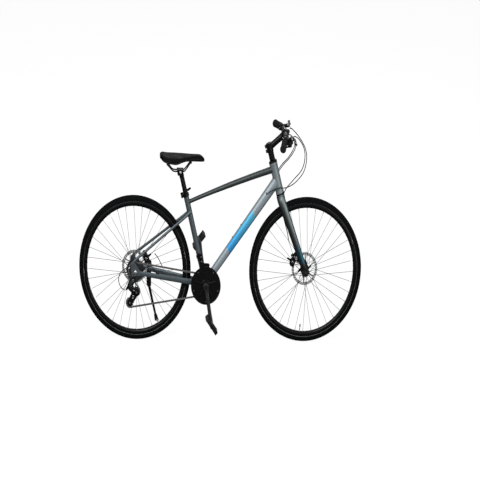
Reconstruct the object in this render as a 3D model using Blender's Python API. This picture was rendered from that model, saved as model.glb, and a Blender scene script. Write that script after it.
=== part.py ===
# A city hybrid bicycle with rigid fork, disc brakes, triple crankset and kickstand, standing on its stand.
# Everything is drawn upright: X forward from the rear axle, Y to the bicycle's left, Z up from the road.
# One empty then leans the whole machine to its left, onto the foot of the kickstand.
import math

import bmesh
import bpy
import numpy
from mathutils import Matrix, Vector
from mathutils.geometry import tessellate_polygon

for old in list(bpy.data.objects):
    bpy.data.objects.remove(old)

# Driving dimensions, in metres
GAP = 0.0003
LEAN = math.radians(8.0)
WHEELBASE = 1.063
WHEEL_RADIUS = 0.349
TYRE_RADIUS = 0.019
RIM_INNER_RADIUS = 0.2985
RIM_OUTER_RADIUS = 0.3175
RIM_HALF_WIDTH = 0.0115
SPOKE_COUNT = 36
SPOKE_THICKNESS = 0.0020
CROSSING_STEPS = 6
WHEEL_SIDES = 36
ROTOR_RADIUS = 0.080
ROTOR_THICKNESS = 0.0018
CRANK_LENGTH = 0.175
HEAD_TUBE_RADIUS = 0.0235
STEERER_RADIUS = 0.0143
SEAT_TUBE_RADIUS = 0.0159
SEATPOST_RADIUS = 0.0136
SHELL_RADIUS = 0.0205
SHELL_HALF_WIDTH = 0.034
CHAIN_PITCH = 0.0127
CHAIN_PLANE = -0.0415
PIN_STEP = 3
PIN_CLEARANCE = 0.026
CHAINRING_TEETH = (24, 34, 42)
CHAINRING_PLANES = (CHAIN_PLANE, -0.0480, -0.0545)
GUARD_RADIUS = 0.0935
GUARD_PLANE = -0.0605
FREEWHEEL_TEETH = (28, 24, 22, 20, 18, 16, 14)
ENGAGED_SPROCKET = 3
SPROCKET_STEP = 0.005
PULLEY_TEETH = 11
BORE_SIDES = 16
REAR_INNER_HALF = 0.0675
FRONT_INNER_HALF = 0.050
BAR_HALF_WIDTH = 0.280
BAR_RADIUS = 0.0111
CABLE_RADIUS = 0.0025

REAR_AXLE = Vector((0.0, 0.0, WHEEL_RADIUS))
FRONT_AXLE = Vector((WHEELBASE, 0.0, WHEEL_RADIUS))
CRANK_CENTRE = Vector((0.440, 0.0, 0.284))
SEAT_TUBE_DIRECTION = Vector((-0.278, 0.0, 0.9606)).normalized()
SADDLE_PIVOT = Vector((0.2855, 0.0, 0.8085))
SADDLE_BELLY = ((0.0, 0.872), (0.03, 0.862), (0.085, 0.852), (0.227, 0.845), (0.36, 0.841), (0.43, 0.845),
                (0.50, 0.8520), (0.60, 0.8565), (0.80, 0.8555), (1.0, 0.8545))
SADDLE_HALF_WIDTH = ((0.0, 0.052), (0.1, 0.066), (0.2, 0.0755), (0.3, 0.0790), (0.4, 0.0735), (0.5, 0.0610),
                     (0.6, 0.0470), (0.7, 0.0350), (0.8, 0.0275), (0.9, 0.0225), (1.0, 0.0195))
SADDLE_SMOOTHING = (-0.03, -0.015, 0.0, 0.015, 0.03)
RAIL_HALF = 0.0215
ROTOR_PLANE = {"front": 0.0385, "rear": 0.0465}
CALIPER_SPOT = {"front": math.radians(157.0), "rear": math.radians(28.0)}
SEAT_TUBE_LENGTH = 0.441
POST_FOOT = 0.215
HEAD_POINT = Vector((0.8706, 0.0, 0.7836))
HEAD_DIRECTION = Vector((-0.3202, 0.0, 0.9473)).normalized()
HEAD_BOTTOM = -0.0725
HEAD_TOP = 0.0755
CAM_OFFSET = 0.0182
STEM_BASE = 0.1250
STEM_TOP = 0.1670
BAR_CENTRE = Vector((0.914, 0.0, 0.984))
BAR_END = Vector((0.880, BAR_HALF_WIDTH, 0.972))
CRANK_DIRECTION = Vector((0.182, 0.0, -0.983)).normalized()
GUIDE_PULLEY = Vector((0.004, CHAIN_PLANE, 0.250))
TENSION_PULLEY = Vector((-0.037, CHAIN_PLANE, 0.192))
STAND_PIVOT = Vector((0.088, 0.067, 0.262))
STAND_AXIS = Vector((-0.175, 1.0, 0.192)).normalized()
STAND_FOOT = Vector((0.142, 0.243, 0.0342))
# The row's origin lies under the middle of the leaned machine.
ORIGIN_X = WHEELBASE / 2
ORIGIN_Y = 0.1209

LATERAL = Vector((0.0, 1.0, 0.0))
ALONG = Vector((1.0, 0.0, 0.0))
UP = Vector((0.0, 0.0, 1.0))


def finish(name, colour, roughness, metallic):
    """One plain Principled material for one kind of surface."""
    material = bpy.data.materials.new(name)
    material.use_nodes = True
    shader = material.node_tree.nodes["Principled BSDF"]
    shader.inputs["Base Color"].default_value = (*colour, 1.0)
    shader.inputs["Roughness"].default_value = roughness
    shader.inputs["Metallic"].default_value = metallic
    material.diffuse_color = (*colour, 1.0)
    return material


FRAME_PAINT = finish("frame_paint", (0.30, 0.36, 0.39), 0.35, 0.4)
DARK_PAINT = finish("dark_frame_paint", (0.10, 0.13, 0.14), 0.35, 0.4)
FORK_PAINT = finish("fork_paint", (0.12, 0.19, 0.22), 0.35, 0.4)
BLACK_METAL = finish("black_metal", (0.02, 0.02, 0.022), 0.4, 0.6)
SILVER_METAL = finish("silver_metal", (0.55, 0.56, 0.57), 0.3, 1.0)
TYRE_RUBBER = finish("tyre_rubber", (0.015, 0.015, 0.016), 0.8, 0.0)
BLACK_PLASTIC = finish("black_plastic", (0.02, 0.02, 0.02), 0.5, 0.0)
SADDLE_SKIN = finish("saddle_skin", (0.018, 0.018, 0.018), 0.55, 0.0)
HOUSING_SKIN = finish("housing_skin", (0.03, 0.03, 0.03), 0.35, 0.0)

BICYCLE = bpy.data.objects.new("bicycle", None)
bpy.context.collection.objects.link(BICYCLE)


def object_of(name, verts, faces):
    """A mesh object whose faces all point outwards."""
    mesh = bpy.data.meshes.new(name)
    mesh.from_pydata([tuple(v) for v in verts], [], faces)
    form = bmesh.new()
    form.from_mesh(mesh)
    bmesh.ops.recalc_face_normals(form, faces=form.faces)
    form.to_mesh(mesh)
    form.free()
    thing = bpy.data.objects.new(name, mesh)
    bpy.context.collection.objects.link(thing)
    return thing


def frame_along(tangent, hint=LATERAL):
    """Two unit vectors square to a tangent, the first as near to the hint as it can be."""
    tangent = tangent.normalized()
    side = hint - tangent * hint.dot(tangent)
    side = side.normalized()
    return side, tangent.cross(side).normalized()


def loft(name, stations, sides=16, hint=LATERAL, tangents=None):
    """A closed skin through elliptical sections: each station is (centre, half width, half depth)."""
    verts, faces = [], []
    last = len(stations) - 1
    for i, (centre, wide, deep) in enumerate(stations):
        if tangents:
            tangent = tangents[i]
        else:
            tangent = stations[min(i + 1, last)][0] - stations[max(i - 1, 0)][0]
        side, high = frame_along(tangent, hint)
        for k in range(sides):
            turn = 2 * math.pi * (k + 0.5) / sides
            verts.append(centre + side * (wide * math.cos(turn)) + high * (deep * math.sin(turn)))
    for i in range(last):
        for k in range(sides):
            a, b = i * sides + k, i * sides + (k + 1) % sides
            faces.append((a, b, b + sides, a + sides))
    faces.append(tuple(range(sides)))
    faces.append(tuple(range(last * sides, last * sides + sides)))
    return object_of(name, verts, faces)


def rod(name, start, end, radius, sides=12, end_radius=None):
    """A round bar between two points."""
    far = radius if end_radius is None else end_radius
    hint = LATERAL if abs((end - start).normalized().dot(LATERAL)) < 0.9 else ALONG
    return loft(name, [(start, radius, radius), (end, far, far)], sides, hint)


def ring_of_revolution(name, profile, centre, axis=LATERAL, sides=48, flat_down=False):
    """Turns a closed profile of (radius, height) points once round an axis.

    flat_down keeps the flats' middles at the profile's radii and puts one of them at the bottom.
    """
    hint = ALONG if abs(axis.dot(LATERAL)) > 0.9 else LATERAL
    first, second = frame_along(axis, hint)
    count = len(profile)
    shift, grow = (0.5, 1 / math.cos(math.pi / sides)) if flat_down else (0.0, 1.0)
    verts, faces = [], []
    for k in range(sides):
        turn = 2 * math.pi * (k + shift) / sides
        outward = first * math.cos(turn) + second * math.sin(turn)
        for radius, height in profile:
            verts.append(centre + outward * (radius * grow) + axis * height)
    for k in range(sides):
        for i in range(count):
            j = (i + 1) % count
            a, b = k * count, ((k + 1) % sides) * count
            faces.append((a + i, a + j, b + j, b + i))
    return object_of(name, verts, faces)


def turned(name, profile, centre, axis=LATERAL, sides=24):
    """Turns an open profile into a solid with flat ends: points are (radius, height) in order."""
    side = ALONG if abs(axis.dot(LATERAL)) > 0.9 else LATERAL
    stations = [(centre + axis * height, radius, radius) for radius, height in profile]
    return loft(name, stations, sides, side, [axis] * len(profile))


def plate(name, outline, near, far):
    """A flat plate cut to an outline of (x, z) points and as thick as from near to far in y."""
    count = len(outline)
    verts = [Vector((x, near, z)) for x, z in outline] + [Vector((x, far, z)) for x, z in outline]
    faces = [(i, (i + 1) % count, count + (i + 1) % count, count + i) for i in range(count)]
    flat = [Vector((x, z, 0.0)) for x, z in outline]
    for a, b, c in tessellate_polygon([flat]):
        faces.append((a, b, c))
        faces.append((count + a, count + b, count + c))
    return object_of(name, verts, faces)


def block(name, centre, size, across=ALONG, high=UP):
    """A box with its own axes: size is (along, lateral, high)."""
    third = high.cross(across).normalized()
    verts = []
    for a in (-0.5, 0.5):
        for b in (-0.5, 0.5):
            for c in (-0.5, 0.5):
                verts.append(centre + across * (a * size[0]) + third * (b * size[1]) + high * (c * size[2]))
    faces = [(0, 1, 3, 2), (4, 6, 7, 5), (0, 4, 5, 1), (2, 3, 7, 6), (0, 2, 6, 4), (1, 5, 7, 3)]
    return object_of(name, verts, faces)


def combine(base, others, operation):
    """Applies one exact Boolean of each other object to the base, and removes the others."""
    for other in others:
        tool = base.modifiers.new("shape", "BOOLEAN")
        tool.operation = operation
        tool.solver = "EXACT"
        tool.object = other
        graph = bpy.context.evaluated_depsgraph_get()
        result = bpy.data.meshes.new_from_object(base.evaluated_get(graph))
        base.modifiers.remove(tool)
        base.data = result
        bpy.data.objects.remove(other)
    return base


def weld(base, *others):
    return combine(base, others, "UNION")


def cut(base, *others):
    return combine(base, others, "DIFFERENCE")


def gather(name, things):
    """Puts several closed forms into one mesh, for a single Boolean."""
    form = bmesh.new()
    for thing in things:
        form.from_mesh(thing.data)
        bpy.data.objects.remove(thing)
    mesh = bpy.data.meshes.new(name)
    form.to_mesh(mesh)
    form.free()
    whole = bpy.data.objects.new(name, mesh)
    bpy.context.collection.objects.link(whole)
    return whole


def settle(thing, material, pivot=None, smooth=35.0):
    """Names the finish, moves the origin to the pivot and hangs the piece on the leaned machine."""
    pivot = pivot or Vector((0.0, 0.0, 0.0))
    form = bmesh.new()
    form.from_mesh(thing.data)
    bmesh.ops.remove_doubles(form, verts=form.verts, dist=0.00002)
    bmesh.ops.triangulate(form, faces=[f for f in form.faces if len(f.verts) > 4])
    form.to_mesh(thing.data)
    form.free()
    thing.data.transform(Matrix.Translation(-pivot))
    thing.location = pivot
    thing.parent = BICYCLE
    thing.data.materials.clear()
    thing.data.materials.append(material)
    thing.data.shade_smooth()
    thing.data.set_sharp_from_angle(angle=math.radians(smooth))
    return thing


def mirrored(points):
    return [Vector((p.x, -p.y, p.z)) for p in points]


def smooth_route(points, spacing):
    """Points at an even spacing on a Catmull-Rom curve through the route's own points."""
    ends = [points[0] * 2 - points[1]] + points + [points[-1] * 2 - points[-2]]
    fine = []
    for i in range(1, len(ends) - 2):
        a, b, c, d = ends[i - 1], ends[i], ends[i + 1], ends[i + 2]
        for k in range(12):
            t = k / 12
            fine.append(0.5 * ((2 * b) + (c - a) * t + (2 * a - 5 * b + 4 * c - d) * t * t
                               + (3 * b - a - 3 * c + d) * t * t * t))
    fine.append(points[-1])
    lengths = [0.0]
    for i in range(1, len(fine)):
        lengths.append(lengths[-1] + (fine[i] - fine[i - 1]).length)
    count = max(2, round(lengths[-1] / spacing))
    even, j = [], 0
    for k in range(count + 1):
        want = lengths[-1] * k / count
        while j < len(lengths) - 2 and lengths[j + 1] < want:
            j += 1
        span = lengths[j + 1] - lengths[j]
        even.append(fine[j].lerp(fine[j + 1], (want - lengths[j]) / span))
    return even


def cable(name, points, radius=CABLE_RADIUS, spacing=0.015):
    """A cable housing: a bevelled curve along a smooth route, with filled ends."""
    route = smooth_route(points, spacing)
    curve = bpy.data.curves.new(name, "CURVE")
    curve.dimensions = "3D"
    curve.bevel_depth = radius
    curve.bevel_resolution = 2
    curve.use_fill_caps = True
    spline = curve.splines.new("POLY")
    spline.points.add(len(route) - 1)
    for point, place in zip(spline.points, route):
        point.co = (*place, 1.0)
    curve.materials.append(HOUSING_SKIN)
    thing = bpy.data.objects.new(name, curve)
    bpy.context.collection.objects.link(thing)
    thing.parent = BICYCLE
    return thing


def on_head(distance, forward=0.0, lateral=0.0):
    """A point on the steering axis, or square to it."""
    ahead = Vector((HEAD_DIRECTION.z, 0.0, -HEAD_DIRECTION.x))
    return HEAD_POINT + HEAD_DIRECTION * distance + ahead * forward + LATERAL * lateral


def on_seat_tube(distance, forward=0.0, lateral=0.0):
    ahead = Vector((SEAT_TUBE_DIRECTION.z, 0.0, -SEAT_TUBE_DIRECTION.x))
    return CRANK_CENTRE + SEAT_TUBE_DIRECTION * distance + ahead * forward + LATERAL * lateral


def head_mitre():
    return rod("mitre", on_head(-0.2), on_head(0.2), 0.0250 + GAP, 20)


def seat_mitre():
    return rod("mitre", on_seat_tube(-0.05), on_seat_tube(0.6), SEAT_TUBE_RADIUS + GAP, 16)


def shell_mitre():
    width = LATERAL * 0.08
    return rod("mitre", CRANK_CENTRE - width, CRANK_CENTRE + width, SHELL_RADIUS + GAP, 20)


def head_tube():
    """The head tube with a headset cup pressed into each end."""
    low, high = HEAD_BOTTOM, HEAD_TOP
    profile = [(0.0225, low - 0.008), (0.0250, low - 0.005), (0.0250, low - 0.001), (HEAD_TUBE_RADIUS, low),
               (HEAD_TUBE_RADIUS, high), (0.0250, high + 0.001), (0.0250, high + 0.005),
               (0.0175, high + 0.011)]
    tube = turned("head_tube", profile, HEAD_POINT, HEAD_DIRECTION, 20)
    bore = rod("bore", on_head(-0.2), on_head(0.2), STEERER_RADIUS + GAP, 20)
    settle(cut(tube, bore), FRAME_PAINT)


def seat_tube():
    foot = on_seat_tube(0.0)
    top = on_seat_tube(SEAT_TUBE_LENGTH)
    tube = rod("seat_tube", foot, top, SEAT_TUBE_RADIUS, 16)
    bore = rod("bore", on_seat_tube(POST_FOOT - 0.115), on_seat_tube(0.6), SEATPOST_RADIUS + 2 * GAP, 16)
    settle(cut(tube, bore, shell_mitre()), FRAME_PAINT)


def bottom_bracket_shell():
    width = LATERAL * SHELL_HALF_WIDTH
    shell = rod("shell", CRANK_CENTRE - width, CRANK_CENTRE + width, SHELL_RADIUS, 20)
    bore = rod("bore", CRANK_CENTRE - width * 2, CRANK_CENTRE + width * 2, 0.0150, 16)
    shell.name = "bottom_bracket_shell"
    settle(cut(shell, bore), FRAME_PAINT)


def top_tube():
    # The tube arches a little and grows deeper towards the head tube.
    rear = Vector((0.322, 0.0, 0.664))
    middle = Vector((0.591, 0.0, 0.7505))
    front = Vector((0.866, 0.0, 0.8275))
    stations = []
    for t, wide, deep in ((0, 0.012, 0.0095), (0.25, 0.0135, 0.0105), (0.5, 0.015, 0.0130),
                          (0.75, 0.0165, 0.0146), (1.0, 0.0185, 0.0162)):
        control = middle * 2 - (rear + front) / 2
        centre = rear * (1 - t) ** 2 + control * (2 * t * (1 - t)) + front * t * t
        stations.append((centre, wide, deep))
    tube = loft("top_tube", stations, 14)
    settle(cut(tube, head_mitre(), seat_mitre()), DARK_PAINT)


def down_tube():
    foot = CRANK_CENTRE
    top = Vector((0.8770, 0.0, 0.7770))
    stations = []
    for t, wide, deep in ((0.0, 0.0185, 0.0200), (0.25, 0.0195, 0.0212), (0.5, 0.0205, 0.0226),
                          (0.8, 0.0215, 0.0246), (1.0, 0.0215, 0.0256)):
        stations.append((foot.lerp(top, t), wide, deep))
    tube = loft("down_tube", stations, 16)
    port = rod("port", Vector((0.812, -0.020, 0.716)), Vector((0.812, -0.030, 0.716)), 0.0042, 12)
    settle(cut(tube, head_mitre(), shell_mitre(), seat_mitre(), port), FRAME_PAINT)


def rear_stays(side):
    """One side of the rear triangle: seat stay, chain stay and drop-out plate, welded."""
    name = "left_rear_stays" if side > 0 else "right_rear_stays"
    seat_path = [(0.348, 0.0185, 0.6260), (0.300, 0.0290, 0.5942), (0.250, 0.0345, 0.5628),
                 (0.150, 0.0480, 0.5000),
                 (0.060, 0.0600, 0.4436), (0.008, 0.0672, 0.4105), (-0.014, 0.0703, 0.3880),
                 (-0.018, 0.0708, 0.3640)]
    seat_sizes = [(0.0065, 0.0070)] * 5 + [(0.0065, 0.0076), (0.0054, 0.0088), (0.0034, 0.0090)]
    seat_stay = loft("seat_stay", [(Vector((x, y * side, z)), w, d)
                                   for (x, y, z), (w, d) in zip(seat_path, seat_sizes)], 8)
    chain_path = [(0.432, 0.0270, 0.2850), (0.400, 0.0285, 0.2880), (0.345, 0.0298, 0.2958),
                  (0.300, 0.0345, 0.3022),
                  (0.160, 0.0560, 0.3236), (0.070, 0.0672, 0.3372), (0.030, 0.0706, 0.3432),
                  (0.012, 0.0708, 0.3460)]
    chain_sizes = [(0.0066, 0.0165), (0.0068, 0.0160), (0.0068, 0.0150), (0.0075, 0.0145),
                   (0.0080, 0.0130), (0.0070, 0.0120), (0.0040, 0.0110), (0.0032, 0.0100)]
    chain_stay = loft("chain_stay", [(Vector((x, y * side, z)), w, d)
                                     for (x, y, z), (w, d) in zip(chain_path, chain_sizes)], 8)
    outline = [(-0.014, 0.334), (-0.006, 0.334), (-0.0052, 0.343), (0.0052, 0.343), (0.006, 0.332),
               (0.020, 0.330),
               (0.045, 0.332), (0.050, 0.346), (0.026, 0.358), (0.012, 0.376), (-0.004, 0.398),
               (-0.026, 0.392),
               (-0.028, 0.362)]
    if side < 0:
        # The right plate carries the gear hanger behind and below the axle.
        outline = outline[1:] + [(-0.024, 0.330), (-0.024, 0.312), (-0.016, 0.306), (-0.007, 0.312)]
    inner = REAR_INNER_HALF + GAP
    dropout = plate("dropout", outline, inner * side, (inner + 0.006) * side)
    axle_room = rod("room", REAR_AXLE + LATERAL * 0.060 * side, REAR_AXLE + LATERAL * 0.085 * side, 0.0056,
                    16)
    stays = weld(seat_stay, dropout, chain_stay)
    if side > 0:
        # A plate under the stay takes the kickstand's pivot.
        lug = plate("lug", [(0.074, 0.328), (0.074, 0.252), (0.081, 0.245), (0.096, 0.245), (0.103, 0.252),
                            (0.103, 0.322)], 0.0640, 0.0700)
        hole = rod("hole", STAND_PIVOT - STAND_AXIS * 0.03, STAND_PIVOT + STAND_AXIS * 0.03, 0.0050, 12)
        ear = plate("ear", [(0.080, 0.338), (0.112, 0.336), (0.102, 0.366), (0.086, 0.398), (0.074, 0.420),
                            (0.060, 0.424), (0.049, 0.416), (0.052, 0.404), (0.074, 0.370), (0.080, 0.352)],
                    0.0640, 0.0690)
        stays = weld(stays, cut(lug, hole), ear)
    stays = cut(stays, axle_room, seat_mitre(), shell_mitre())
    stays.name = name
    settle(stays, DARK_PAINT)


def fork():
    """Steerer, crown and two straight tapered blades that end in slotted tips."""
    steerer = rod("fork", on_head(-0.096), on_head(STEM_TOP - 0.002), STEERER_RADIUS - 0.0004, 16)
    seat = HEAD_BOTTOM - 0.008 - GAP
    race = turned("race", [(0.0225, seat - 0.020), (HEAD_TUBE_RADIUS, seat - 0.003), (0.0225, seat)],
                  HEAD_POINT, HEAD_DIRECTION, 16)
    blades = []
    for side in (1, -1):
        tip = FRONT_AXLE + LATERAL * (0.0560 * side)
        crown = Vector((0.8975, 0.0180 * side, 0.6940))
        stations = [(crown + Vector((-0.003, -0.010 * side, 0.010)), 0.0150, 0.0215),
                    (crown + Vector((0.002, 0.004 * side, -0.004)), 0.0160, 0.0240)]
        for t, out, wide, deep in ((0.08, 0.0335, 0.0125, 0.0235), (0.18, 0.0385, 0.0115, 0.0222),
                                   (0.45, 0.0440, 0.0105, 0.0205), (0.75, 0.0500, 0.0092, 0.0185),
                                   (0.90, 0.0530, 0.0080, 0.0165), (0.955, 0.0535, 0.0040, 0.0150)):
            middle = crown.lerp(tip, t)
            middle.y = out * side
            stations.append((middle, wide, deep))
        blade = loft("blade", stations, 10)
        outline = [(1.040, 0.372), (1.046, 0.404), (1.060, 0.398), (1.076, 0.366), (1.079, 0.350),
                   (1.076, 0.336),
                   (1.0682, 0.333), (1.0682, 0.349), (1.0578, 0.349), (1.0578, 0.333), (1.050, 0.336),
                   (1.042, 0.348)]
        inner = FRONT_INNER_HALF + GAP
        tip_plate = plate("tip", outline, inner * side, (inner + 0.007) * side)
        room = rod("room", FRONT_AXLE + LATERAL * 0.045 * side, FRONT_AXLE + LATERAL * 0.07 * side, 0.0052,
                   16)
        above = rod("above", on_head(seat), on_head(seat + 0.06), 0.050, 12)
        blades.append(cut(weld(blade, tip_plate), room, above))
    thing = weld(steerer, race, *blades)
    # The mount for the brake stands behind the left blade.
    ear = plate("ear", [(1.034, 0.378), (1.016, 0.436), (1.000, 0.424), (0.988, 0.412), (0.990, 0.396),
                        (1.008, 0.392), (1.020, 0.368)], 0.0515, 0.0570)
    # Tyre room under the crown.
    room = ring_of_revolution("room", [(0.300, -0.0225), (0.349 + 0.004, -0.0225), (0.358, -0.016),
                                       (0.358, 0.016), (0.353, 0.0225), (0.300, 0.0225)], FRONT_AXLE,
                              LATERAL, 40)
    settle(cut(weld(thing, ear), room), FORK_PAINT, HEAD_POINT)


def stem_and_spacers():
    spacer = rod("steerer_spacer", on_head(HEAD_TOP + 0.011 + GAP), on_head(STEM_BASE - GAP), 0.0168, 16)
    spacer = cut(spacer, rod("bore", on_head(-0.2), on_head(0.3), STEERER_RADIUS + GAP, 16))
    settle(spacer, BLACK_METAL, HEAD_POINT)
    middle = (STEM_BASE + STEM_TOP) / 2
    collar = turned("stem", [(0.0185, STEM_BASE), (0.0190, STEM_BASE + 0.004), (0.0190, STEM_TOP - 0.004),
                             (0.0165, STEM_TOP)], HEAD_POINT, HEAD_DIRECTION, 16)
    start = on_head(middle)
    reach = (BAR_CENTRE - start).normalized()
    neck = loft("neck", [(start + reach * 0.004, 0.0150, 0.0160), (start + reach * 0.030, 0.0145, 0.0150),
                         (BAR_CENTRE - reach * 0.030, 0.0150, 0.0150), (BAR_CENTRE, 0.0175, 0.0170)], 12)
    wide = LATERAL * 0.0225
    grip = rod("grip", BAR_CENTRE - wide, BAR_CENTRE + wide, 0.0210, 16)
    back = Vector((-HEAD_DIRECTION.z, 0.0, HEAD_DIRECTION.x))
    ears = [block("ear", on_head(place) + back * 0.0205, (0.013, 0.026, 0.012), back, HEAD_DIRECTION)
            for place in (STEM_BASE + 0.009, STEM_TOP - 0.011)]
    slit = block("slit", on_head(middle) + back * 0.020, (0.030, 0.0016, 0.08), back, HEAD_DIRECTION)
    bore = rod("bore", on_head(-0.2), on_head(0.3), STEERER_RADIUS + GAP, 16)
    bar_bore = rod("bar_bore", BAR_CENTRE - wide * 2, BAR_CENTRE + wide * 2, 0.0159 + 3 * GAP, 14)
    stem = cut(weld(collar, neck, grip, *ears), slit, bore, bar_bore)
    settle(stem, BLACK_METAL, HEAD_POINT)


def bar_route():
    """Right half of the bar, from the clamp to the end."""
    end = Vector((BAR_END.x, -BAR_END.y, BAR_END.z))
    bend = Vector((BAR_CENTRE.x - 0.003, -0.105, BAR_CENTRE.z + 0.004))
    return [BAR_CENTRE + Vector((0, -0.030, 0)), BAR_CENTRE + Vector((0, -0.060, 0.001)), bend,
            bend.lerp(end, 0.3), end]


def bar_point(side, lateral):
    """A point on the bar's axis at a distance out to one side, and the bar's direction there."""
    _, _, bend, _, end = bar_route()
    t = (lateral - abs(bend.y)) / (abs(end.y) - abs(bend.y))
    place = bend.lerp(end, t)
    direction = (end - bend).normalized()
    if side > 0:
        place.y *= -1
        direction = Vector((direction.x, -direction.y, direction.z))
    return place, direction


def handlebar():
    right = bar_route()
    left = mirrored(right)
    radii = [0.0159, 0.0125, BAR_RADIUS, BAR_RADIUS, BAR_RADIUS]
    route = [(p, r, r) for p, r in zip(reversed(left), reversed(radii))]
    route += [(p, r, r) for p, r in zip(right, radii)]
    bar = loft("handlebar", route, 14, UP)
    settle(bar, BLACK_METAL, HEAD_POINT)


def grips():
    for side, name in ((1, "left_grip"), (-1, "right_grip")):
        start, direction = bar_point(side, 0.166)
        profile = [(0.0185, 0.0), (0.0185, 0.004), (0.0160, 0.006), (0.0168, 0.110), (0.0185, 0.113),
                   (0.0185, 0.1185), (0.0120, 0.1205)]
        hint = UP
        stations = [(start + direction * h, r, r) for r, h in profile]
        grip = loft(name, stations, 14, hint, [direction] * len(profile))
        tube = rod("tube", start - direction * 0.02, start + direction * 0.1175, BAR_RADIUS + 2 * GAP, 14)
        settle(cut(grip, tube), TYRE_RUBBER, HEAD_POINT)


def controls():
    """Brake brackets, brake levers, shifters and shift levers on both sides of the bar."""
    ahead = Vector((0.985, 0.0, 0.174)).normalized()
    for side, word in ((1, "left"), (-1, "right")):
        place, direction = bar_point(side, 0.146)
        front = (ahead - direction * ahead.dot(direction)).normalized()
        over = front.cross(direction).normalized()
        if over.z < 0:
            over = -over
        ring = rod("ring", place - direction * 0.009, place + direction * 0.009, 0.0170, 14)
        pivot = place + front * 0.044 - direction * 0.006
        arm = loft("arm", [(place + front * 0.010, 0.0085, 0.0075),
                           (place + front * 0.030 - direction * 0.004, 0.0085, 0.007),
                           (pivot + front * 0.004, 0.0095, 0.0085)], 10, direction)
        barrel = rod("barrel", pivot - direction * 0.004 - front * 0.012,
                     pivot - direction * 0.034 - front * 0.012, 0.0050, 12)
        bore = rod("bore", place - direction * 0.03, place + direction * 0.03, BAR_RADIUS + 2 * GAP, 14)
        slot = block("slot", pivot + front * 0.006 + direction * 0.004, (0.030, 0.040, 0.0086), front, over)
        bracket = cut(weld(ring, arm, barrel), bore, slot)
        bracket.name = word + "_brake_bracket"
        settle(bracket, BLACK_METAL, HEAD_POINT)
        # The blade bows out from its pivot and ends in a rounded tip.
        knuckle = pivot + front * 0.002
        blade_path = [knuckle - direction * 0.004, knuckle + direction * 0.010 + front * 0.007,
                      knuckle + direction * 0.034 + front * 0.015,
                      knuckle + direction * 0.068 + front * 0.016,
                      knuckle + direction * 0.096 + front * 0.024,
                      knuckle + direction * 0.106 + front * 0.032]
        sizes = [(0.0055, 0.0036), (0.0060, 0.0036), (0.0050, 0.0060), (0.0042, 0.0068),
                 (0.0042, 0.0062), (0.0044, 0.0058)]
        blade = loft(word + "_brake_lever", [(p, w, d) for p, (w, d) in zip(blade_path, sizes)], 10, front)
        settle(blade, BLACK_METAL, pivot)
        # The shifter hangs under the bar inboard of the bracket; its top shows the chosen gear.
        spot, direction = bar_point(side, 0.116)
        clamp = rod("clamp", spot - direction * 0.007, spot + direction * 0.007, 0.0165, 14)
        pod = turned("pod", [(0.0150, -0.011), (0.0205, -0.007), (0.0205, 0.005), (0.0150, 0.0085)],
                     spot + front * 0.020 - over * 0.022, over, 14)
        outlet = rod("outlet", spot + front * 0.026 - over * 0.022 - direction * 0.010,
                     spot + front * 0.026 - over * 0.022 - direction * 0.036, 0.0048, 12)
        room = rod("bore", spot - direction * 0.03, spot + direction * 0.03, BAR_RADIUS + 2 * GAP, 14)
        shifter = cut(weld(clamp, pod, outlet), room)
        shifter.name = word + "_shifter"
        settle(shifter, BLACK_PLASTIC, HEAD_POINT)
        hub = spot + front * 0.020 - over * 0.0385
        back = -front
        thumb = loft("thumb", [(hub + back * 0.002, 0.0085, 0.0040),
                               (hub + back * 0.020 + direction * 0.012, 0.0065, 0.0032),
                               (hub + back * 0.036 + direction * 0.020, 0.0085, 0.0034),
                               (hub + back * 0.050 + direction * 0.022, 0.0070, 0.0030)], 10, direction)
        disc = rod("disc", hub - over * 0.0045, hub + over * 0.0050, 0.0120, 16)
        lever = weld(disc, thumb)
        lever.name = word + "_shift_lever"
        settle(lever, BLACK_PLASTIC, hub)


def smoothed(table, t):
    """The value of a table at a place from tail to nose, with the table's corners rounded."""
    places, values = zip(*table)
    return float(numpy.mean([numpy.interp(t + shift, places, values) for shift in SADDLE_SMOOTHING]))


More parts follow.
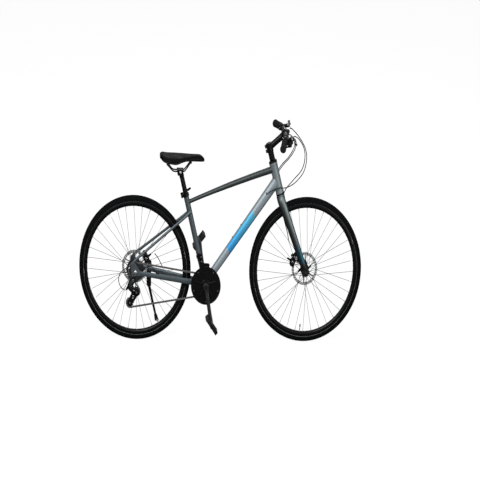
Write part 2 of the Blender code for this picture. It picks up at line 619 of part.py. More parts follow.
def saddle():
    """A crowned cushion, wide behind and narrow in front, with its skirts drawn in below."""
    rear_x, nose_x = 0.163, 0.432
    steps, sides = 19, 20
    verts, faces = [], []
    for i in range(steps + 1):
        t = i / steps
        x = rear_x + (nose_x - rear_x) * t
        # Round the tail and the nose in plan and in side view.
        tail = min(1.0, t / 0.10)
        nose = min(1.0, (1 - t) / 0.09)
        close = math.sqrt(max(0.0, 1 - (1 - tail) ** 2)) * math.sqrt(max(0.0, 1 - (1 - nose) ** 2))
        close = 0.30 + 0.70 * close
        half = smoothed(SADDLE_HALF_WIDTH, t) * close
        top = 0.8880 + 0.0055 * math.exp(-((t - 0.03) / 0.10) ** 2) - 0.0015 * math.sin(math.pi * t)
        top -= 0.020 * max(0.0, (t - 0.86) / 0.14) ** 2 + 0.004 * max(0.0, (0.06 - t) / 0.06)
        under = smoothed(SADDLE_BELLY, t)
        middle = (top + under) / 2
        for k in range(sides):
            turn = 2 * math.pi * k / sides
            c, s = math.cos(turn), math.sin(turn)
            across = math.copysign(abs(c) ** 0.75, c) * half
            if s < 0:
                # The skirt draws in towards the belly.
                across *= 1 - 0.42 * (-s) ** 1.3
            crown = math.copysign(abs(s) ** (0.62 if s < 0 else 0.80), s)
            height = middle + crown * (top - middle if s > 0 else middle - under)
            # A shallow channel runs along the middle of the seat.
            if s > 0.5:
                depth = 0.0022 * math.sin(math.pi * min(1, max(0, t))) ** 0.5
                height -= depth * math.exp(-(across / 0.010) ** 2)
            verts.append(Vector((x, across, height)))
    for i in range(steps):
        for k in range(sides):
            a, b = i * sides + k, i * sides + (k + 1) % sides
            faces.append((a, b, b + sides, a + sides))
    faces.append(tuple(range(sides)))
    faces.append(tuple(range(steps * sides, steps * sides + sides)))
    cushion = object_of("saddle_cushion", verts, faces)
    settle(cushion, SADDLE_SKIN, SADDLE_PIVOT, 50.0)


def saddle_rails():
    """Two bent rails in one piece with the clamp that grips them."""
    rails = []
    for side in (1, -1):
        y = RAIL_HALF * side
        path = [Vector((0.208, y * 1.35, 0.8430)), Vector((0.220, y * 1.2, 0.8330)),
                Vector((0.236, y, 0.8180)),
                Vector((0.252, y, 0.8128)), Vector((0.300, y, 0.8125)), Vector((0.313, y, 0.8170)),
                Vector((0.328, y * 0.9, 0.8310)), Vector((0.341, y * 0.78, 0.8450)),
                Vector((0.348, y * 0.72, 0.8500))]
        rails.append(loft("rail", [(p, 0.0035, 0.0035) for p in path], 6))
    plate_top = block("plate_top", SADDLE_PIVOT + UP * 0.0080, (0.040, 0.052, 0.0080))
    keel = rod("keel", SADDLE_PIVOT - LATERAL * 0.0255, SADDLE_PIVOT + LATERAL * 0.0255, 0.0105, 14)
    nose_bridge = block("bridge", Vector((0.3500, 0.0, 0.8510)), (0.010, 0.038, 0.007))
    tail_bridge = block("bridge", Vector((0.2075, 0.0, 0.8440)), (0.010, 0.066, 0.006))
    thing = weld(rails[0], rails[1], plate_top, keel, nose_bridge, tail_bridge)
    thing.name = "saddle_rails"
    belly = bpy.data.objects["saddle_cushion"]
    room = bpy.data.objects.new("room", belly.data.copy())
    bpy.context.collection.objects.link(room)
    grow = room.modifiers.new("grow", "DISPLACE")
    grow.strength = 2 * GAP
    grow.mid_level = 0.0
    graph = bpy.context.evaluated_depsgraph_get()
    room.data = bpy.data.meshes.new_from_object(room.evaluated_get(graph))
    room.modifiers.remove(grow)
    room.data.transform(Matrix.Translation(SADDLE_PIVOT))
    settle(cut(thing, room), BLACK_METAL, SADDLE_PIVOT)


def seatpost():
    """A round post whose head is a cradle for the saddle clamp's round keel."""
    head = SADDLE_PIVOT - UP * 0.0095
    post = rod("seatpost", on_seat_tube(POST_FOOT), on_seat_tube(0.5200), SEATPOST_RADIUS, 16)
    neck = loft("neck", [(on_seat_tube(0.5150), SEATPOST_RADIUS, SEATPOST_RADIUS),
                         (on_seat_tube(0.5280), 0.0160, 0.0145),
                         (head - UP * 0.0020, 0.0180, 0.0150)], 12)
    cradle = block("cradle", head, (0.034, 0.036, 0.0140))
    room = rod("room", SADDLE_PIVOT - LATERAL * 0.04, SADDLE_PIVOT + LATERAL * 0.04, 0.0112, 14)
    settle(cut(weld(post, neck, cradle), room), BLACK_METAL, on_seat_tube(SEAT_TUBE_LENGTH))


def seat_clamp():
    low, high = SEAT_TUBE_LENGTH - 0.014, SEAT_TUBE_LENGTH + 0.001
    back = Vector((-SEAT_TUBE_DIRECTION.z, 0.0, SEAT_TUBE_DIRECTION.x))
    collar = rod("seat_clamp", on_seat_tube(low), on_seat_tube(high), SEAT_TUBE_RADIUS + 0.0036, 16)
    centre = on_seat_tube((low + high) / 2)
    ear = block("ear", centre + back * 0.0235, (0.014, 0.022, 0.013), back, SEAT_TUBE_DIRECTION)
    slit = block("slit", centre + back * 0.0300, (0.034, 0.0022, 0.03), back, SEAT_TUBE_DIRECTION)
    bore = rod("bore", on_seat_tube(0.2), on_seat_tube(0.6), SEAT_TUBE_RADIUS + GAP, 16)
    skewer = rod("skewer_hole", centre + back * 0.0245 - LATERAL * 0.03,
                 centre + back * 0.0245 + LATERAL * 0.03,
                 0.0032, 12)
    collar = cut(weld(collar, ear), bore, slit, skewer)
    settle(collar, BLACK_METAL)
    axis = centre + back * 0.0245
    pin = rod("pin", axis - LATERAL * 0.0165, axis + LATERAL * CAM_OFFSET, 0.0027, 10)
    nut = rod("nut", axis - LATERAL * 0.0180, axis - LATERAL * (0.0110 + GAP), 0.0060, 10)
    hub = axis + LATERAL * CAM_OFFSET
    eye = rod("eye", hub - SEAT_TUBE_DIRECTION * 0.0042, hub + SEAT_TUBE_DIRECTION * 0.0042, 0.0052, 12)
    skewer_bar = weld(pin, nut, eye)
    skewer_bar.name = "seat_clamp_skewer"
    settle(skewer_bar, BLACK_METAL)
    # The lever turns on top of the skewer's eye.
    top = hub + SEAT_TUBE_DIRECTION * 0.0085
    cam = rod("cam", hub + SEAT_TUBE_DIRECTION * (0.0042 + GAP), hub + SEAT_TUBE_DIRECTION * 0.0125, 0.0064,
              14)
    ahead = -back
    handle = loft("handle", [(top + ahead * 0.0015 + LATERAL * 0.0012, 0.0028, 0.0034),
                             (top + ahead * 0.020 + LATERAL * 0.0050 + UP * 0.001, 0.0026, 0.0050),
                             (top + ahead * 0.052 + LATERAL * 0.0060 + UP * 0.007, 0.0026, 0.0058),
                             (top + ahead * 0.060 + LATERAL * 0.0055 + UP * 0.009, 0.0020, 0.0045)], 10)
    lever = weld(cam, handle)
    lever.name = "seat_clamp_lever"
    settle(lever, BLACK_METAL, hub)


def spoke_solids(centre, flange_planes, flange_radius, rim_radius):
    """Straight spokes laced three-cross: half of each side's spokes lead, half trail."""
    solids = []
    per_side = SPOKE_COUNT // 2
    for plane in flange_planes:
        side = 1 if plane > 0 else -1
        for k in range(per_side):
            sense = 1 if k % 2 else -1
            hub_turn = 2 * math.pi * (k + (0.5 if side > 0 else 0.0)) / per_side
            rim_turn = hub_turn + sense * CROSSING_STEPS * 2 * math.pi / SPOKE_COUNT
            start = centre + Vector((math.cos(hub_turn) * flange_radius, plane + 0.0027 * sense,
                                     math.sin(hub_turn) * flange_radius))
            end = centre + Vector((math.cos(rim_turn) * rim_radius, 0.0035 * side + 0.0012 * sense,
                                   math.sin(rim_turn) * rim_radius))
            half = SPOKE_THICKNESS / 2
            solids.append(loft("spoke", [(start, half, half), (end, half, half)], 3))
    return gather("spokes", solids)


def hub_profile(left, right, flange, barrel, end):
    """Points of a hub from its left end to its right end, as (radius, height)."""
    return [(0.0085, end), (0.0105, left + 0.006), (flange, left + 0.0022), (flange, left - 0.0022),
            (barrel, left - 0.010), (barrel, right + 0.010), (flange, right + 0.0022),
            (flange, right - 0.0022),
            (0.0105, right - 0.006), (0.0085, -end)]


def wheel(word, centre, inner_half, left, right, right_core):
    tyre_profile = []
    middle = WHEEL_RADIUS - TYRE_RADIUS
    # Two rows at the lean angle stand on the ground.
    for degrees in (-97, -50, -8, 8, 50, 97):
        turn = math.radians(degrees)
        tyre_profile.append((middle + TYRE_RADIUS * math.cos(turn), TYRE_RADIUS * math.sin(turn)))
    tyre_profile.append((RIM_OUTER_RADIUS + 0.0032, 0.0112))
    tyre_profile.append((RIM_OUTER_RADIUS + 0.0032, -0.0112))
    tyre = ring_of_revolution(word + "_tyre", tyre_profile, centre, LATERAL, WHEEL_SIDES, True)
    settle(tyre, TYRE_RUBBER, centre)
    rim_profile = [(RIM_INNER_RADIUS, -0.0050), (RIM_OUTER_RADIUS - 0.010, -RIM_HALF_WIDTH),
                   (RIM_OUTER_RADIUS + 0.0026, -RIM_HALF_WIDTH + 0.001), (RIM_OUTER_RADIUS - 0.002, -0.006),
                   (RIM_OUTER_RADIUS - 0.002, 0.006), (RIM_OUTER_RADIUS + 0.0026, RIM_HALF_WIDTH - 0.001),
                   (RIM_OUTER_RADIUS - 0.010, RIM_HALF_WIDTH), (RIM_INNER_RADIUS, 0.0050)]
    rim = ring_of_revolution(word + "_rim", rim_profile, centre, LATERAL, WHEEL_SIDES, True)
    settle(rim, BLACK_METAL, centre)
    profile = hub_profile(left, right, 0.0225, 0.0150, inner_half - 0.0040)
    if right_core:
        # The right end is a plain core that carries the freewheel.
        profile = profile[:-2] + [(right_core, right - 0.003), (right_core, -0.0600), (0.0085, -0.0605),
                                  (0.0085, -inner_half + 0.0040)]
    hub = turned("hub", profile, centre, LATERAL, 14)
    mount = rod("mount", centre + LATERAL * (left + 0.002), centre + LATERAL * (ROTOR_PLANE[word] - 0.0013),
                0.0172, 12)
    spokes = spoke_solids(centre, (left, right), 0.0181, RIM_INNER_RADIUS - GAP)
    bore = rod("bore", centre - LATERAL * 0.08, centre + LATERAL * 0.08, 0.0055, 12)
    hub = cut(weld(hub, mount, spokes), bore)
    hub.name = word + "_hub_and_spokes"
    settle(hub, SILVER_METAL, centre)
    rotor(word, centre)


def rotor(word, centre):
    """A brake disc: a braking ring on six slanted arms and a bolted centre."""
    plane = ROTOR_PLANE[word]
    half = ROTOR_THICKNESS / 2
    outer = ring_of_revolution("ring", [(0.0655, plane - half), (ROTOR_RADIUS, plane - half),
                                        (ROTOR_RADIUS, plane + half), (0.0655, plane + half)], centre,
                               LATERAL, 24)
    hub = ring_of_revolution("core", [(0.0180, plane - half), (0.0270, plane - half),
                                      (0.0270, plane + half), (0.0180, plane + half)], centre, LATERAL, 10)
    arms = []
    for k in range(6):
        turn = 2 * math.pi * k / 6
        start = Vector((math.cos(turn), 0.0, math.sin(turn))) * 0.0245
        end = Vector((math.cos(turn + 0.5), 0.0, math.sin(turn + 0.5))) * 0.0690
        direction = (end - start).normalized()
        arms.append(block("arm", centre + LATERAL * plane + (start + end) / 2,
                          ((end - start).length, ROTOR_THICKNESS * 0.92, 0.0070), direction,
                          direction.cross(LATERAL)))
    disc = weld(outer, hub, gather("arms", arms))
    disc.name = word + "_rotor"
    settle(disc, SILVER_METAL, centre)


def axles():
    """Solid axles with a nut outside each drop-out."""
    for word, centre, inner, plates in (("front", FRONT_AXLE, FRONT_INNER_HALF, 0.007),
                                        ("rear", REAR_AXLE, REAR_INNER_HALF, 0.006)):
        out = inner + 2 * GAP + plates
        bar = rod(word + "_axle", centre - LATERAL * (out + 0.010), centre + LATERAL * (out + 0.010),
                  0.0048, 10)
        parts = []
        for side in (1, -1):
            parts.append(rod("nut", centre + LATERAL * out * side, centre + LATERAL * (out + 0.008) * side,
                             0.0095, 6))
            parts.append(rod("cone", centre + LATERAL * (inner - 0.0036) * side,
                             centre + LATERAL * (inner - 0.0002) * side,
                             0.0085, 10))
        pivot = HEAD_POINT if word == "front" else None
        settle(weld(bar, *parts), BLACK_METAL, pivot)


def toothed_outline(teeth):
    """A sprocket's rim as (x, z) points, a root and a tip for each tooth."""
    pitch_radius = teeth * CHAIN_PITCH / (2 * math.pi)
    points = []
    for k in range(teeth):
        for part, radius in ((0.0, pitch_radius - 0.0030), (0.5, pitch_radius + 0.0030)):
            turn = 2 * math.pi * (k + part) / teeth
            points.append((radius * math.cos(turn), radius * math.sin(turn)))
    return points


def circle_points(radius, sides):
    return [(radius * math.cos(2 * math.pi * k / sides),
             radius * math.sin(2 * math.pi * k / sides)) for k in range(sides)]


def stacked(name, centre, bore, core, start, end, discs, sides=16):
    """One solid of toothed discs (near, far, outline) on a round core with a bore."""
    verts, faces = [], []

    def loop(points, y):
        first = len(verts)
        verts.extend(Vector((centre.x + x, y, centre.z + z)) for x, z in points)
        return list(range(first, first + len(points)))

    def wall(low, high):
        count = len(low)
        faces.extend((low[i], low[(i + 1) % count], high[(i + 1) % count], high[i]) for i in range(count))

    def annulus(outer, inner):
        rings = [[Vector((verts[i].x, verts[i].z, 0.0)) for i in ring] for ring in (outer, inner)]
        names = outer + inner
        faces.extend((names[a], names[b], names[c]) for a, b, c in tessellate_polygon(rings))

    bore_low = loop(circle_points(bore, sides), start)
    bore_high = loop(circle_points(bore, sides), end)
    wall(bore_low, bore_high)
    below = loop(circle_points(core, sides), start)
    annulus(below, bore_low)
    for near, far, outline in discs:
        neck = loop(circle_points(core, sides), near)
        wall(below, neck)
        rim_near = loop(outline, near)
        rim_far = loop(outline, far)
        annulus(rim_near, neck)
        wall(rim_near, rim_far)
        below = loop(circle_points(core, sides), far)
        annulus(rim_far, below)
    top = loop(circle_points(core, sides), end)
    wall(below, top)
    annulus(top, bore_high)
    return object_of(name, verts, faces)


def toothed_ring(name, outline, centre, plane, thickness, bore):
    """A toothed plate with a round bore, built directly from two loops."""
    half = thickness / 2
    count = len(outline)
    inner = [(bore * math.cos(2 * math.pi * k / BORE_SIDES),
              bore * math.sin(2 * math.pi * k / BORE_SIDES)) for k in range(BORE_SIDES)]
    verts, faces = [], []
    for y in (plane - half, plane + half):
        verts += [Vector((centre.x + x, y, centre.z + z)) for x, z in outline]
        verts += [Vector((centre.x + x, y, centre.z + z)) for x, z in inner]
    layer = count + BORE_SIDES
    for i in range(count):
        j = (i + 1) % count
        faces.append((i, j, layer + j, layer + i))
    for i in range(BORE_SIDES):
        j = (i + 1) % BORE_SIDES
        faces.append((count + i, count + j, layer + count + j, layer + count + i))
    flat = [[Vector((x, z, 0.0)) for x, z in outline], [Vector((x, z, 0.0)) for x, z in inner]]
    for a, b, c in tessellate_polygon(flat):
        faces.append((a, b, c))
        faces.append((layer + a, layer + b, layer + c))
    return object_of(name, verts, faces)


def chainring_set():
    """Three toothed rings and the outer guard on one core, with a five-armed spider over them."""
    discs = [(GUARD_PLANE - 0.0010, GUARD_PLANE + 0.0010, circle_points(GUARD_RADIUS, 30))]
    for teeth, plane in reversed(list(zip(CHAINRING_TEETH, CHAINRING_PLANES))):
        outline = toothed_outline(teeth)
        discs.append((plane - 0.0009, plane + 0.0009, outline))
    rings = stacked("chainring_set", CRANK_CENTRE, 0.0140, 0.0300, GUARD_PLANE - 0.0020,
                    CHAIN_PLANE + 0.0015, discs, 14)
    arms = []
    for k in range(5):
        turn = 2 * math.pi * (k + 0.25) / 5
        spot = Vector((math.cos(turn), 0.0, math.sin(turn)))
        middle = CRANK_CENTRE + LATERAL * (GUARD_PLANE - 0.0012) + spot * 0.0450
        arms.append(block("arm", middle, (0.044, 0.0040, 0.012), spot, spot.cross(LATERAL)))
    settle(weld(rings, gather("arms", arms)), BLACK_METAL, CRANK_CENTRE)


def cranks():
    """Two arms on one spindle that turns in the bottom bracket."""
    for side, word in ((-1, "right"), (1, "left")):
        direction = CRANK_DIRECTION * (1 if side < 0 else -1)
        y = 0.0745 * side
        end = CRANK_CENTRE + direction * CRANK_LENGTH
        centre = CRANK_CENTRE + LATERAL * y
        far = end + LATERAL * (y + 0.007 * side)
        arm = loft("arm", [(centre - direction * 0.014, 0.0085, 0.0105), (centre, 0.0095, 0.0185),
                           (centre + direction * 0.030, 0.0080, 0.0140),
                           (centre.lerp(far, 0.6), 0.0068, 0.0115),
                           (far - direction * 0.012, 0.0068, 0.0130),
                           (far + direction * 0.008, 0.0068, 0.0130),
                           (far + direction * 0.0150, 0.0060, 0.0080)], 10)
        boss = rod("boss", CRANK_CENTRE + LATERAL * 0.0640 * side, CRANK_CENTRE + LATERAL * 0.0835 * side,
                   0.0170, 14)
        arm = weld(arm, boss)
        hole = rod("hole", end + LATERAL * 0.06 * side, end + LATERAL * 0.11 * side, 0.0062, 12)
        arm = cut(arm, hole)
        if side > 0:
            spindle = rod("spindle", CRANK_CENTRE - LATERAL * 0.0625, CRANK_CENTRE + LATERAL * 0.0660,
                          0.0085, 16)
            arm = weld(arm, spindle)
        arm.name = word + "_crank"
        settle(arm, BLACK_METAL, CRANK_CENTRE)


def pedals():
    """Platform pedals: a barrel inside a frame of four bars, on a threaded pin."""
    for side, word, tilt in ((-1, "right", -50.0), (1, "left", 45.0)):
        direction = CRANK_DIRECTION * (1 if side < 0 else -1)
        axle = CRANK_CENTRE + direction * CRANK_LENGTH
        near, far = 0.0935, 0.1850
        middle = axle + LATERAL * ((near + far) / 2 * side)
        slope = math.radians(tilt)
        along = Vector((math.cos(slope), 0.0, math.sin(slope)))
        high = along.cross(LATERAL) * -1
        if high.z < 0:
            high = -high
        body = rod("body", axle + LATERAL * near * side, axle + LATERAL * far * side, 0.0115, 12)
        pieces = []
        for end in (1, -1):
            pieces.append(block("rail", middle + along * (0.0435 * end), (0.0075, far - near, 0.0200),
                                along, high))
            pieces.append(block("bar", middle + LATERAL * ((far - near) / 2 - 0.004) * end,
                                (0.094, 0.0080, 0.0180),
                                along, high))
        pin = rod("pin", axle + LATERAL * 0.0745 * side, axle + LATERAL * (near + 0.004) * side, 0.0058, 12)
        thing = weld(body, *pieces, pin)
        thing.name = word + "_pedal"
        settle(thing, BLACK_PLASTIC, axle + LATERAL * 0.0815 * side)


def freewheel():
    """Seven sprockets on one body, the largest next to the spokes."""
    discs = []
    for i, teeth in reversed(list(enumerate(FREEWHEEL_TEETH))):
        plane = CHAIN_PLANE + SPROCKET_STEP * (ENGAGED_SPROCKET - i)
        outline = toothed_outline(teeth)
        discs.append((plane - 0.0009, plane + 0.0009, outline))
    thing = stacked("freewheel", REAR_AXLE, 0.0168, 0.0215, -0.0590, -0.0250, discs)
    settle(thing, SILVER_METAL, REAR_AXLE)


def belt_points(circles):
    """Follows a chain round circles of (x, z, radius, sense); gives straight runs and arcs in turn."""
    runs = []
    count = len(circles)
    for i in range(count):
        x1, z1, r1, s1 = circles[i]
        x2, z2, r2, s2 = circles[(i + 1) % count]
        dx, dz = x2 - x1, z2 - z1
        gap = math.hypot(dx, dz)
        base = math.atan2(dz, dx)
        # Signed radii make one formula serve outer and crossed tangents.
        offset = math.asin((s2 * r2 - s1 * r1) / gap)
        normal = base + math.pi / 2 + offset
        start = (x1 + s1 * r1 * math.cos(normal), z1 + s1 * r1 * math.sin(normal))
        end = (x2 + s2 * r2 * math.cos(normal), z2 + s2 * r2 * math.sin(normal))
        runs.append((start, end))
    return runs


def chain_circles():
    ring = CHAINRING_TEETH[0] * CHAIN_PITCH / (2 * math.pi)
    sprocket = FREEWHEEL_TEETH[ENGAGED_SPROCKET] * CHAIN_PITCH / (2 * math.pi)
    pulley = PULLEY_TEETH * CHAIN_PITCH / (2 * math.pi)
    return [(REAR_AXLE.x, REAR_AXLE.z, sprocket, 1), (CRANK_CENTRE.x, CRANK_CENTRE.z, ring, 1),
            (TENSION_PULLEY.x, TENSION_PULLEY.z, pulley, 1), (GUIDE_PULLEY.x, GUIDE_PULLEY.z, pulley, -1)]


def chain():
    """Two rows of side plates joined by pins on the free runs; the rows straddle the teeth."""
    circles = chain_circles()
    runs = belt_points(circles)
    centre_line, straight = [], []
    count = len(circles)
    for i in range(count):
        x, z, radius, sense = circles[i]
        arrive = runs[i - 1][1]
        leave = runs[i][0]
        a0 = math.atan2(arrive[1] - z, arrive[0] - x)
        a1 = math.atan2(leave[1] - z, leave[0] - x)
        turn = (a0 - a1) % (2 * math.pi) if sense > 0 else (a1 - a0) % (2 * math.pi)
        steps = max(3, round(turn / math.radians(30)))
        for k in range(steps):
            angle = a0 - sense * turn * k / steps
            centre_line.append((x + radius * math.cos(angle), z + radius * math.sin(angle)))
        centre_line.append(leave)
        straight.append(runs[i])
    height = 0.0040
    count = len(centre_line)
    bands = []
    for near, far in ((0.0023, 0.0034), (-0.0034, -0.0023)):
        verts, faces = [], []
        for i in range(count):
            px, pz = centre_line[i - 1]
            nx, nz = centre_line[(i + 1) % count]
            length = math.hypot(nx - px, nz - pz)
            ox, oz = -(nz - pz) / length * height, (nx - px) / length * height
            x, z = centre_line[i]
            for y in (near, far):
                verts.append(Vector((x + ox, CHAIN_PLANE + y, z + oz)))
                verts.append(Vector((x - ox, CHAIN_PLANE + y, z - oz)))
        for i in range(count):
            j = (i + 1) % count
            a, b = i * 4, j * 4
            faces += [(a, b, b + 1, a + 1), (a + 2, a + 3, b + 3, b + 2), (a, a + 2, b + 2, b),
                      (a + 1, b + 1, b + 3, a + 3)]
        bands.append(object_of("band", verts, faces))
    pins = []
    for (x1, z1), (x2, z2) in straight:
        length = math.hypot(x2 - x1, z2 - z1)
        step = CHAIN_PITCH * PIN_STEP
        links = int((length - 2 * PIN_CLEARANCE) / step)
        first = (length - links * step) / 2
        for k in range(links + 1):
            t = (first + k * step) / length
            spot = Vector((x1 + (x2 - x1) * t, CHAIN_PLANE, z1 + (z2 - z1) * t))
            pins.append(rod("pin", spot - LATERAL * 0.0028, spot + LATERAL * 0.0028, 0.0028, 4))
    thing = weld(bands[0], gather("pins", pins), bands[1])
    thing.name = "chain"
    settle(thing, SILVER_METAL)


def pulleys():
    for word, centre in (("guide", GUIDE_PULLEY), ("tension", TENSION_PULLEY)):
        wheel_part = toothed_ring("wheel", toothed_outline(PULLEY_TEETH), centre, CHAIN_PLANE, 0.0020,
                                  0.0045)
        wheel_part.name = word + "_pulley"
        settle(wheel_part, BLACK_PLASTIC, centre)


def rear_derailleur():
    """Hanger bolt, knuckle, parallelogram, and the cage with its two pulley pins."""
    pieces = []
    for offset in (0.0058, -0.0058):
        outline = []
        link = TENSION_PULLEY - GUIDE_PULLEY
        base = math.atan2(link.z, link.x)
        for centre, start in ((GUIDE_PULLEY, base + math.pi / 2), (TENSION_PULLEY, base - math.pi / 2)):
            for k in range(5):
                turn = start + math.pi * k / 4
                radius = 0.0195 if centre is GUIDE_PULLEY else 0.0170
                outline.append((centre.x + radius * math.cos(turn), centre.z + radius * math.sin(turn)))
        pieces.append(plate("cage", outline, CHAIN_PLANE + offset - 0.0008, CHAIN_PLANE + offset + 0.0008))
    pins = [rod("pin", c - LATERAL * 0.0062, c + LATERAL * 0.0062, 0.0040, 12) for c in (GUIDE_PULLEY,
                                                                                         TENSION_PULLEY)]
    hanger = Vector((-0.0160, -0.0745, 0.3140))
    knuckle = rod("knuckle", Vector((hanger.x, -0.0748, hanger.z)), Vector((hanger.x, -0.0930, hanger.z)),
                  0.0155, 12)
    lower = Vector((0.004, -0.0475, 0.2500))
    spring_box = rod("spring_box", Vector((lower.x, -0.0480, lower.z)), Vector((lower.x, -0.0750, lower.z)),
                     0.0195, 12)
    outer_link = loft("outer_link", [(hanger + Vector((0.0, -0.012, 0.0)), 0.0050, 0.0145),
                                     (hanger + Vector((-0.020, -0.012, -0.030)), 0.0048, 0.0175),
                                     (Vector((-0.012, -0.0740, 0.256)), 0.0048, 0.0170),
                                     (Vector((0.004, -0.0690, 0.250)), 0.0045, 0.0140)], 10)
    arm = loft("arm", [(hanger + Vector((-0.020, -0.010, -0.022)), 0.0035, 0.0060),
                       (hanger + Vector((-0.044, -0.008, -0.048)), 0.0035, 0.0055)], 8)
    thing = weld(knuckle, outer_link, spring_box, *pieces, *pins, arm)
    thing.name = "rear_derailleur"
    settle(thing, BLACK_METAL)


def front_derailleur():
    """A band on the seat tube, a linkage and a cage of two curved plates over the rings."""
    height = 0.135
    band = rod("front_derailleur", on_seat_tube(height - 0.007), on_seat_tube(height + 0.007),
               SEAT_TUBE_RADIUS + 0.0035, 16)
    bore = rod("bore", on_seat_tube(0.0), on_seat_tube(0.4), SEAT_TUBE_RADIUS + GAP, 16)
    body = block("body", on_seat_tube(height, 0.002, -0.0255), (0.030, 0.020, 0.034), ALONG, UP)
    plates = []
    for near, far, low in ((-0.0335, -0.0350, 0.064), (-0.0485, -0.0500, 0.0905)):
        outline = []
        for k in range(6):
            turn = math.radians(76 + 36 * k / 5)
            outline.append((CRANK_CENTRE.x + low * math.cos(turn), CRANK_CENTRE.z + low * math.sin(turn)))
        for k in range(6):
            turn = math.radians(112 - 36 * k / 5)
            outline.append((CRANK_CENTRE.x + 0.1040 * math.cos(turn),
                            CRANK_CENTRE.z + 0.1040 * math.sin(turn)))
        plates.append(plate("cage", outline, near, far))
    bridge_a = block("bridge", Vector((CRANK_CENTRE.x - 0.0309, -0.0418, CRANK_CENTRE.z + 0.0951)),
                     (0.005, 0.0170, 0.006))
    bridge_b = block("bridge", Vector((CRANK_CENTRE.x + 0.0174, -0.0418, CRANK_CENTRE.z + 0.0985)),
                     (0.005, 0.0170, 0.006))
    link = block("link", on_seat_tube(height - 0.018, 0.006, -0.0330), (0.016, 0.0120, 0.034), ALONG, UP)
    thing = cut(weld(band, body, link, *plates, bridge_a, bridge_b), bore)
    settle(thing, BLACK_METAL)


def calipers():
    """Cable-pulled disc brakes: a slotted body bolted to the frame or fork, and an arm that turns on it."""
    for word, centre, mount_plane in (("front", FRONT_AXLE, 0.0515), ("rear", REAR_AXLE, 0.0640)):
        outward = Vector((math.cos(CALIPER_SPOT[word]), 0.0, math.sin(CALIPER_SPOT[word])))
        along = outward.cross(LATERAL)
        if along.z < 0:
            along = -along
        middle = centre + outward * 0.0820 + LATERAL * ROTOR_PLANE[word]
        pieces = [block("body", middle, (0.030, 0.020, 0.044), outward, along)]
        inner = middle.y + 0.001
        outer = mount_plane - GAP
        ends = (0.027,) if word == "front" else (0.026, -0.022)
        for place in ends:
            spot = Vector((middle.x, (inner + outer) / 2, middle.z)) + along * place
            pieces.append(block("foot", spot, (0.012, outer - inner, 0.016), outward, along))
        stop_side = 0.0255 if word == "front" else -0.0255
        stop_spot = middle + outward * 0.017 + along * stop_side + LATERAL * 0.003
        pieces.append(block("stop", stop_spot, (0.011, 0.013, 0.010), outward, along))
        slot = block("slot", middle - outward * 0.012, (0.036, 0.0034, 0.08), outward, along)
        caliper = cut(weld(*pieces), slot)
        caliper.name = word + "_caliper"
        settle(caliper, BLACK_METAL, HEAD_POINT if word == "front" else None)
        axis = middle + LATERAL * (0.010 + GAP)
        reach = outward * 0.036 + along * 0.002
        disc = rod("disc", axis, axis + LATERAL * 0.0042, 0.0105, 12)
        level = LATERAL * 0.0022
        arm = loft("arm", [(axis + level, 0.0017, 0.0060), (axis + level + reach * 0.6, 0.0017, 0.0052),
                           (axis + level + reach, 0.0017, 0.0048)], 8)
        arm = weld(disc, arm)
        arm.name = word + "_caliper_arm"
        settle(arm, BLACK_METAL, axis)


def kickstand():
    """A bent alloy leg with a rubber foot, on a slanted pivot so that it folds up beside the stay."""
    out = STAND_PIVOT + STAND_AXIS * 0.0125
    knee = out + Vector((0.006, 0.012, -0.026))
    foot = STAND_FOOT
    direction = (foot - knee).normalized()
    leg = loft("leg", [(out + Vector((-0.001, 0.002, 0.006)), 0.0060, 0.0100), (knee, 0.0065, 0.0085),
                       (knee.lerp(foot, 0.5), 0.0060, 0.0070), (knee.lerp(foot, 0.86), 0.0055, 0.0065),
                       (knee.lerp(foot, 0.87), 0.0090, 0.0100), (foot, 0.0105, 0.0120),
                       (foot + direction * 0.012, 0.0105, 0.0120)], 12)
    pin = rod("pin", STAND_PIVOT - STAND_AXIS * 0.0060, STAND_PIVOT + STAND_AXIS * 0.0140, 0.0042, 12)
    head = rod("head", STAND_PIVOT + STAND_AXIS * 0.0072, STAND_PIVOT + STAND_AXIS * 0.0165, 0.0110, 12)
    down = Vector((0.0, math.sin(LEAN), -math.cos(LEAN)))
    # The sole is cut to the ground that the leaned machine stands on.
    floor_point = ground_point(foot)
    cutter = block("ground", floor_point + down * 0.05, (0.2, 0.2, 0.1), ALONG, -down)
    stand = cut(weld(leg, pin, head), cutter)
    stand.name = "kickstand_leg"
    settle(stand, BLACK_METAL, STAND_PIVOT)


def ground_point(place):
    """The point under a place, along the machine's own upright, where the ground is."""
    down = Vector((0.0, math.sin(LEAN), -math.cos(LEAN)))
    level = Vector((0.0, 0.0, TYRE_RADIUS)) + down * TYRE_RADIUS
    return place + down * (level - place).dot(down)


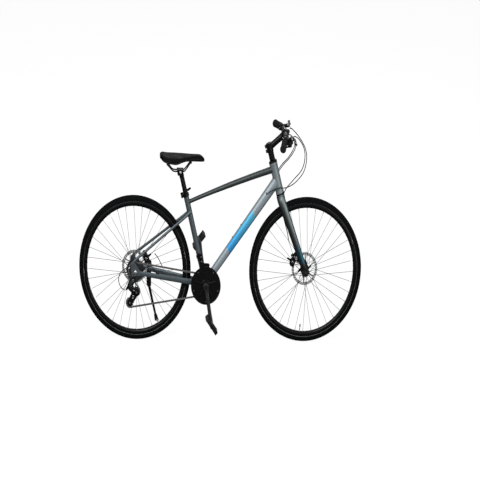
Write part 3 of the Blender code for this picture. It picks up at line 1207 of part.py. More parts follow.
def cables():
    cable("front_brake_cable", [Vector((0.9520, -0.1040, 0.9880)), Vector((0.9640, -0.0800, 0.9880)),
                                Vector((0.9950, -0.0300, 0.9660)),
                                Vector((1.0300, 0.0050, 0.9200)), Vector((1.0400, 0.0200, 0.8700)),
                                Vector((1.0250, 0.0330, 0.8150)),
                                Vector((0.9750, 0.0400, 0.7650)), Vector((0.9320, 0.0500, 0.7200)),
                                Vector((0.9120, 0.0620, 0.6600)),
                                Vector((0.9250, 0.0680, 0.5900)), Vector((0.9500, 0.0680, 0.5200)),
                                Vector((0.9640, 0.0620, 0.4700))])
    cable("rear_brake_cable", [Vector((0.9520, 0.1040, 0.9880)), Vector((0.9640, 0.0800, 0.9880)),
                               Vector((0.9990, 0.0150, 0.9680)),
                               Vector((1.0360, -0.0080, 0.9230)), Vector((1.0470, -0.0180, 0.8750)),
                               Vector((1.0300, -0.0270, 0.8170)),
                               Vector((0.9800, -0.0330, 0.7700)), Vector((0.9300, -0.0360, 0.7480)),
                               Vector((0.8880, -0.0350, 0.7440)),
                               Vector((0.8450, -0.0330, 0.7330)), Vector((0.8180, -0.0285, 0.7190)),
                               Vector((0.8130, -0.0240, 0.7165))])
    cable("rear_shift_cable", [Vector((0.9450, -0.0750, 0.9650)), Vector((0.9550, -0.0500, 0.9640)),
                               Vector((0.9750, -0.0100, 0.9480)),
                               Vector((0.9680, 0.0120, 0.9120)), Vector((0.9400, 0.0240, 0.8720)),
                               Vector((0.9050, 0.0330, 0.8400)),
                               Vector((0.8800, 0.0350, 0.8100)), Vector((0.8500, 0.0345, 0.7700)),
                               Vector((0.8280, 0.0310, 0.7430))])
    cable("front_shift_cable", [Vector((0.9450, 0.0750, 0.9650)), Vector((0.9570, 0.0560, 0.9640)),
                                Vector((0.9830, 0.0220, 0.9450)),
                                Vector((0.9780, 0.0260, 0.9080)), Vector((0.9480, 0.0330, 0.8680)),
                                Vector((0.9120, 0.0390, 0.8350)),
                                Vector((0.8820, 0.0420, 0.8000)), Vector((0.8480, 0.0405, 0.7550)),
                                Vector((0.8180, 0.0330, 0.7230))])
    cable("rear_brake_cable_end", [Vector((0.1270, 0.0620, 0.4080)), Vector((0.1450, 0.0640, 0.3900)),
                                   Vector((0.1620, 0.0655, 0.3650)),
                                   Vector((0.1760, 0.0640, 0.3420))], spacing=0.012)
    cable("rear_shift_cable_loop", [Vector((-0.0330, -0.0760, 0.3700)), Vector((-0.0700, -0.0790, 0.3640)),
                                    Vector((-0.1000, -0.0820, 0.3380)),
                                    Vector((-0.1060, -0.0835, 0.3050)), Vector((-0.0900, -0.0840, 0.2750)),
                                    Vector((-0.0640, -0.0830, 0.2640))],
          spacing=0.012)


head_tube()
seat_tube()
bottom_bracket_shell()
top_tube()
down_tube()
rear_stays(1)
rear_stays(-1)
fork()
stem_and_spacers()
handlebar()
grips()
controls()
saddle()
saddle_rails()
seatpost()
seat_clamp()
wheel("front", FRONT_AXLE, FRONT_INNER_HALF, 0.0290, -0.0350, None)
wheel("rear", REAR_AXLE, REAR_INNER_HALF, 0.0340, -0.0200, 0.0160)
axles()
chainring_set()
cranks()
pedals()
freewheel()
chain()
pulleys()
rear_derailleur()
front_derailleur()
calipers()
kickstand()
cables()

# The machine leans about the centre line of the tyres' bottoms, so that both stay on the ground.
lift = Vector((0.0, 0.0, TYRE_RADIUS))
BICYCLE.matrix_world = (Matrix.Translation(Vector((-ORIGIN_X, -ORIGIN_Y, 0.0)) + lift)
                        @ Matrix.Rotation(-LEAN, 4, "X") @ Matrix.Translation(-lift))
bpy.context.view_layer.update()
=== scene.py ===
"""A city hybrid bicycle with disc brakes on its kickstand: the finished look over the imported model."""
import math

import bmesh
import bpy
import numpy
from mathutils import Matrix, Vector
from mathutils.geometry import tessellate_polygon


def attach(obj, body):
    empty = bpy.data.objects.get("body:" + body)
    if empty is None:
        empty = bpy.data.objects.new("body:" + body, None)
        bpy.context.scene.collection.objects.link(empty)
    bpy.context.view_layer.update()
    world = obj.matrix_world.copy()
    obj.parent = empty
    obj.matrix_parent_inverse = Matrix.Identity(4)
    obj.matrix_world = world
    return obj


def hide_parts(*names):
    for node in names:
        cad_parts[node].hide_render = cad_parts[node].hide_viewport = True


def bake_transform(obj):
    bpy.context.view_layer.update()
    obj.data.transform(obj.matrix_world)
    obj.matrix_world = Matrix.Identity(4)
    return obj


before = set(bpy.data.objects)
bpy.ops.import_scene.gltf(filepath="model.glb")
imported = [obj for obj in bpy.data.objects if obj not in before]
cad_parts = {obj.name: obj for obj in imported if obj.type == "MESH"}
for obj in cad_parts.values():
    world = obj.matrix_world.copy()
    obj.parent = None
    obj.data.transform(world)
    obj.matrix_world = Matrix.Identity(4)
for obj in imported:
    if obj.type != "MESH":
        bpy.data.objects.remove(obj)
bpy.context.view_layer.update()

bl_info = {
    "name": "City hybrid bicycle",
    "version": (1, 0, 0),
    "blender": (4, 5, 0),
    "location": "3D View > Sidebar > Bicycle",
    "description": "Builds the finished look of a city hybrid bicycle over its packed model",
    "category": "Object",
}

# Sizes in metres, drawn upright: X forward from the rear axle, Y to the bicycle's left, Z up from the road.
LEAN = math.radians(8.0)
WHEELBASE = 1.063
WHEEL_RADIUS = 0.349
TYRE_RADIUS = 0.019
RIM_INNER_RADIUS = 0.2985
RIM_OUTER_RADIUS = 0.3175
RIM_HALF_WIDTH = 0.0115
SPOKE_COUNT = 36
CROSSING_STEPS = 6
HEAD_TUBE_RADIUS = 0.0235
SEAT_TUBE_RADIUS = 0.0159
SEATPOST_RADIUS = 0.0136
CHAIN_PITCH = 0.0127
CHAIN_PLANE = -0.0415
CHAINRINGS = ((24, -0.0415), (34, -0.0480), (42, -0.0545))
GUARD_PLANE = -0.0605
FREEWHEEL_TEETH = (28, 24, 22, 20, 18, 16, 14)
PULLEY_TEETH = 11
BAR_RADIUS = 0.0111
REAR_AXLE = Vector((0.0, 0.0, WHEEL_RADIUS))
FRONT_AXLE = Vector((WHEELBASE, 0.0, WHEEL_RADIUS))
CRANK_CENTRE = Vector((0.440, 0.0, 0.284))
CRANK_LENGTH = 0.175
SEAT_TUBE_DIRECTION = Vector((-0.278, 0.0, 0.9606)).normalized()
SEAT_TUBE_LENGTH = 0.441
HEAD_POINT = Vector((0.8706, 0.0, 0.7836))
HEAD_DIRECTION = Vector((-0.3202, 0.0, 0.9473)).normalized()
HEAD_BOTTOM = -0.0725
HEAD_TOP = 0.0755
STEM_BASE = 0.1250
STEM_TOP = 0.1670
BAR_CENTRE = Vector((0.914, 0.0, 0.984))
BAR_END = Vector((0.880, 0.280, 0.972))
CRANK_DIRECTION = Vector((0.182, 0.0, -0.983)).normalized()
GUIDE_PULLEY = Vector((0.004, CHAIN_PLANE, 0.250))
TENSION_PULLEY = Vector((-0.037, CHAIN_PLANE, 0.192))
STAND_PIVOT = Vector((0.088, 0.067, 0.262))
STAND_AXIS = Vector((-0.175, 1.0, 0.192)).normalized()
STAND_FOOT = Vector((0.142, 0.243, 0.0342))
SADDLE_PIVOT = Vector((0.2855, 0.0, 0.8085))
ROTOR_PLANE = {"front": 0.0385, "rear": 0.0465}
CALIPER_TURN = {"front": math.radians(157.0), "rear": math.radians(28.0)}
SADDLE_BELLY = ((0.0, 0.872), (0.03, 0.862), (0.085, 0.852), (0.227, 0.845), (0.36, 0.841), (0.43, 0.845),
                (0.50, 0.8520), (0.60, 0.8565), (0.80, 0.8555), (1.0, 0.8545))
SADDLE_HALF_WIDTH = ((0.0, 0.052), (0.1, 0.066), (0.2, 0.0755), (0.3, 0.0790), (0.4, 0.0735), (0.5, 0.0610),
                     (0.6, 0.0470), (0.7, 0.0350), (0.8, 0.0275), (0.9, 0.0225), (1.0, 0.0195))

LATERAL = Vector((0.0, 1.0, 0.0))
ALONG = Vector((1.0, 0.0, 0.0))
UP = Vector((0.0, 0.0, 1.0))
SIDES = ((1, "left"), (-1, "right"))
DOWN_TUBE_TOP = Vector((0.8770, 0.0, 0.7770))
LIFT = Vector((0.0, 0.0, TYRE_RADIUS))
LEANED = (Matrix.Translation(Vector((-WHEELBASE / 2, -0.1209, 0.0)) + LIFT)
          @ Matrix.Rotation(-LEAN, 4, "X") @ Matrix.Translation(-LIFT))


# Mesh tools

def square_to(tangent, hint=LATERAL):
    """Two unit vectors square to a tangent, the first as near to the hint as it can be."""
    tangent = tangent.normalized()
    side = hint - tangent * hint.dot(tangent)
    if side.length < 0.05:
        side = ALONG - tangent * ALONG.dot(tangent)
    side = side.normalized()
    return side, tangent.cross(side).normalized()


def flow(stations, per, closed=False):
    """Rows of numbers, taken in small steps on a smooth curve through the given rows."""
    rows = [tuple(s) for s in stations]
    if closed:
        ends = [rows[-1]] + rows + [rows[0], rows[1]]
    else:
        first = tuple(2 * a - b for a, b in zip(rows[0], rows[1]))
        last = tuple(2 * a - b for a, b in zip(rows[-1], rows[-2]))
        ends = [first] + rows + [last]
    out = []
    for i in range(1, len(ends) - 2):
        quads = list(zip(ends[i - 1], ends[i], ends[i + 1], ends[i + 2]))
        for k in range(per):
            t = k / per
            out.append(tuple(0.5 * (2 * b + (c - a) * t + (2 * a - 5 * b + 4 * c - d) * t * t
                                    + (3 * b - a - 3 * c + d) * t ** 3) for a, b, c, d in quads))
    if not closed:
        out.append(rows[-1])
    return out


def row(place, *sizes):
    """One station of a sweep: a place and its sizes."""
    return (place.x, place.y, place.z, *sizes)


def stations_from(place, directions, table):
    """Stations of a sweep: each line of the table is the steps along the directions, then the two sizes."""
    count = len(directions)
    return [row(sum((way * step for way, step in zip(directions, line)), place),
                *line[count:]) for line in table]


def wheel_way(turn):
    """The unit vector at an angle in the plane of the wheels."""
    return Vector((math.cos(turn), 0.0, math.sin(turn)))


def upwards(way):
    """The vector or its opposite, whichever points up."""
    return way if way.z > 0 else -way


def arc_points(centre, radius, start, end, steps):
    """Points (u, v) on an arc, in degrees."""
    turns = [math.radians(start + (end - start) * k / steps) for k in range(steps + 1)]
    return [(centre[0] + radius * math.cos(t), centre[1] + radius * math.sin(t)) for t in turns]


def rounded(corners, radius, steps=3):
    """A polygon with its corners rounded."""
    out = []
    count = len(corners)
    for i, corner in enumerate(corners):
        here = Vector(corner)
        before = Vector(corners[i - 1]) - here
        after = Vector(corners[(i + 1) % count]) - here
        reach = min(radius, before.length * 0.45, after.length * 0.45)
        a = here + before.normalized() * reach
        b = here + after.normalized() * reach
        for k in range(steps + 1):
            t = k / steps
            out.append(tuple(a * (1 - t) ** 2 + here * (2 * t * (1 - t)) + b * t * t))
    return out


def oblong(length, width, radius, steps=3):
    """A rounded rectangle about the origin."""
    x, y = length / 2, width / 2
    return rounded([(-x, -y), (x, -y), (x, y), (-x, y)], radius, steps)


def circle(radius, count, centre=(0.0, 0.0)):
    """Points (u, v) round a circle."""
    turns = [2 * math.pi * k / count for k in range(count)]
    return [(centre[0] + radius * math.cos(t), centre[1] + radius * math.sin(t)) for t in turns]


def slid_onto(ring, way, point, axis, radius):
    """The ring's points moved along a direction until they lie on a cylinder."""
    slope = way - axis * way.dot(axis)
    moved = []
    for p in ring:
        off = p - point
        off -= axis * off.dot(axis)
        a, b, c = slope.dot(slope), off.dot(slope), off.dot(off) - radius * radius
        moved.append(p + way * ((-b - math.sqrt(max(0.0, b * b - a * c))) / a))
    return moved


class Form:
    """One mesh in the making, in the upright bicycle's own coordinates."""

    def __init__(self, word):
        self.shape = bmesh.new()
        self.sheet = self.shape.loops.layers.uv.new("surface")
        self.materials = []
        self.use(word)

    def use(self, word):
        """What is added from now on has this finish."""
        material = finish_of(word)
        if material not in self.materials:
            self.materials.append(material)
        self.word = word
        self.slot = self.materials.index(material)
        return self

    def face(self, corners, marks=None):
        face = self.shape.faces.new(corners)
        face.material_index = self.slot
        if marks:
            for loop, mark in zip(face.loops, marks):
                loop[self.sheet].uv = mark
        return face

    def skin(self, rings, closed=False, caps=(True, True), lengths=None):
        """Quads between rings of points; each end is closed with a fan unless it comes round to the start."""
        grid = [[self.shape.verts.new(p) for p in ring] for ring in rings]
        count = len(rings[0])
        total = len(rings)
        lengths = lengths or [i / total for i in range(total + 1)]
        for i in range(total if closed else total - 1):
            a, b = grid[i], grid[(i + 1) % total]
            u0, u1 = lengths[i], lengths[i + 1]
            for k in range(count):
                j = (k + 1) % count
                v0, v1 = k / count, (k + 1) / count
                self.face((a[k], a[j], b[j], b[k]), ((u0, v0), (u0, v1), (u1, v1), (u1, v0)))
        if not closed:
            ends = ((grid[0], caps[0], lengths[0]), (grid[-1], caps[1], lengths[total - 1]))
            for ring, wanted, u in ends:
                if wanted:
                    middle = sum((v.co for v in ring), Vector()) / count
                    pole = self.shape.verts.new(middle)
                    for k in range(count):
                        marks = ((u, k / count), (u, k / count), (u, 0.5))
                        self.face((ring[k], ring[(k + 1) % count], pole), marks)
        return self

    def sweep(self, stations, sides=24, hint=LATERAL, per=6, power=2.0,
              dome=0.0, carry=False, closed=False, cope=None):
        """A skin through rounded sections along a path: each station is x, y, z, half width, half depth."""
        rows = flow(stations, per, closed) if per > 1 else list(stations)
        total = len(rows)
        places = [Vector(r[:3]) for r in rows]
        tangents = []
        for i in range(total):
            ahead = places[(i + 1) % total] if closed or i < total - 1 else places[i]
            behind = places[i - 1] if closed or i > 0 else places[i]
            tangents.append((ahead - behind).normalized())
        frames = [square_to(tangents[0], hint)]
        for i in range(1, total):
            frames.append(square_to(tangents[i], frames[-1][0] if carry else hint))
        sections = [(places[i], rows[i][3], rows[i][4], frames[i]) for i in range(total)]
        if dome and not closed:
            caps = []
            for end, way in ((0, -1), (-1, 1)):
                centre, wide, deep, around = sections[end]
                steps = [(centre + tangents[end] * (way * dome * math.sin(math.radians(a))),
                          wide * math.cos(math.radians(a)), deep * math.cos(math.radians(a)), around)
                         for a in (25, 50, 72, 86)]
                caps.append(steps)
            sections = list(reversed(caps[0])) + sections + caps[1]
        rings, lengths = [], [0.0]
        for centre, wide, deep, (side, high) in sections:
            ring = []
            for k in range(sides):
                turn = 2 * math.pi * (k + 0.5) / sides
                c, s = math.cos(turn), math.sin(turn)
                x = math.copysign(abs(c) ** (2 / power), c) * wide
                y = math.copysign(abs(s) ** (2 / power), s) * deep
                ring.append(centre + side * x + high * y)
            rings.append(ring)
            if len(rings) > 1:
                lengths.append(lengths[-1] + (centre - before).length)
            before = centre
        lengths.append(lengths[-1] + (sections[0][0] - sections[-1][0]).length)
        if cope:
            # The first end follows the tube that it meets, and a second ring closes it along the middle.
            rings[0] = slid_onto(rings[0], -tangents[0], *cope)
            rings.insert(0, slid_onto([p - LATERAL * (p.y * 0.97) for p in rings[1]], -tangents[0], *cope))
            lengths.insert(0, 0.0)
        return self.skin(rings, closed, lengths=lengths)

    def lathe(self, profile, centre, axis=LATERAL, sides=48, loop=False):
        """Turns points of (radius, height) round an axis; a loop comes back to its first point."""
        hint = ALONG if abs(axis.dot(LATERAL)) > 0.9 else LATERAL
        first, second = square_to(axis, hint)
        spokes = [first * math.cos(2 * math.pi * k / sides) + second * math.sin(2 * math.pi * k / sides)
                  for k in range(sides)]
        rings = []
        for radius, height in profile:
            if radius < 1e-6:
                radius = 1e-5
            rings.append([centre + spoke * radius + axis * height for spoke in spokes])
        return self.skin(rings, loop)

    def rod(self, start, end, radius, far=None, edge=0.0006, sides=20):
        """A round bar with eased edges."""
        far = radius if far is None else far
        axis = (end - start).normalized()
        length = (end - start).length
        edge = min(edge, radius * 0.5, far * 0.5, length * 0.3)
        profile = [(radius - edge, 0.0), (radius - edge * 0.3, edge * 0.3), (radius, edge),
                   (far, length - edge), (far - edge * 0.3, length - edge * 0.3), (far - edge, length)]
        return self.lathe(profile, start, axis, sides)

    def collar(self, bore, radius, near, far, centre, axis=LATERAL, sides=48, ease=(0.0006, 0.0008)):
        """A ring about an axis, its two outer edges eased by a radius and a height."""
        inward, height = ease
        profile = [(bore, near), (radius - inward, near), (radius, near + height), (radius, far - height),
                   (radius - inward, far), (bore, far)]
        return self.lathe(profile, centre, axis, sides, loop=True)

    def ball(self, centre, radius, sides=14):
        profile = [(radius * math.cos(math.radians(a)), radius * math.sin(math.radians(a)))
                   for a in range(-88, 89, 22)]
        return self.lathe(profile, centre, UP, sides)

    def slab(self, outline, near, far, origin=Vector(), u=ALONG, v=UP, w=LATERAL, edge=0.0005, holes=()):
        """A plate cut to an outline in the u, v plane, from near to far along w, with eased edges."""
        loops = [list(outline)] + [list(h) for h in holes]

        def area(points):
            return sum(a[0] * b[1] - b[0] * a[1] for a, b in zip(points, points[1:] + points[:1]))

        def shrunk(points, inward):
            count = len(points)
            way = 1 if area(points) > 0 else -1
            out = []
            for i, point in enumerate(points):
                a = Vector(points[i]) - Vector(points[i - 1])
                b = Vector(points[(i + 1) % count]) - Vector(points[i])
                mean = a.normalized() + b.normalized()
                if mean.length < 1e-6:
                    mean = a
                normal = Vector((-mean.y, mean.x)).normalized() * way
                out.append(tuple(Vector(point) + normal * inward))
            return out

        def at(point, height):
            return origin + u * point[0] + v * point[1] + w * height

        low, high = min(near, far), max(near, far)
        edge = min(edge, (high - low) * 0.4)
        ends = [[], []]
        for number, points in enumerate(loops):
            inset = shrunk(points, edge if number == 0 else -edge)
            layers = [(inset, low), (points, low + edge), (points, high - edge), (inset, high)]
            rings = [[self.shape.verts.new(at(p, h)) for p in pts] for pts, h in layers]
            count = len(points)
            for a, b in zip(rings, rings[1:]):
                for k in range(count):
                    j = (k + 1) % count
                    self.face((a[k], a[j], b[j], b[k]))
            ends[0].append((inset, rings[0]))
            ends[1].append((inset, rings[-1]))
        for end in ends:
            flat = [[Vector((p[0], p[1], 0.0)) for p in points] for points, _ in end]
            names = [v for _, ring in end for v in ring]
            for a, b, c in tessellate_polygon(flat):
                self.face((names[a], names[b], names[c]))
        return self

    def brick(self, centre, size, across=ALONG, high=UP, soft=0.0015, edge=0.0007):
        """A block with rounded corners: size is along, sideways, high."""
        third = high.cross(across).normalized()
        outline = oblong(size[0], size[1], soft)
        return self.slab(outline, -size[2] / 2, size[2] / 2, centre, across, third, high, edge)

    def bolt(self, place, axis, radius, height):
        """A cap screw with its socket."""
        hole, edge = radius * 0.5, radius * 0.14
        profile = [(radius, 0.0), (radius, height - edge), (radius - edge, height), (hole, height),
                   (hole * 0.9, height - radius * 0.6), (0.0, height - radius * 0.65)]
        return self.lathe(profile, place, axis.normalized(), 14)

    def nut(self, place, axis, radius, height):
        """A six-sided nut with eased corners."""
        edge = radius * 0.12
        profile = [(radius - edge, 0.0), (radius, edge * 0.6), (radius, height - edge * 0.6),
                   (radius - edge, height)]
        return self.lathe(profile, place, axis.normalized(), 6)

    def bead(self, start, direction, wide, deep, axis_point, axis, radius, size, hint=LATERAL):
        """A weld bead where a tube runs onto a round tube: its path is the line where the two meet."""
        side, high = square_to(direction, hint)
        path = []
        for k in range(28):
            turn = 2 * math.pi * k / 28
            foot = start + side * (wide * math.cos(turn)) + high * (deep * math.sin(turn))
            # Along the direction, the squared distance from the round tube's axis is a quadratic.
            flat_foot = (foot - axis_point) - axis * (foot - axis_point).dot(axis)
            flat_way = direction - axis * direction.dot(axis)
            a, b, c = flat_way.dot(flat_way), flat_foot.dot(flat_way), flat_foot.dot(flat_foot) - radius ** 2
            root = b * b - a * c
            reach = (-b - math.sqrt(max(0.0, root))) / a
            path.append(row(foot + direction * reach, size, size))
        return self.sweep(path, 10, direction, 2, closed=True)

    def absorb(self, mesh):
        """Takes in a finished mesh."""
        before = len(self.shape.faces)
        self.shape.from_mesh(mesh)
        self.shape.faces.ensure_lookup_table()
        for face in self.shape.faces[before:]:
            face.material_index = self.slot
        bpy.data.meshes.remove(mesh)
        return self

    def repeat(self, tile, count, centre, axis=LATERAL, phase=0.0, step=None):
        """Turned copies of a tile about an axis, made by Geometry Nodes and taken in as plain mesh."""
        mesh = tile.plain("tile")
        thing = bpy.data.objects.new("tile", mesh)
        bpy.context.collection.objects.link(thing)
        set_inputs(thing, turned_copies(), {
            "Count": count, "Axis": axis, "Centre": centre, "Phase": phase,
            "Step": 2 * math.pi / count if step is None else step, "Material": self.materials[self.slot]})
        return self.absorb(evaluated(thing))

    def plain(self, name):
        """The mesh itself, its doubles merged and its faces turned outwards."""
        bmesh.ops.remove_doubles(self.shape, verts=self.shape.verts, dist=0.000015)
        bmesh.ops.recalc_face_normals(self.shape, faces=self.shape.faces)
        mesh = bpy.data.meshes.new(name)
        self.shape.to_mesh(mesh)
        self.shape.free()
        return mesh

    def finish(self, name, body, replaces=(), smooth=38.0):
        """A finished piece at the origin, riding on its body."""
        mesh = self.plain(name)
        mesh.transform(LEANED)
        for material in self.materials:
            mesh.materials.append(material)
        mesh.shade_smooth()
        mesh.set_sharp_from_angle(angle=math.radians(smooth))
        piece = bpy.data.objects.new(name, mesh)
        bpy.context.collection.objects.link(piece)
        if body:
            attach(piece, body)
        if replaces:
            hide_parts(*replaces)
        return piece


# Geometry Nodes

def new_tree(name, inputs):
    """A node group with a geometry going in and out, and the named inputs."""
    tree = bpy.data.node_groups.new(name, "GeometryNodeTree")
    tree.interface.new_socket("Geometry", in_out="OUTPUT", socket_type="NodeSocketGeometry")
    tree.interface.new_socket("Geometry", in_out="INPUT", socket_type="NodeSocketGeometry")
    for label, kind in inputs:
        tree.interface.new_socket(label, in_out="INPUT", socket_type=kind)
    enter = tree.nodes.new("NodeGroupInput")
    leave = tree.nodes.new("NodeGroupOutput")
    return tree, enter, leave


def set_inputs(thing, tree, values):
    """Hangs a node group on an object and sets its inputs by their identifiers."""
    modifier = thing.modifiers.new("copies", "NODES")
    modifier.node_group = tree
    for item in tree.interface.items_tree:
        if item.item_type == "SOCKET" and item.in_out == "INPUT" and item.name in values:
            modifier[item.identifier] = values[item.name]
    return modifier


def evaluated(thing):
    """The plain mesh that an object's modifiers give; the object goes."""
    bpy.context.view_layer.update()
    graph = bpy.context.evaluated_depsgraph_get()
    mesh = bpy.data.meshes.new_from_object(thing.evaluated_get(graph))
    bpy.data.objects.remove(thing)
    return mesh


def turned_copies():
    """Copies of what comes in, turned step by step about an axis through a centre."""
    tree = bpy.data.node_groups.get("Turned copies")
    if tree:
        return tree
    tree, enter, leave = new_tree("Turned copies", (
        ("Count", "NodeSocketInt"), ("Axis", "NodeSocketVector"), ("Centre", "NodeSocketVector"),
        ("Phase", "NodeSocketFloat"), ("Step", "NodeSocketFloat"), ("Material", "NodeSocketMaterial")))
    make, link = tree.nodes.new, tree.links.new
    away = make("ShaderNodeVectorMath")
    away.operation = "SCALE"
    away.inputs["Scale"].default_value = -1.0
    link(enter.outputs["Centre"], away.inputs[0])
    shift = make("GeometryNodeTransform")
    link(enter.outputs["Geometry"], shift.inputs["Geometry"])
    link(away.outputs[0], shift.inputs["Translation"])
    spots = make("GeometryNodePoints")
    link(enter.outputs["Count"], spots.inputs["Count"])
    link(enter.outputs["Centre"], spots.inputs["Position"])
    number = make("GeometryNodeInputIndex")
    angle = make("ShaderNodeMath")
    angle.operation = "MULTIPLY_ADD"
    link(number.outputs[0], angle.inputs[0])
    link(enter.outputs["Step"], angle.inputs[1])
    link(enter.outputs["Phase"], angle.inputs[2])
    turn = make("FunctionNodeAxisAngleToRotation")
    link(enter.outputs["Axis"], turn.inputs["Axis"])
    link(angle.outputs[0], turn.inputs["Angle"])
    copies = make("GeometryNodeInstanceOnPoints")
    link(spots.outputs[0], copies.inputs["Points"])
    link(shift.outputs[0], copies.inputs["Instance"])
    link(turn.outputs[0], copies.inputs["Rotation"])
    close_tree(tree, enter, leave, copies.outputs[0])
    return tree


def close_tree(tree, enter, leave, source):
    """Realize Instances and Set Material, as every tree here ends."""
    real = tree.nodes.new("GeometryNodeRealizeInstances")
    paint = tree.nodes.new("GeometryNodeSetMaterial")
    tree.links.new(source, real.inputs[0])
    tree.links.new(real.outputs[0], paint.inputs["Geometry"])
    tree.links.new(enter.outputs["Material"], paint.inputs["Material"])
    tree.links.new(paint.outputs[0], leave.inputs[0])


def chain_tree():
    """Links set along a closed path, every second one, each turned to the path's direction."""
    tree = bpy.data.node_groups.get("Links along a path")
    if tree:
        return tree
    tree, enter, leave = new_tree("Links along a path", (
        ("Path", "NodeSocketObject"), ("Count", "NodeSocketInt"), ("Parity", "NodeSocketInt"),
        ("Material", "NodeSocketMaterial")))
    make, link = tree.nodes.new, tree.links.new
    path = make("GeometryNodeObjectInfo")
    link(enter.outputs["Path"], path.inputs["Object"])
    spots = make("GeometryNodeCurveToPoints")
    spots.mode = "COUNT"
    link(path.outputs["Geometry"], spots.inputs["Curve"])
    link(enter.outputs["Count"], spots.inputs["Count"])
    way = make("FunctionNodeAlignRotationToVector")
    way.axis = "X"
    way.pivot_axis = "Y"
    link(spots.outputs["Tangent"], way.inputs["Vector"])
    number = make("GeometryNodeInputIndex")
    half = make("ShaderNodeMath")
    half.operation = "MODULO"
    half.inputs[1].default_value = 2.0
    link(number.outputs[0], half.inputs[0])
    chosen = make("FunctionNodeCompare")
    chosen.data_type = "FLOAT"
    chosen.operation = "EQUAL"
    chosen.inputs["Epsilon"].default_value = 0.1
    link(half.outputs[0], chosen.inputs["A"])
    link(enter.outputs["Parity"], chosen.inputs["B"])
    copies = make("GeometryNodeInstanceOnPoints")
    link(spots.outputs["Points"], copies.inputs["Points"])
    link(chosen.outputs[0], copies.inputs["Selection"])
    link(enter.outputs["Geometry"], copies.inputs["Instance"])
    link(way.outputs[0], copies.inputs["Rotation"])
    close_tree(tree, enter, leave, copies.outputs[0])
    return tree


# Finishes

def add_node(tree, kind, values=None):
    """A node with its inputs set, each to a plain value or to what another node gives."""
    node = tree.nodes.new(kind)
    for name, value in (values or {}).items():
        if isinstance(value, bpy.types.NodeSocket):
            tree.links.new(value, node.inputs[name])
        else:
            node.inputs[name].default_value = value
    return node


def new_finish(name, colour, roughness, metallic, coat, specular):
    """A Principled material; returns it with its tree and shader."""
    material = bpy.data.materials.new(name)
    material.use_nodes = True
    tree = material.node_tree
    shader = tree.nodes["Principled BSDF"]
    for label, value in (("Base Color", (*colour, 1.0)), ("Roughness", roughness), ("Metallic", metallic),
                         ("Coat Weight", coat), ("Coat Roughness", 0.22), ("Specular IOR Level", specular)):
        shader.inputs[label].default_value = value
    material.diffuse_color = (*colour, 1.0)
    return material, tree, shader


def place_node(tree):
    """Object coordinates, in metres."""
    node = tree.nodes.get("place") or tree.nodes.new("ShaderNodeTexCoord")
    node.name = "place"
    return node.outputs["Object"]


def surface_node(tree):
    """The piece's own surface coordinates: along it in metres, and round it from 0 to 1."""
    node = tree.nodes.new("ShaderNodeUVMap")
    node.uv_map = "surface"
    return node.outputs[0]


def noise(tree, scale, detail=2.0, rough=0.5, stretch=None):
    """Smooth noise, on coordinates that may be stretched by their own factor on each axis."""
    place = place_node(tree)
    if stretch:
        place = add_node(tree, "ShaderNodeMapping", {"Scale": stretch, "Vector": place}).outputs[0]
    values = {"Scale": scale, "Detail": detail, "Roughness": rough, "Vector": place}
    return add_node(tree, "ShaderNodeTexNoise", values).outputs["Fac"]


def cells(tree, scale, feature):
    """The distance in a pattern of cells."""
    node = add_node(tree, "ShaderNodeTexVoronoi", {"Scale": scale, "Vector": place_node(tree)})
    node.feature = feature
    return node.outputs["Distance"]


def ramp(tree, value, stops):
    """A colour ramp from (position, colour) stops."""
    node = add_node(tree, "ShaderNodeValToRGB", {"Fac": value})
    points = node.color_ramp.elements
    for point, (position, colour) in ((points[0], stops[0]), (points[1], stops[-1])):
        point.position = position
        point.color = (*colour, 1.0)
    for position, colour in stops[1:-1]:
        points.new(position).color = (*colour, 1.0)
    return node.outputs["Color"]


def grey_stops(stops):
    """Stops of a ramp between black and white."""
    return [(position, (level, level, level)) for position, level in stops]


def mixed(tree, share, first, second):
    """Two colours mixed, either of them a socket or plain numbers."""
    node = tree.nodes.new("ShaderNodeMix")
    node.data_type = "RGBA"
    for place, item in ((0, share), (6, first), (7, second)):
        if isinstance(item, bpy.types.NodeSocket):
            tree.links.new(item, node.inputs[place])
        else:
            node.inputs[place].default_value = (*item, 1.0)
    return node.outputs[2]


def sums(tree, operation, *items):
    """One step of arithmetic on sockets and plain numbers."""
    node = add_node(tree, "ShaderNodeMath", dict(enumerate(items)))
    node.operation = operation
    return node.outputs[0]


def along_axis(tree, start, direction):
    """How far a point of the leaned machine lies along a line drawn on the upright one."""
    start = LEANED @ start
    direction = LEANED.to_3x3() @ direction
    node = add_node(tree, "ShaderNodeVectorMath", {0: place_node(tree), 1: direction})
    node.operation = "DOT_PRODUCT"
    return sums(tree, "SUBTRACT", node.outputs["Value"], start.dot(direction))


def relief(tree, shader, height, distance, strength):
    """A bump from a height."""
    values = {"Strength": strength, "Distance": distance, "Height": height}
    tree.links.new(add_node(tree, "ShaderNodeBump", values).outputs[0], shader.inputs["Normal"])


def uneven_gloss(tree, shader, scale, low, high):
    """Roughness that wanders between two values."""
    node = add_node(tree, "ShaderNodeMapRange", {
        "From Min": 0.3, "From Max": 0.7, "To Min": low, "To Max": high, "Value": noise(tree, scale, 3.0)})
    tree.links.new(node.outputs[0], shader.inputs["Roughness"])


def scaled(colour, factor):
    """A colour made lighter or darker, no channel past 1."""
    return tuple(min(1.0, c * factor) for c in colour)


def shades(colour, *stops):
    """Stops of a ramp from (position, factor) pairs on one colour."""
    return [(position, scaled(colour, factor)) for position, factor in stops]


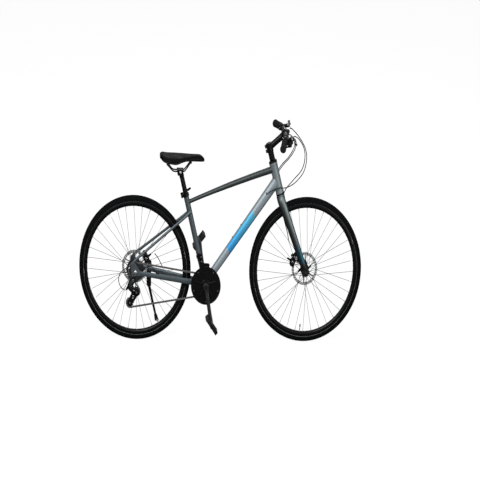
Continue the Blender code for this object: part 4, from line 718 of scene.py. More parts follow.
def mottled(name, colour, pattern, stops, gloss, metallic=0.0, coat=0.0, specular=0.5):
    """A material whose shade follows one noise and whose roughness wanders with another."""
    material, tree, shader = new_finish(name, colour, gloss[1], metallic, coat, specular)
    base = ramp(tree, noise(tree, *pattern), shades(colour, *stops))
    tree.links.new(base, shader.inputs["Base Color"])
    uneven_gloss(tree, shader, *gloss)
    return material, tree, shader


def paint(name, colour, panel=None, fade=None):
    """Metallic lacquer: flakes under a satin clear coat."""
    material, tree, shader = new_finish(name, colour, 0.30, 0.60, 0.12, 0.5)
    # A fade can take the flakes' place; the fork's fade also paints highlight and shade.
    if fade:
        base = fade(tree)
    else:
        flakes = ramp(tree, noise(tree, 2600.0, 1.0), shades(colour, (0.30, 0.86), (0.52, 1.0), (0.72, 1.2)))
        base = mixed(tree, noise(tree, 9.0), flakes, scaled(colour, 0.90))
    if panel:
        base = panel(tree, base)
    tree.links.new(base, shader.inputs["Base Color"])
    uneven_gloss(tree, shader, 12.0, 0.47, 0.54)
    return material


def fork_tint_and_painted_light(tree):
    """Painted shade behind and a painted highlight in front on each blade, with a blue tint towards the tip.
    """
    top = Vector((0.8975, 0.0, 0.6940))
    way = (FRONT_AXLE - top).normalized()
    along = along_axis(tree, top, way)
    # The pale colour is the fork's lacquer as lit, used for the painted highlight.
    pale, blue = tuple(settings().fork_paint), tuple(settings().fork_low)
    tip, shaded_blue = (0.020, 0.022, 0.024), scaled(blue, 0.08)
    # In front: a painted highlight, palest at the crown and fading down the blade, then the blue tint and the
    # black tip.
    front = ramp(tree, along, shades(pale, (0.02, 1.0), (0.12, 0.8), (0.22, 0.45))
                 + [(0.27, blue), (0.325, blue), (0.345, tip)])
    # Behind: painted shade, near black, with the blue tint shaded dark.
    back = ramp(tree, along, ((0.0, (0.020, 0.024, 0.026)), (0.08, (0.003, 0.004, 0.004)),
                              (0.22, (0.002, 0.003, 0.003)), (0.27, shaded_blue),
                              (0.34, (0.001, 0.001, 0.001))))
    # The share of the painted highlight runs from 25 mm behind each blade's middle line to 25 mm in front of
    # it.
    across = sums(tree, "MULTIPLY_ADD", along_axis(tree, top, way.cross(LATERAL)), 20.0, 0.5)
    share = ramp(tree, across, grey_stops(((0.18, 0.0), (0.46, 0.12), (0.64, 0.75), (0.77, 1.0),
                                           (0.90, 0.15))))
    return mixed(tree, share, back, front)


def blue_panel(tree, base):
    """A band of blue on the two sides of the down tube, with slanted ends and a paler upper end."""
    look = settings()
    way = (DOWN_TUBE_TOP - CRANK_CENTRE).normalized()
    high = along_axis(tree, CRANK_CENTRE, upwards(way.cross(LATERAL)))
    slanted = sums(tree, "MULTIPLY_ADD", high, -0.36, along_axis(tree, CRANK_CENTRE, way))
    tint = ramp(tree, slanted, ((look.panel_start, look.panel_low), (look.panel_end, look.panel_high)))
    below = sums(tree, "LESS_THAN", high, look.panel_top)
    inside = sums(tree, "MULTIPLY", sums(tree, "GREATER_THAN", slanted, look.panel_start), below)
    inside = sums(tree, "MULTIPLY", inside, sums(tree, "LESS_THAN", slanted, look.panel_end))
    return mixed(tree, inside, base, tint)


def anodised(name, colour, low=0.30, high=0.46, metallic=0.75):
    """Black or grey metal with fine drawn lines and slightly rubbed patches."""
    material, tree, shader = mottled(name, colour, (55.0, 4.0, 0.65), ((0.35, 0.8), (0.62, 1.0), (0.80, 1.9)),
                                     (120.0, low, high), metallic, 0.05, 0.3)
    relief(tree, shader, noise(tree, 260.0, stretch=(1.0, 1.0, 7.0)), 0.00003, 0.4)
    return material


def bright(name, colour=(0.62, 0.63, 0.64), low=0.18, high=0.34, grime=0.25):
    """Bare bright metal with a fine grain and a little grime."""
    stops = ((0.30, 1.0), (0.60, 0.9), (0.85, 1.0 - grime * 2))
    material, tree, shader = mottled(name, colour, (90.0, 4.0, 0.6), stops, (200.0, low, high), 1.0)
    relief(tree, shader, noise(tree, 900.0, 1.0), 0.00002, 0.35)
    return material


def rubber(name, colour, grain=900.0, depth=0.00012):
    """Matt rubber with a fine skin and paler dust in it."""
    material, tree, shader = mottled(name, colour, (35.0, 5.0, 0.65),
                                     ((0.35, 0.75), (0.58, 1.0), (0.80, 1.7)),
                                     (60.0, 0.62, 0.82), specular=0.04)
    relief(tree, shader, noise(tree, grain, 3.0), depth, 0.8)
    return material


def moulded(name, colour):
    """Moulded plastic with a spark-eroded texture."""
    material, tree, shader = mottled(name, colour, (70.0, 3.0), ((0.35, 0.85), (0.70, 1.3)),
                                     (90.0, 0.38, 0.55), specular=0.18)
    relief(tree, shader, cells(tree, 1400.0, "F1"), 0.00008, 0.5)
    return material


def vinyl(name, colour):
    """Saddle cover with a pebbled grain."""
    material, tree, shader = mottled(name, colour, (30.0, 3.0), ((0.30, 0.8), (0.60, 1.0), (0.85, 1.5)),
                                     (25.0, 0.50, 0.66), specular=0.05)
    relief(tree, shader, cells(tree, 520.0, "DISTANCE_TO_EDGE"), 0.00035, 0.55)
    return material


def ribbed_housing(name, colour):
    """A cable's outer sleeve: plastic with faint ribs round it."""
    material, tree, shader = mottled(name, colour, (45.0,), ((0.35, 1.0), (0.75, 1.8)),
                                     (80.0, 0.40, 0.50), specular=0.15)
    along = add_node(tree, "ShaderNodeSeparateXYZ", {0: surface_node(tree)}).outputs["X"]
    relief(tree, shader, sums(tree, "SINE", sums(tree, "MULTIPLY", along, 4200.0)), 0.00004, 0.35)
    return material


def display(name, colour):
    """A gear display's window: smoked plastic with pale marks."""
    material, tree, shader = new_finish(name, colour, 0.12, 0.0, 0.8, 0.5)
    base = ramp(tree, noise(tree, 300.0, 1.0), ((0.55, (0.035, 0.036, 0.038)), (0.75, (0.12, 0.12, 0.12))))
    tree.links.new(base, shader.inputs["Base Color"])
    return material


# A finish's maker and its values; a word stands for the setting of that name.
FINISH_MAKERS = {
    # The head, top, seat and stay finishes are copies of the frame's one lacquer, each made lighter or darker
    # by how the light falls on that tube: painted light and shade.
    "head paint": (paint, "head_paint"),
    "frame paint": (paint, "frame_paint"),
    "top paint": (paint, "top_paint"),
    "seat paint": (paint, "seat_paint"),
    "stay paint": (paint, "stay_paint"),
    "down paint": (paint, "frame_paint", blue_panel),
    # The fork's finish carries a painted highlight in front and painted shade behind on each blade.
    "fork paint": (paint, "fork_paint", None, fork_tint_and_painted_light),
    "black metal": (anodised, (0.008, 0.008, 0.009)),
    "black crank": (anodised, (0.045, 0.050, 0.050), 0.28, 0.42),
    "black steel": (anodised, (0.018, 0.018, 0.019), 0.35, 0.55, 0.5),
    "silver metal": (bright,),
    "spoke steel": (bright, (0.040, 0.042, 0.044), 0.34, 0.46, 0.1),
    "disc steel": (bright, (0.78, 0.79, 0.80), 0.25, 0.40, 0.08),
    "sprocket steel": (bright, (0.085, 0.087, 0.092), 0.30, 0.45, 0.3),
    "chain steel": (bright, (0.27, 0.262, 0.25), 0.30, 0.45, 0.2),
    "brass": (bright, (0.45, 0.44, 0.40), 0.25, 0.4, 0.2),
    "tyre rubber": (rubber, (0.0038, 0.0042, 0.0045)),
    "worn rubber": (rubber, (0.120, 0.130, 0.135)),
    "grip rubber": (rubber, (0.016, 0.016, 0.016), 1300.0, 0.00015),
    "thread": (rubber, (0.045, 0.045, 0.046), 2500.0, 0.0001),
    "black plastic": (moulded, (0.008, 0.008, 0.008)),
    "saddle vinyl": (vinyl, (0.0035, 0.0038, 0.0038)),
    "housing": (ribbed_housing, (0.005, 0.005, 0.006)),
    "display": (display, (0.05, 0.052, 0.055)),
}
FINISHES = {}


def finish_of(word):
    """The finish of that name, made the first time that it is asked for."""
    if word not in FINISHES:
        maker, *values = FINISH_MAKERS[word]
        values = [getattr(settings(), v) if isinstance(v, str) else v for v in values]
        FINISHES[word] = maker(word, *values)
    return FINISHES[word]


# Settings

def colour_setting(name, description, default):
    """A colour that a user can change."""
    return bpy.props.FloatVectorProperty(name=name, description=description, subtype="COLOR", size=3,
                                         min=0.0, max=1.0, default=default)


class BicycleLook(bpy.types.PropertyGroup):
    """Colours and sizes of the finish that a user would change."""

    frame_paint: colour_setting("Frame paint", "Lacquer on the down tube", (0.330, 0.390, 0.420))
    # The head, top, seat, stay and fork colours are the frame's one lacquer, made lighter or darker by the
    # light that falls on each tube: painted light and shade.
    head_paint: colour_setting("Head tube paint", "Lacquer on the head tube", (0.240, 0.285, 0.300))
    top_paint: colour_setting("Top tube paint", "Lacquer on the top tube", (0.038, 0.046, 0.048))
    seat_paint: colour_setting("Seat tube paint", "Lacquer on the seat tube", (0.090, 0.110, 0.120))
    stay_paint: colour_setting("Stay paint", "Lacquer on the rear stays", (0.085, 0.108, 0.120))
    fork_paint: colour_setting("Fork paint", "Lacquer on the fork", (0.240, 0.285, 0.295))
    fork_low: colour_setting("Fork tint", "Colour of the fork's lower ends", (0.014, 0.105, 0.150))
    panel_low: colour_setting("Panel colour", "Blue of the down tube's panel", (0.036, 0.350, 0.740))
    panel_high: colour_setting("Panel end colour", "Blue of the panel's upper end", (0.105, 0.480, 0.680))
    panel_start: bpy.props.FloatProperty(
        name="Panel start", description="Distance of the panel's lower end from the cranks", unit="LENGTH",
        min=0.0, max=0.6, default=0.215)
    panel_end: bpy.props.FloatProperty(
        name="Panel end", description="Distance of the panel's upper end from the cranks", unit="LENGTH",
        min=0.0, max=0.6, default=0.446)
    panel_top: bpy.props.FloatProperty(
        name="Panel top", description="Height of the panel's upper edge above the tube's middle line",
                                       unit="LENGTH",
        min=-0.02, max=0.03, default=0.019)


class BicycleBuild(bpy.types.PropertyGroup):
    """Counts of the pieces' detail."""

    wheel_segments: bpy.props.IntProperty(
        name="Wheel segments", description="Faces round each tyre and rim", min=48, max=360, default=144)
    tread_blocks: bpy.props.IntProperty(
        name="Tread blocks", description="Blocks round each tyre in one row", min=24, max=200, default=120)
    cable_sides: bpy.props.IntProperty(
        name="Cable sides", description="Faces round each cable", min=6, max=32, default=12)


def settings():
    """The look that the user has set."""
    return bpy.context.scene.bicycle_look


def build_settings():
    """The detail that the user has set."""
    return bpy.context.scene.bicycle_build


class PieceMaker:
    """What the operators of all pieces share."""

    bl_options = {"REGISTER", "UNDO"}

    @classmethod
    def poll(cls, context):
        return context.mode == "OBJECT"


# The stage

# Each light's name, place, aim, size and power.
LIGHTS = (
    ("key", (-1.2, -3.0, 3.6), (0.0, 0.0, 0.5), 2.0, 150.0),
    ("fill", (2.6, -2.8, 1.2), (0.1, 0.0, 0.5), 1.0, 26.0),
    ("rim", (0.6, 3.0, 3.0), (0.0, 0.0, 0.6), 1.8, 42.0),
)
# The surroundings' strength: what matt surfaces get, and what mirrors and the camera see on top of it.
AMBIENT, IN_MIRRORS, TO_CAMERA = 0.28, 0.24, 0.685
FLOOR_HALF = 60.0
FLOOR_GLOW = 0.93


def white_floor():
    """The camera sees a white floor with a faint shadow, and the machine is lit as if by a darker one."""
    material = bpy.data.materials.new("white floor")
    material.use_nodes = True
    tree = material.node_tree
    glow = add_node(tree, "ShaderNodeEmission", {"Color": (1.0, 1.0, 1.0, 1.0), "Strength": FLOOR_GLOW})
    dull = add_node(tree, "ShaderNodeBsdfDiffuse", {"Color": (0.16, 0.16, 0.165, 1.0)})
    pale = add_node(tree, "ShaderNodeBsdfDiffuse", {"Color": (0.12, 0.12, 0.12, 1.0)})
    bright_floor = add_node(tree, "ShaderNodeAddShader", {0: pale.outputs[0], 1: glow.outputs[0]})
    seen = tree.nodes.new("ShaderNodeLightPath").outputs["Is Camera Ray"]
    both = add_node(tree, "ShaderNodeMixShader", {0: seen, 1: dull.outputs[0], 2: bright_floor.outputs[0]})
    tree.links.new(both.outputs[0], tree.nodes["Material Output"].inputs["Surface"])
    return material


class BICYCLE_OT_stage(PieceMaker, bpy.types.Operator):
    """Floor, soft lights and the camera at the photograph's own angle"""

    bl_idname = "bicycle.stage"
    bl_label = "Stage"

    def execute(self, context):
        mesh = bpy.data.meshes.new("floor")
        corners = [(x * FLOOR_HALF, y * FLOOR_HALF, 0.0) for x, y in ((-1, -1), (1, -1), (1, 1), (-1, 1))]
        mesh.from_pydata(corners, [], [(0, 1, 2, 3)])
        mesh.materials.append(white_floor())
        floor = bpy.data.objects.new("floor", mesh)
        context.collection.objects.link(floor)

        world = bpy.data.worlds.new("studio")
        context.scene.world = world
        world.use_nodes = True
        tree = world.node_tree
        rays = tree.nodes.new("ShaderNodeLightPath").outputs
        strength = sums(tree, "MULTIPLY_ADD", rays["Is Glossy Ray"], IN_MIRRORS, AMBIENT)
        strength = sums(tree, "MULTIPLY_ADD", rays["Is Camera Ray"], TO_CAMERA, strength)
        back = tree.nodes["Background"]
        back.inputs["Color"].default_value = (1.0, 1.0, 1.0, 1.0)
        tree.links.new(strength, back.inputs["Strength"])
        for name, place, aim, size, power in LIGHTS:
            lamp = bpy.data.lights.new(name, "AREA")
            lamp.shape = "SQUARE"
            lamp.size = size
            lamp.energy = power
            thing = bpy.data.objects.new(name, lamp)
            context.collection.objects.link(thing)
            thing.location = place
            thing.rotation_euler = (Vector(aim) - Vector(place)).to_track_quat("-Z", "Y").to_euler()
        context.scene.view_settings.view_transform = "Standard"

        # The photograph was squeezed sideways, so the camera's frame is a little askew.
        centre = (-0.53678677, -15.90372839, 4.23205395, 1.0)
        right = (0.99950945, 0.03126799, 0.00177846, 0.0)
        upward = (0.04573561, 0.81785014, 0.57361085, 0.0)
        behind = (-0.07271556, -0.97067517, 0.22913352, 0.0)
        data = bpy.data.cameras.new("camera")
        data.sensor_width = 36.0
        data.lens = 195.269
        data.clip_end = 300.0
        holder = bpy.data.objects.new("camera mount", None)
        camera = bpy.data.objects.new("camera", data)
        context.collection.objects.link(holder)
        context.collection.objects.link(camera)
        camera.parent = holder
        camera.matrix_parent_inverse = LEANED @ Matrix((right, upward, behind, centre)).transposed()
        context.scene.camera = camera
        return {"FINISHED"}


# The frame

def on_head(distance, forward=0.0, lateral=0.0):
    """A point on the steering axis, or square to it."""
    ahead = Vector((HEAD_DIRECTION.z, 0.0, -HEAD_DIRECTION.x))
    return HEAD_POINT + HEAD_DIRECTION * distance + ahead * forward + LATERAL * lateral


def on_seat(distance, forward=0.0, lateral=0.0):
    """A point on the seat tube's axis, or square to it."""
    ahead = Vector((SEAT_TUBE_DIRECTION.z, 0.0, -SEAT_TUBE_DIRECTION.x))
    return CRANK_CENTRE + SEAT_TUBE_DIRECTION * distance + ahead * forward + LATERAL * lateral


class BICYCLE_OT_main_tubes(PieceMaker, bpy.types.Operator):
    """Head tube with its headset, top tube, down tube, seat tube and bottom bracket"""

    bl_idname = "bicycle.main_tubes"
    bl_label = "Main tubes"

    def execute(self, context):
        low, high = HEAD_BOTTOM, HEAD_TOP
        head = Form("head paint")
        head.lathe([(0.0150, low + 0.0004), (0.0243, low + 0.0004), (0.0247, low + 0.0016),
                    (0.0247, low + 0.0075),
                    (0.0240, low + 0.0110), (HEAD_TUBE_RADIUS, low + 0.016), (0.0232, 0.0),
                    (HEAD_TUBE_RADIUS, high - 0.016), (0.0240, high - 0.0110), (0.0247, high - 0.0075),
                    (0.0247, high - 0.0016), (0.0243, high - 0.0004), (0.0150, high - 0.0004)],
                   HEAD_POINT, HEAD_DIRECTION, 64, loop=True)
        head.use("black metal")
        head.lathe([(0.0149, low - 0.0078), (0.0220, low - 0.0078), (0.0240, low - 0.0062),
                    (0.0249, low - 0.0048),
                    (0.0249, low + 0.0002), (0.0149, low + 0.0002)], HEAD_POINT, HEAD_DIRECTION, 64,
                   loop=True)
        head.lathe([(0.0149, high - 0.0002), (0.0249, high - 0.0002), (0.0249, high + 0.0048),
                    (0.0236, high + 0.0066),
                    (0.0190, high + 0.0096), (0.0172, high + 0.0108), (0.0149, high + 0.0108)],
                   HEAD_POINT, HEAD_DIRECTION, 64, loop=True)
        head.finish("head_tube_finish", "frame", ["head_tube"])

        rear, middle, front = (Vector((0.322, 0.0, 0.664)), Vector((0.591, 0.0, 0.7505)),
                               Vector((0.866, 0.0, 0.8275)))
        control = middle * 2 - (rear + front) / 2
        stations = []
        for t, wide, deep in ((0.055, 0.0120, 0.0096), (0.12, 0.0126, 0.0099),
                              (0.25, 0.0135, 0.0105), (0.5, 0.0150, 0.0130), (0.75, 0.0165, 0.0146),
                              (0.92, 0.0180, 0.0158), (0.965, 0.0190, 0.0172), (0.99, 0.0205, 0.0200)):
            place = rear * (1 - t) ** 2 + control * (2 * t * (1 - t)) + front * t * t
            stations.append(row(place, wide, deep))
        top = Form("top paint")
        top.sweep(stations, 40, LATERAL, 8, 2.35, cope=(on_seat(0.0), SEAT_TUBE_DIRECTION, 0.0154))
        top.bead(rear, (rear - control).normalized(), 0.0126, 0.0106, on_seat(0.0), SEAT_TUBE_DIRECTION,
                 SEAT_TUBE_RADIUS, 0.0017)
        top.finish("top_tube_finish", "frame", ["top_tube"])

        foot, peak = CRANK_CENTRE, DOWN_TUBE_TOP
        way = (peak - foot).normalized()
        stations = []
        for t, wide, deep in ((0.025, 0.0215, 0.0225), (0.05, 0.0200, 0.0210), (0.08, 0.0188, 0.0203),
                              (0.25, 0.0195, 0.0212), (0.5, 0.0205, 0.0226), (0.8, 0.0215, 0.0246),
                              (0.93, 0.0218, 0.0254), (0.965, 0.0222, 0.0262), (0.985, 0.0228, 0.0272)):
            stations.append(row(foot.lerp(peak, t), wide, deep))
        down = Form("down paint")
        down.sweep(stations, 48, LATERAL, 8, 2.35)
        down.use("frame paint")
        down.bead(foot.lerp(peak, 0.2), -way, 0.0215, 0.0222, foot, LATERAL, 0.0210, 0.0018)
        down.bead(foot.lerp(peak, 0.8), way, 0.0222, 0.0266, HEAD_POINT, HEAD_DIRECTION, 0.0236, 0.0018)
        # Two bottle screws and the mouth of the brake cable's way in.
        down.use("black metal")
        over = upwards(way.cross(LATERAL))
        for t in (0.42, 0.54):
            spot = foot.lerp(peak, t) + over * (0.0212 + 0.0024 * (t - 0.4) / 0.4)
            down.bolt(spot, over, 0.0043, 0.0030)
        port = Vector((0.812, -0.0198, 0.716))
        down.use("black plastic")
        down.lathe([(0.0028, -0.004), (0.0048, -0.004), (0.0058, 0.0016), (0.0050, 0.0030), (0.0032, 0.0034)],
                   port, Vector((0.35, -1.0, 0.10)).normalized(), 24, loop=True)
        down.finish("down_tube_finish", "frame", ["down_tube"])

        seat = Form("seat paint")
        edge = SEAT_TUBE_LENGTH
        seat.lathe([(SEAT_TUBE_RADIUS, 0.0215), (SEAT_TUBE_RADIUS, edge - 0.0155),
                    (SEAT_TUBE_RADIUS, edge - 0.001), (SEAT_TUBE_RADIUS - 0.0006, edge),
                    (SEATPOST_RADIUS + 0.0004, edge), (SEATPOST_RADIUS + 0.0004, 0.12), (0.004, 0.12),
                    (0.004, 0.0215)], CRANK_CENTRE, SEAT_TUBE_DIRECTION, 48, loop=True)
        seat.bead(on_seat(0.15), -SEAT_TUBE_DIRECTION, SEAT_TUBE_RADIUS, SEAT_TUBE_RADIUS, CRANK_CENTRE,
                  LATERAL, 0.0208, 0.0019)
        seat.finish("seat_tube_finish", "frame", ["seat_tube"])

        shell = Form("stay paint")
        shell.collar(0.0155, 0.0205, -0.0338, 0.0338, CRANK_CENTRE, sides=56, ease=(0.0007, 0.0008))
        shell.use("black metal")
        for side, _ in SIDES:
            shell.lathe([(0.0102, 0.0300 * side), (0.0182, 0.0300 * side), (0.0188, 0.0352 * side),
                         (0.0182, 0.0358 * side), (0.0102, 0.0358 * side)], CRANK_CENTRE, LATERAL, 40,
                        loop=True)
        shell.finish("bottom_bracket_finish", "frame", ["bottom_bracket_shell"])
        return {"FINISHED"}


class BICYCLE_OT_rear_stays(PieceMaker, bpy.types.Operator):
    """Seat stays, chain stays and drop-outs on both sides, with the kickstand's lug and the brake's mount"""

    bl_idname = "bicycle.rear_stays"
    bl_label = "Rear stays"

    def execute(self, context):
        for side, word in SIDES:
            stays = Form("stay paint")
            path = ((0.3500, 0.0165, 0.6273, 0.0066, 0.0095), (0.3380, 0.0205, 0.6195, 0.0064, 0.0078),
                    (0.300, 0.0290, 0.5942, 0.0064, 0.0069), (0.250, 0.0345, 0.5628, 0.0064, 0.0069),
                    (0.150, 0.0480, 0.5000, 0.0064, 0.0069), (0.060, 0.0600, 0.4436, 0.0064, 0.0070),
                    (0.008, 0.0672, 0.4105, 0.0063, 0.0075), (-0.014, 0.0703, 0.3880, 0.0052, 0.0086),
                    (-0.018, 0.0708, 0.3640, 0.0034, 0.0088))
            stays.sweep([(x, y * side, z, w, d) for x, y, z, w, d in path], 28, LATERAL, 6, 2.2, dome=0.003)
            path = ((0.428, 0.0270, 0.2855, 0.0066, 0.0163), (0.400, 0.0285, 0.2880, 0.0067, 0.0158),
                    (0.345, 0.0298, 0.2958, 0.0067, 0.0149), (0.300, 0.0345, 0.3022, 0.0074, 0.0143),
                    (0.230, 0.0450, 0.3130, 0.0078, 0.0137), (0.160, 0.0560, 0.3236, 0.0078, 0.0129),
                    (0.070, 0.0672, 0.3372, 0.0068, 0.0118), (0.030, 0.0706, 0.3432, 0.0040, 0.0108),
                    (0.012, 0.0708, 0.3460, 0.0032, 0.0098))
            stays.sweep([(x, y * side, z, w, d) for x, y, z, w, d in path], 28, LATERAL, 6, 2.5, dome=0.003)
            outline = [(-0.014, 0.334), (-0.006, 0.334), (-0.0052, 0.343), (-0.0052, 0.3505), (0.0, 0.3545),
                       (0.0052, 0.3505), (0.0052, 0.343), (0.006, 0.332), (0.020, 0.330), (0.045, 0.332),
                       (0.050, 0.346), (0.026, 0.358), (0.012, 0.376), (-0.004, 0.398), (-0.026, 0.392),
                       (-0.028, 0.362)]
            if side < 0:
                outline = outline[1:] + [(-0.024, 0.330), (-0.024, 0.312), (-0.016, 0.306), (-0.007, 0.312)]
            stays.slab(rounded(outline, 0.004), 0.0678 * side, 0.0738 * side, edge=0.0008)
            if side > 0:
                hole = circle(0.0049, 16, (STAND_PIVOT.x, STAND_PIVOT.z))
                lug = [(0.074, 0.328), (0.074, 0.252), (0.081, 0.245), (0.096, 0.245), (0.103, 0.252),
                       (0.103, 0.322)]
                ear = [(0.080, 0.338), (0.112, 0.336), (0.102, 0.366), (0.086, 0.398), (0.074, 0.420),
                       (0.060, 0.424), (0.049, 0.416), (0.052, 0.404), (0.074, 0.370), (0.080, 0.352)]
                stays.slab(rounded(ear, 0.005), 0.0640, 0.0690)
                stays.use("black metal")
                stays.slab(rounded(lug, 0.004), 0.0640, 0.0700, holes=(hole,))
            else:
                # The stop for the rear derailleur's cable.
                stays.use("black metal")
                stays.rod(Vector((0.150, -0.0575, 0.3372)), Vector((0.126, -0.0600, 0.3407)), 0.0042, 0.0036)
            stays.finish(word + "_stays_finish", "frame", [word + "_rear_stays"])
        return {"FINISHED"}


class BICYCLE_OT_fork(PieceMaker, bpy.types.Operator):
    """Steerer, crown and the two straight tapered blades with their tips"""

    bl_idname = "bicycle.fork"
    bl_label = "Fork"

    def execute(self, context):
        fork = Form("fork paint")
        seat = HEAD_BOTTOM - 0.0083
        fork.lathe([(0.0, seat - 0.034), (0.0200, seat - 0.034), (0.0232, seat - 0.022),
                    (0.0236, seat - 0.006),
                    (0.0232, seat - 0.002), (0.0222, seat), (0.0, seat)], HEAD_POINT, HEAD_DIRECTION, 56)
        for side, _ in SIDES:
            tip = FRONT_AXLE + LATERAL * (0.0560 * side)
            crown = Vector((0.8975, 0.0180 * side, 0.6940))
            start = crown + Vector((-0.003, -0.013 * side, 0.012))
            stations = [row(start, 0.0140, 0.0205),
                        row(crown + Vector((0.002, 0.004 * side, -0.004)), 0.0155, 0.0236)]
            for t, out, wide, deep in ((0.08, 0.0330, 0.0128, 0.0236), (0.18, 0.0385, 0.0114, 0.0221),
                                       (0.32, 0.0415, 0.0109, 0.0212), (0.45, 0.0440, 0.0104, 0.0204),
                                       (0.60, 0.0470, 0.0098, 0.0194), (0.75, 0.0500, 0.0091, 0.0183),
                                       (0.88, 0.0526, 0.0080, 0.0168), (0.925, 0.0534, 0.0062, 0.0158),
                                       (0.953, 0.0537, 0.0040, 0.0148)):
                middle = crown.lerp(tip, t)
                middle.y = out * side
                stations.append(row(middle, wide, deep))
            fork.use("fork paint")
            fork.sweep(stations, 36, LATERAL, 6, 2.2, dome=0.004)
            outline = [(1.040, 0.372), (1.046, 0.404), (1.060, 0.398), (1.076, 0.366), (1.079, 0.350),
                       (1.076, 0.336),
                       (1.0682, 0.333), (1.0682, 0.349), (1.0660, 0.3535), (1.063, 0.3545), (1.0600, 0.3535),
                       (1.0578, 0.349), (1.0578, 0.333), (1.050, 0.336), (1.042, 0.348)]
            fork.use("black steel")
            fork.slab(rounded(outline, 0.003), 0.0503 * side, 0.0573 * side, edge=0.0009)
        # The mount of the front brake.
        ear = [(1.034, 0.378), (1.016, 0.436), (1.000, 0.424), (0.988, 0.412), (0.990, 0.396), (1.008, 0.392),
               (1.020, 0.368)]
        fork.slab(rounded(ear, 0.004), 0.0515, 0.0570, edge=0.0008)
        fork.use("black metal")
        fork.rod(on_head(-0.090), on_head(STEM_TOP - 0.0022), 0.0138, edge=0.001, sides=32)
        fork.finish("fork_finish", "steering_assembly", ["fork"])
        return {"FINISHED"}


# Cockpit

# How far out from the middle the brake brackets and the shifters sit on the bar.
BRACKET_PLACE, SHIFTER_PLACE = 0.146, 0.116

def bar_route():
    """Right half of the bar, from the clamp to the end."""
    end = Vector((BAR_END.x, -BAR_END.y, BAR_END.z))
    bend = Vector((BAR_CENTRE.x - 0.003, -0.105, BAR_CENTRE.z + 0.004))
    return [BAR_CENTRE + Vector((0, -0.030, 0)), BAR_CENTRE + Vector((0, -0.060, 0.001)), bend,
            bend.lerp(end, 0.3), end]


def bar_point(side, lateral):
    """A point on the bar's axis at a distance out to one side, and the bar's direction there."""
    route = bar_route()
    bend, end = route[2], route[4]
    place = bend.lerp(end, (lateral - abs(bend.y)) / (abs(end.y) - abs(bend.y)))
    direction = (end - bend).normalized()
    if side > 0:
        place.y *= -1
        direction = Vector((direction.x, -direction.y, direction.z))
    return place, direction


def bar_frame(side, lateral):
    """A point on the bar with its outward, forward and upward directions."""
    place, direction = bar_point(side, lateral)
    ahead = Vector((0.985, 0.0, 0.174)).normalized()
    front = (ahead - direction * ahead.dot(direction)).normalized()
    return place, direction, front, upwards(front.cross(direction).normalized())


class BICYCLE_OT_stem_and_bar(PieceMaker, bpy.types.Operator):
    """Spacers, stem and handlebar"""

    bl_idname = "bicycle.stem_and_bar"
    bl_label = "Stem and handlebar"

    def execute(self, context):
        spacer = Form("black metal")
        low, high = HEAD_TOP + 0.0113, STEM_BASE - 0.0003
        step = (high - low) / 3
        for k in range(3):
            spacer.collar(0.0147, 0.0168, low + step * k, low + step * (k + 1) - 0.0002, HEAD_POINT,
                          HEAD_DIRECTION, ease=(0.0004, 0.0006))
        spacer.finish("spacer_finish", "steering_assembly", ["steerer_spacer"])

        stem = Form("black metal")
        middle = (STEM_BASE + STEM_TOP) / 2
        stem.lathe([(0.0147, STEM_BASE + 0.0003), (0.0180, STEM_BASE + 0.0003), (0.0187, STEM_BASE + 0.001),
                    (0.0190, STEM_BASE + 0.004), (0.0190, STEM_TOP - 0.004), (0.0184, STEM_TOP - 0.0012),
                    (0.0166, STEM_TOP), (0.0, STEM_TOP)], HEAD_POINT, HEAD_DIRECTION, 56)
        start = on_head(middle)
        reach = (BAR_CENTRE - start).normalized()
        stem.sweep([row(start + reach * 0.002, 0.0152, 0.0165), row(start + reach * 0.018, 0.0147, 0.0156),
                    row(start + reach * 0.032, 0.0144, 0.0150),
                    row(BAR_CENTRE - reach * 0.026, 0.0158, 0.0156),
                    row(BAR_CENTRE - reach * 0.010, 0.0195, 0.0185)], 36, LATERAL, 6, 2.5)
        stem.collar(0.0164, 0.0210, -0.0222, 0.0222, BAR_CENTRE, sides=56)
        back = Vector((-HEAD_DIRECTION.z, 0.0, HEAD_DIRECTION.x))
        for place in (STEM_BASE + 0.009, STEM_TOP - 0.011):
            spot = on_head(place) + back * 0.0205
            for side, _ in SIDES:
                stem.brick(spot + LATERAL * (0.0070 * side), (0.013, 0.0120, 0.012), back, HEAD_DIRECTION,
                           0.003, 0.0008)
            stem.use("silver metal").bolt(spot + LATERAL * 0.0128 + back * 0.002, LATERAL, 0.0036, 0.0026)
            stem.use("black metal")
        # The four lugs of the faceplate with their screws.
        over = upwards(reach.cross(LATERAL))
        for height in (1, -1):
            for side, _ in SIDES:
                spot = BAR_CENTRE + over * (0.0195 * height) + LATERAL * (0.0150 * side) + reach * 0.0045
                stem.brick(spot - reach * 0.0010, (0.0150, 0.0095, 0.0060), reach, over, 0.002, 0.0006)
                stem.use("silver metal").bolt(spot + reach * 0.0062, reach, 0.0032, 0.0024)
                stem.use("black metal")
        stem.finish("stem_finish", "steering_assembly", ["stem"])

        right = bar_route()
        radii = [0.0159, 0.0125, BAR_RADIUS, BAR_RADIUS, BAR_RADIUS]
        stations = [row(Vector((p.x, -p.y, p.z)), r, r) for p, r in zip(reversed(right), reversed(radii))]
        stations.append(row(BAR_CENTRE, 0.0159, 0.0159))
        stations += [row(p, r, r) for p, r in zip(right, radii)]
        bar = Form("black metal")
        bar.sweep(stations, 32, UP, 8)
        bar.finish("handlebar_finish", "steering_assembly", ["handlebar"])
        return {"FINISHED"}


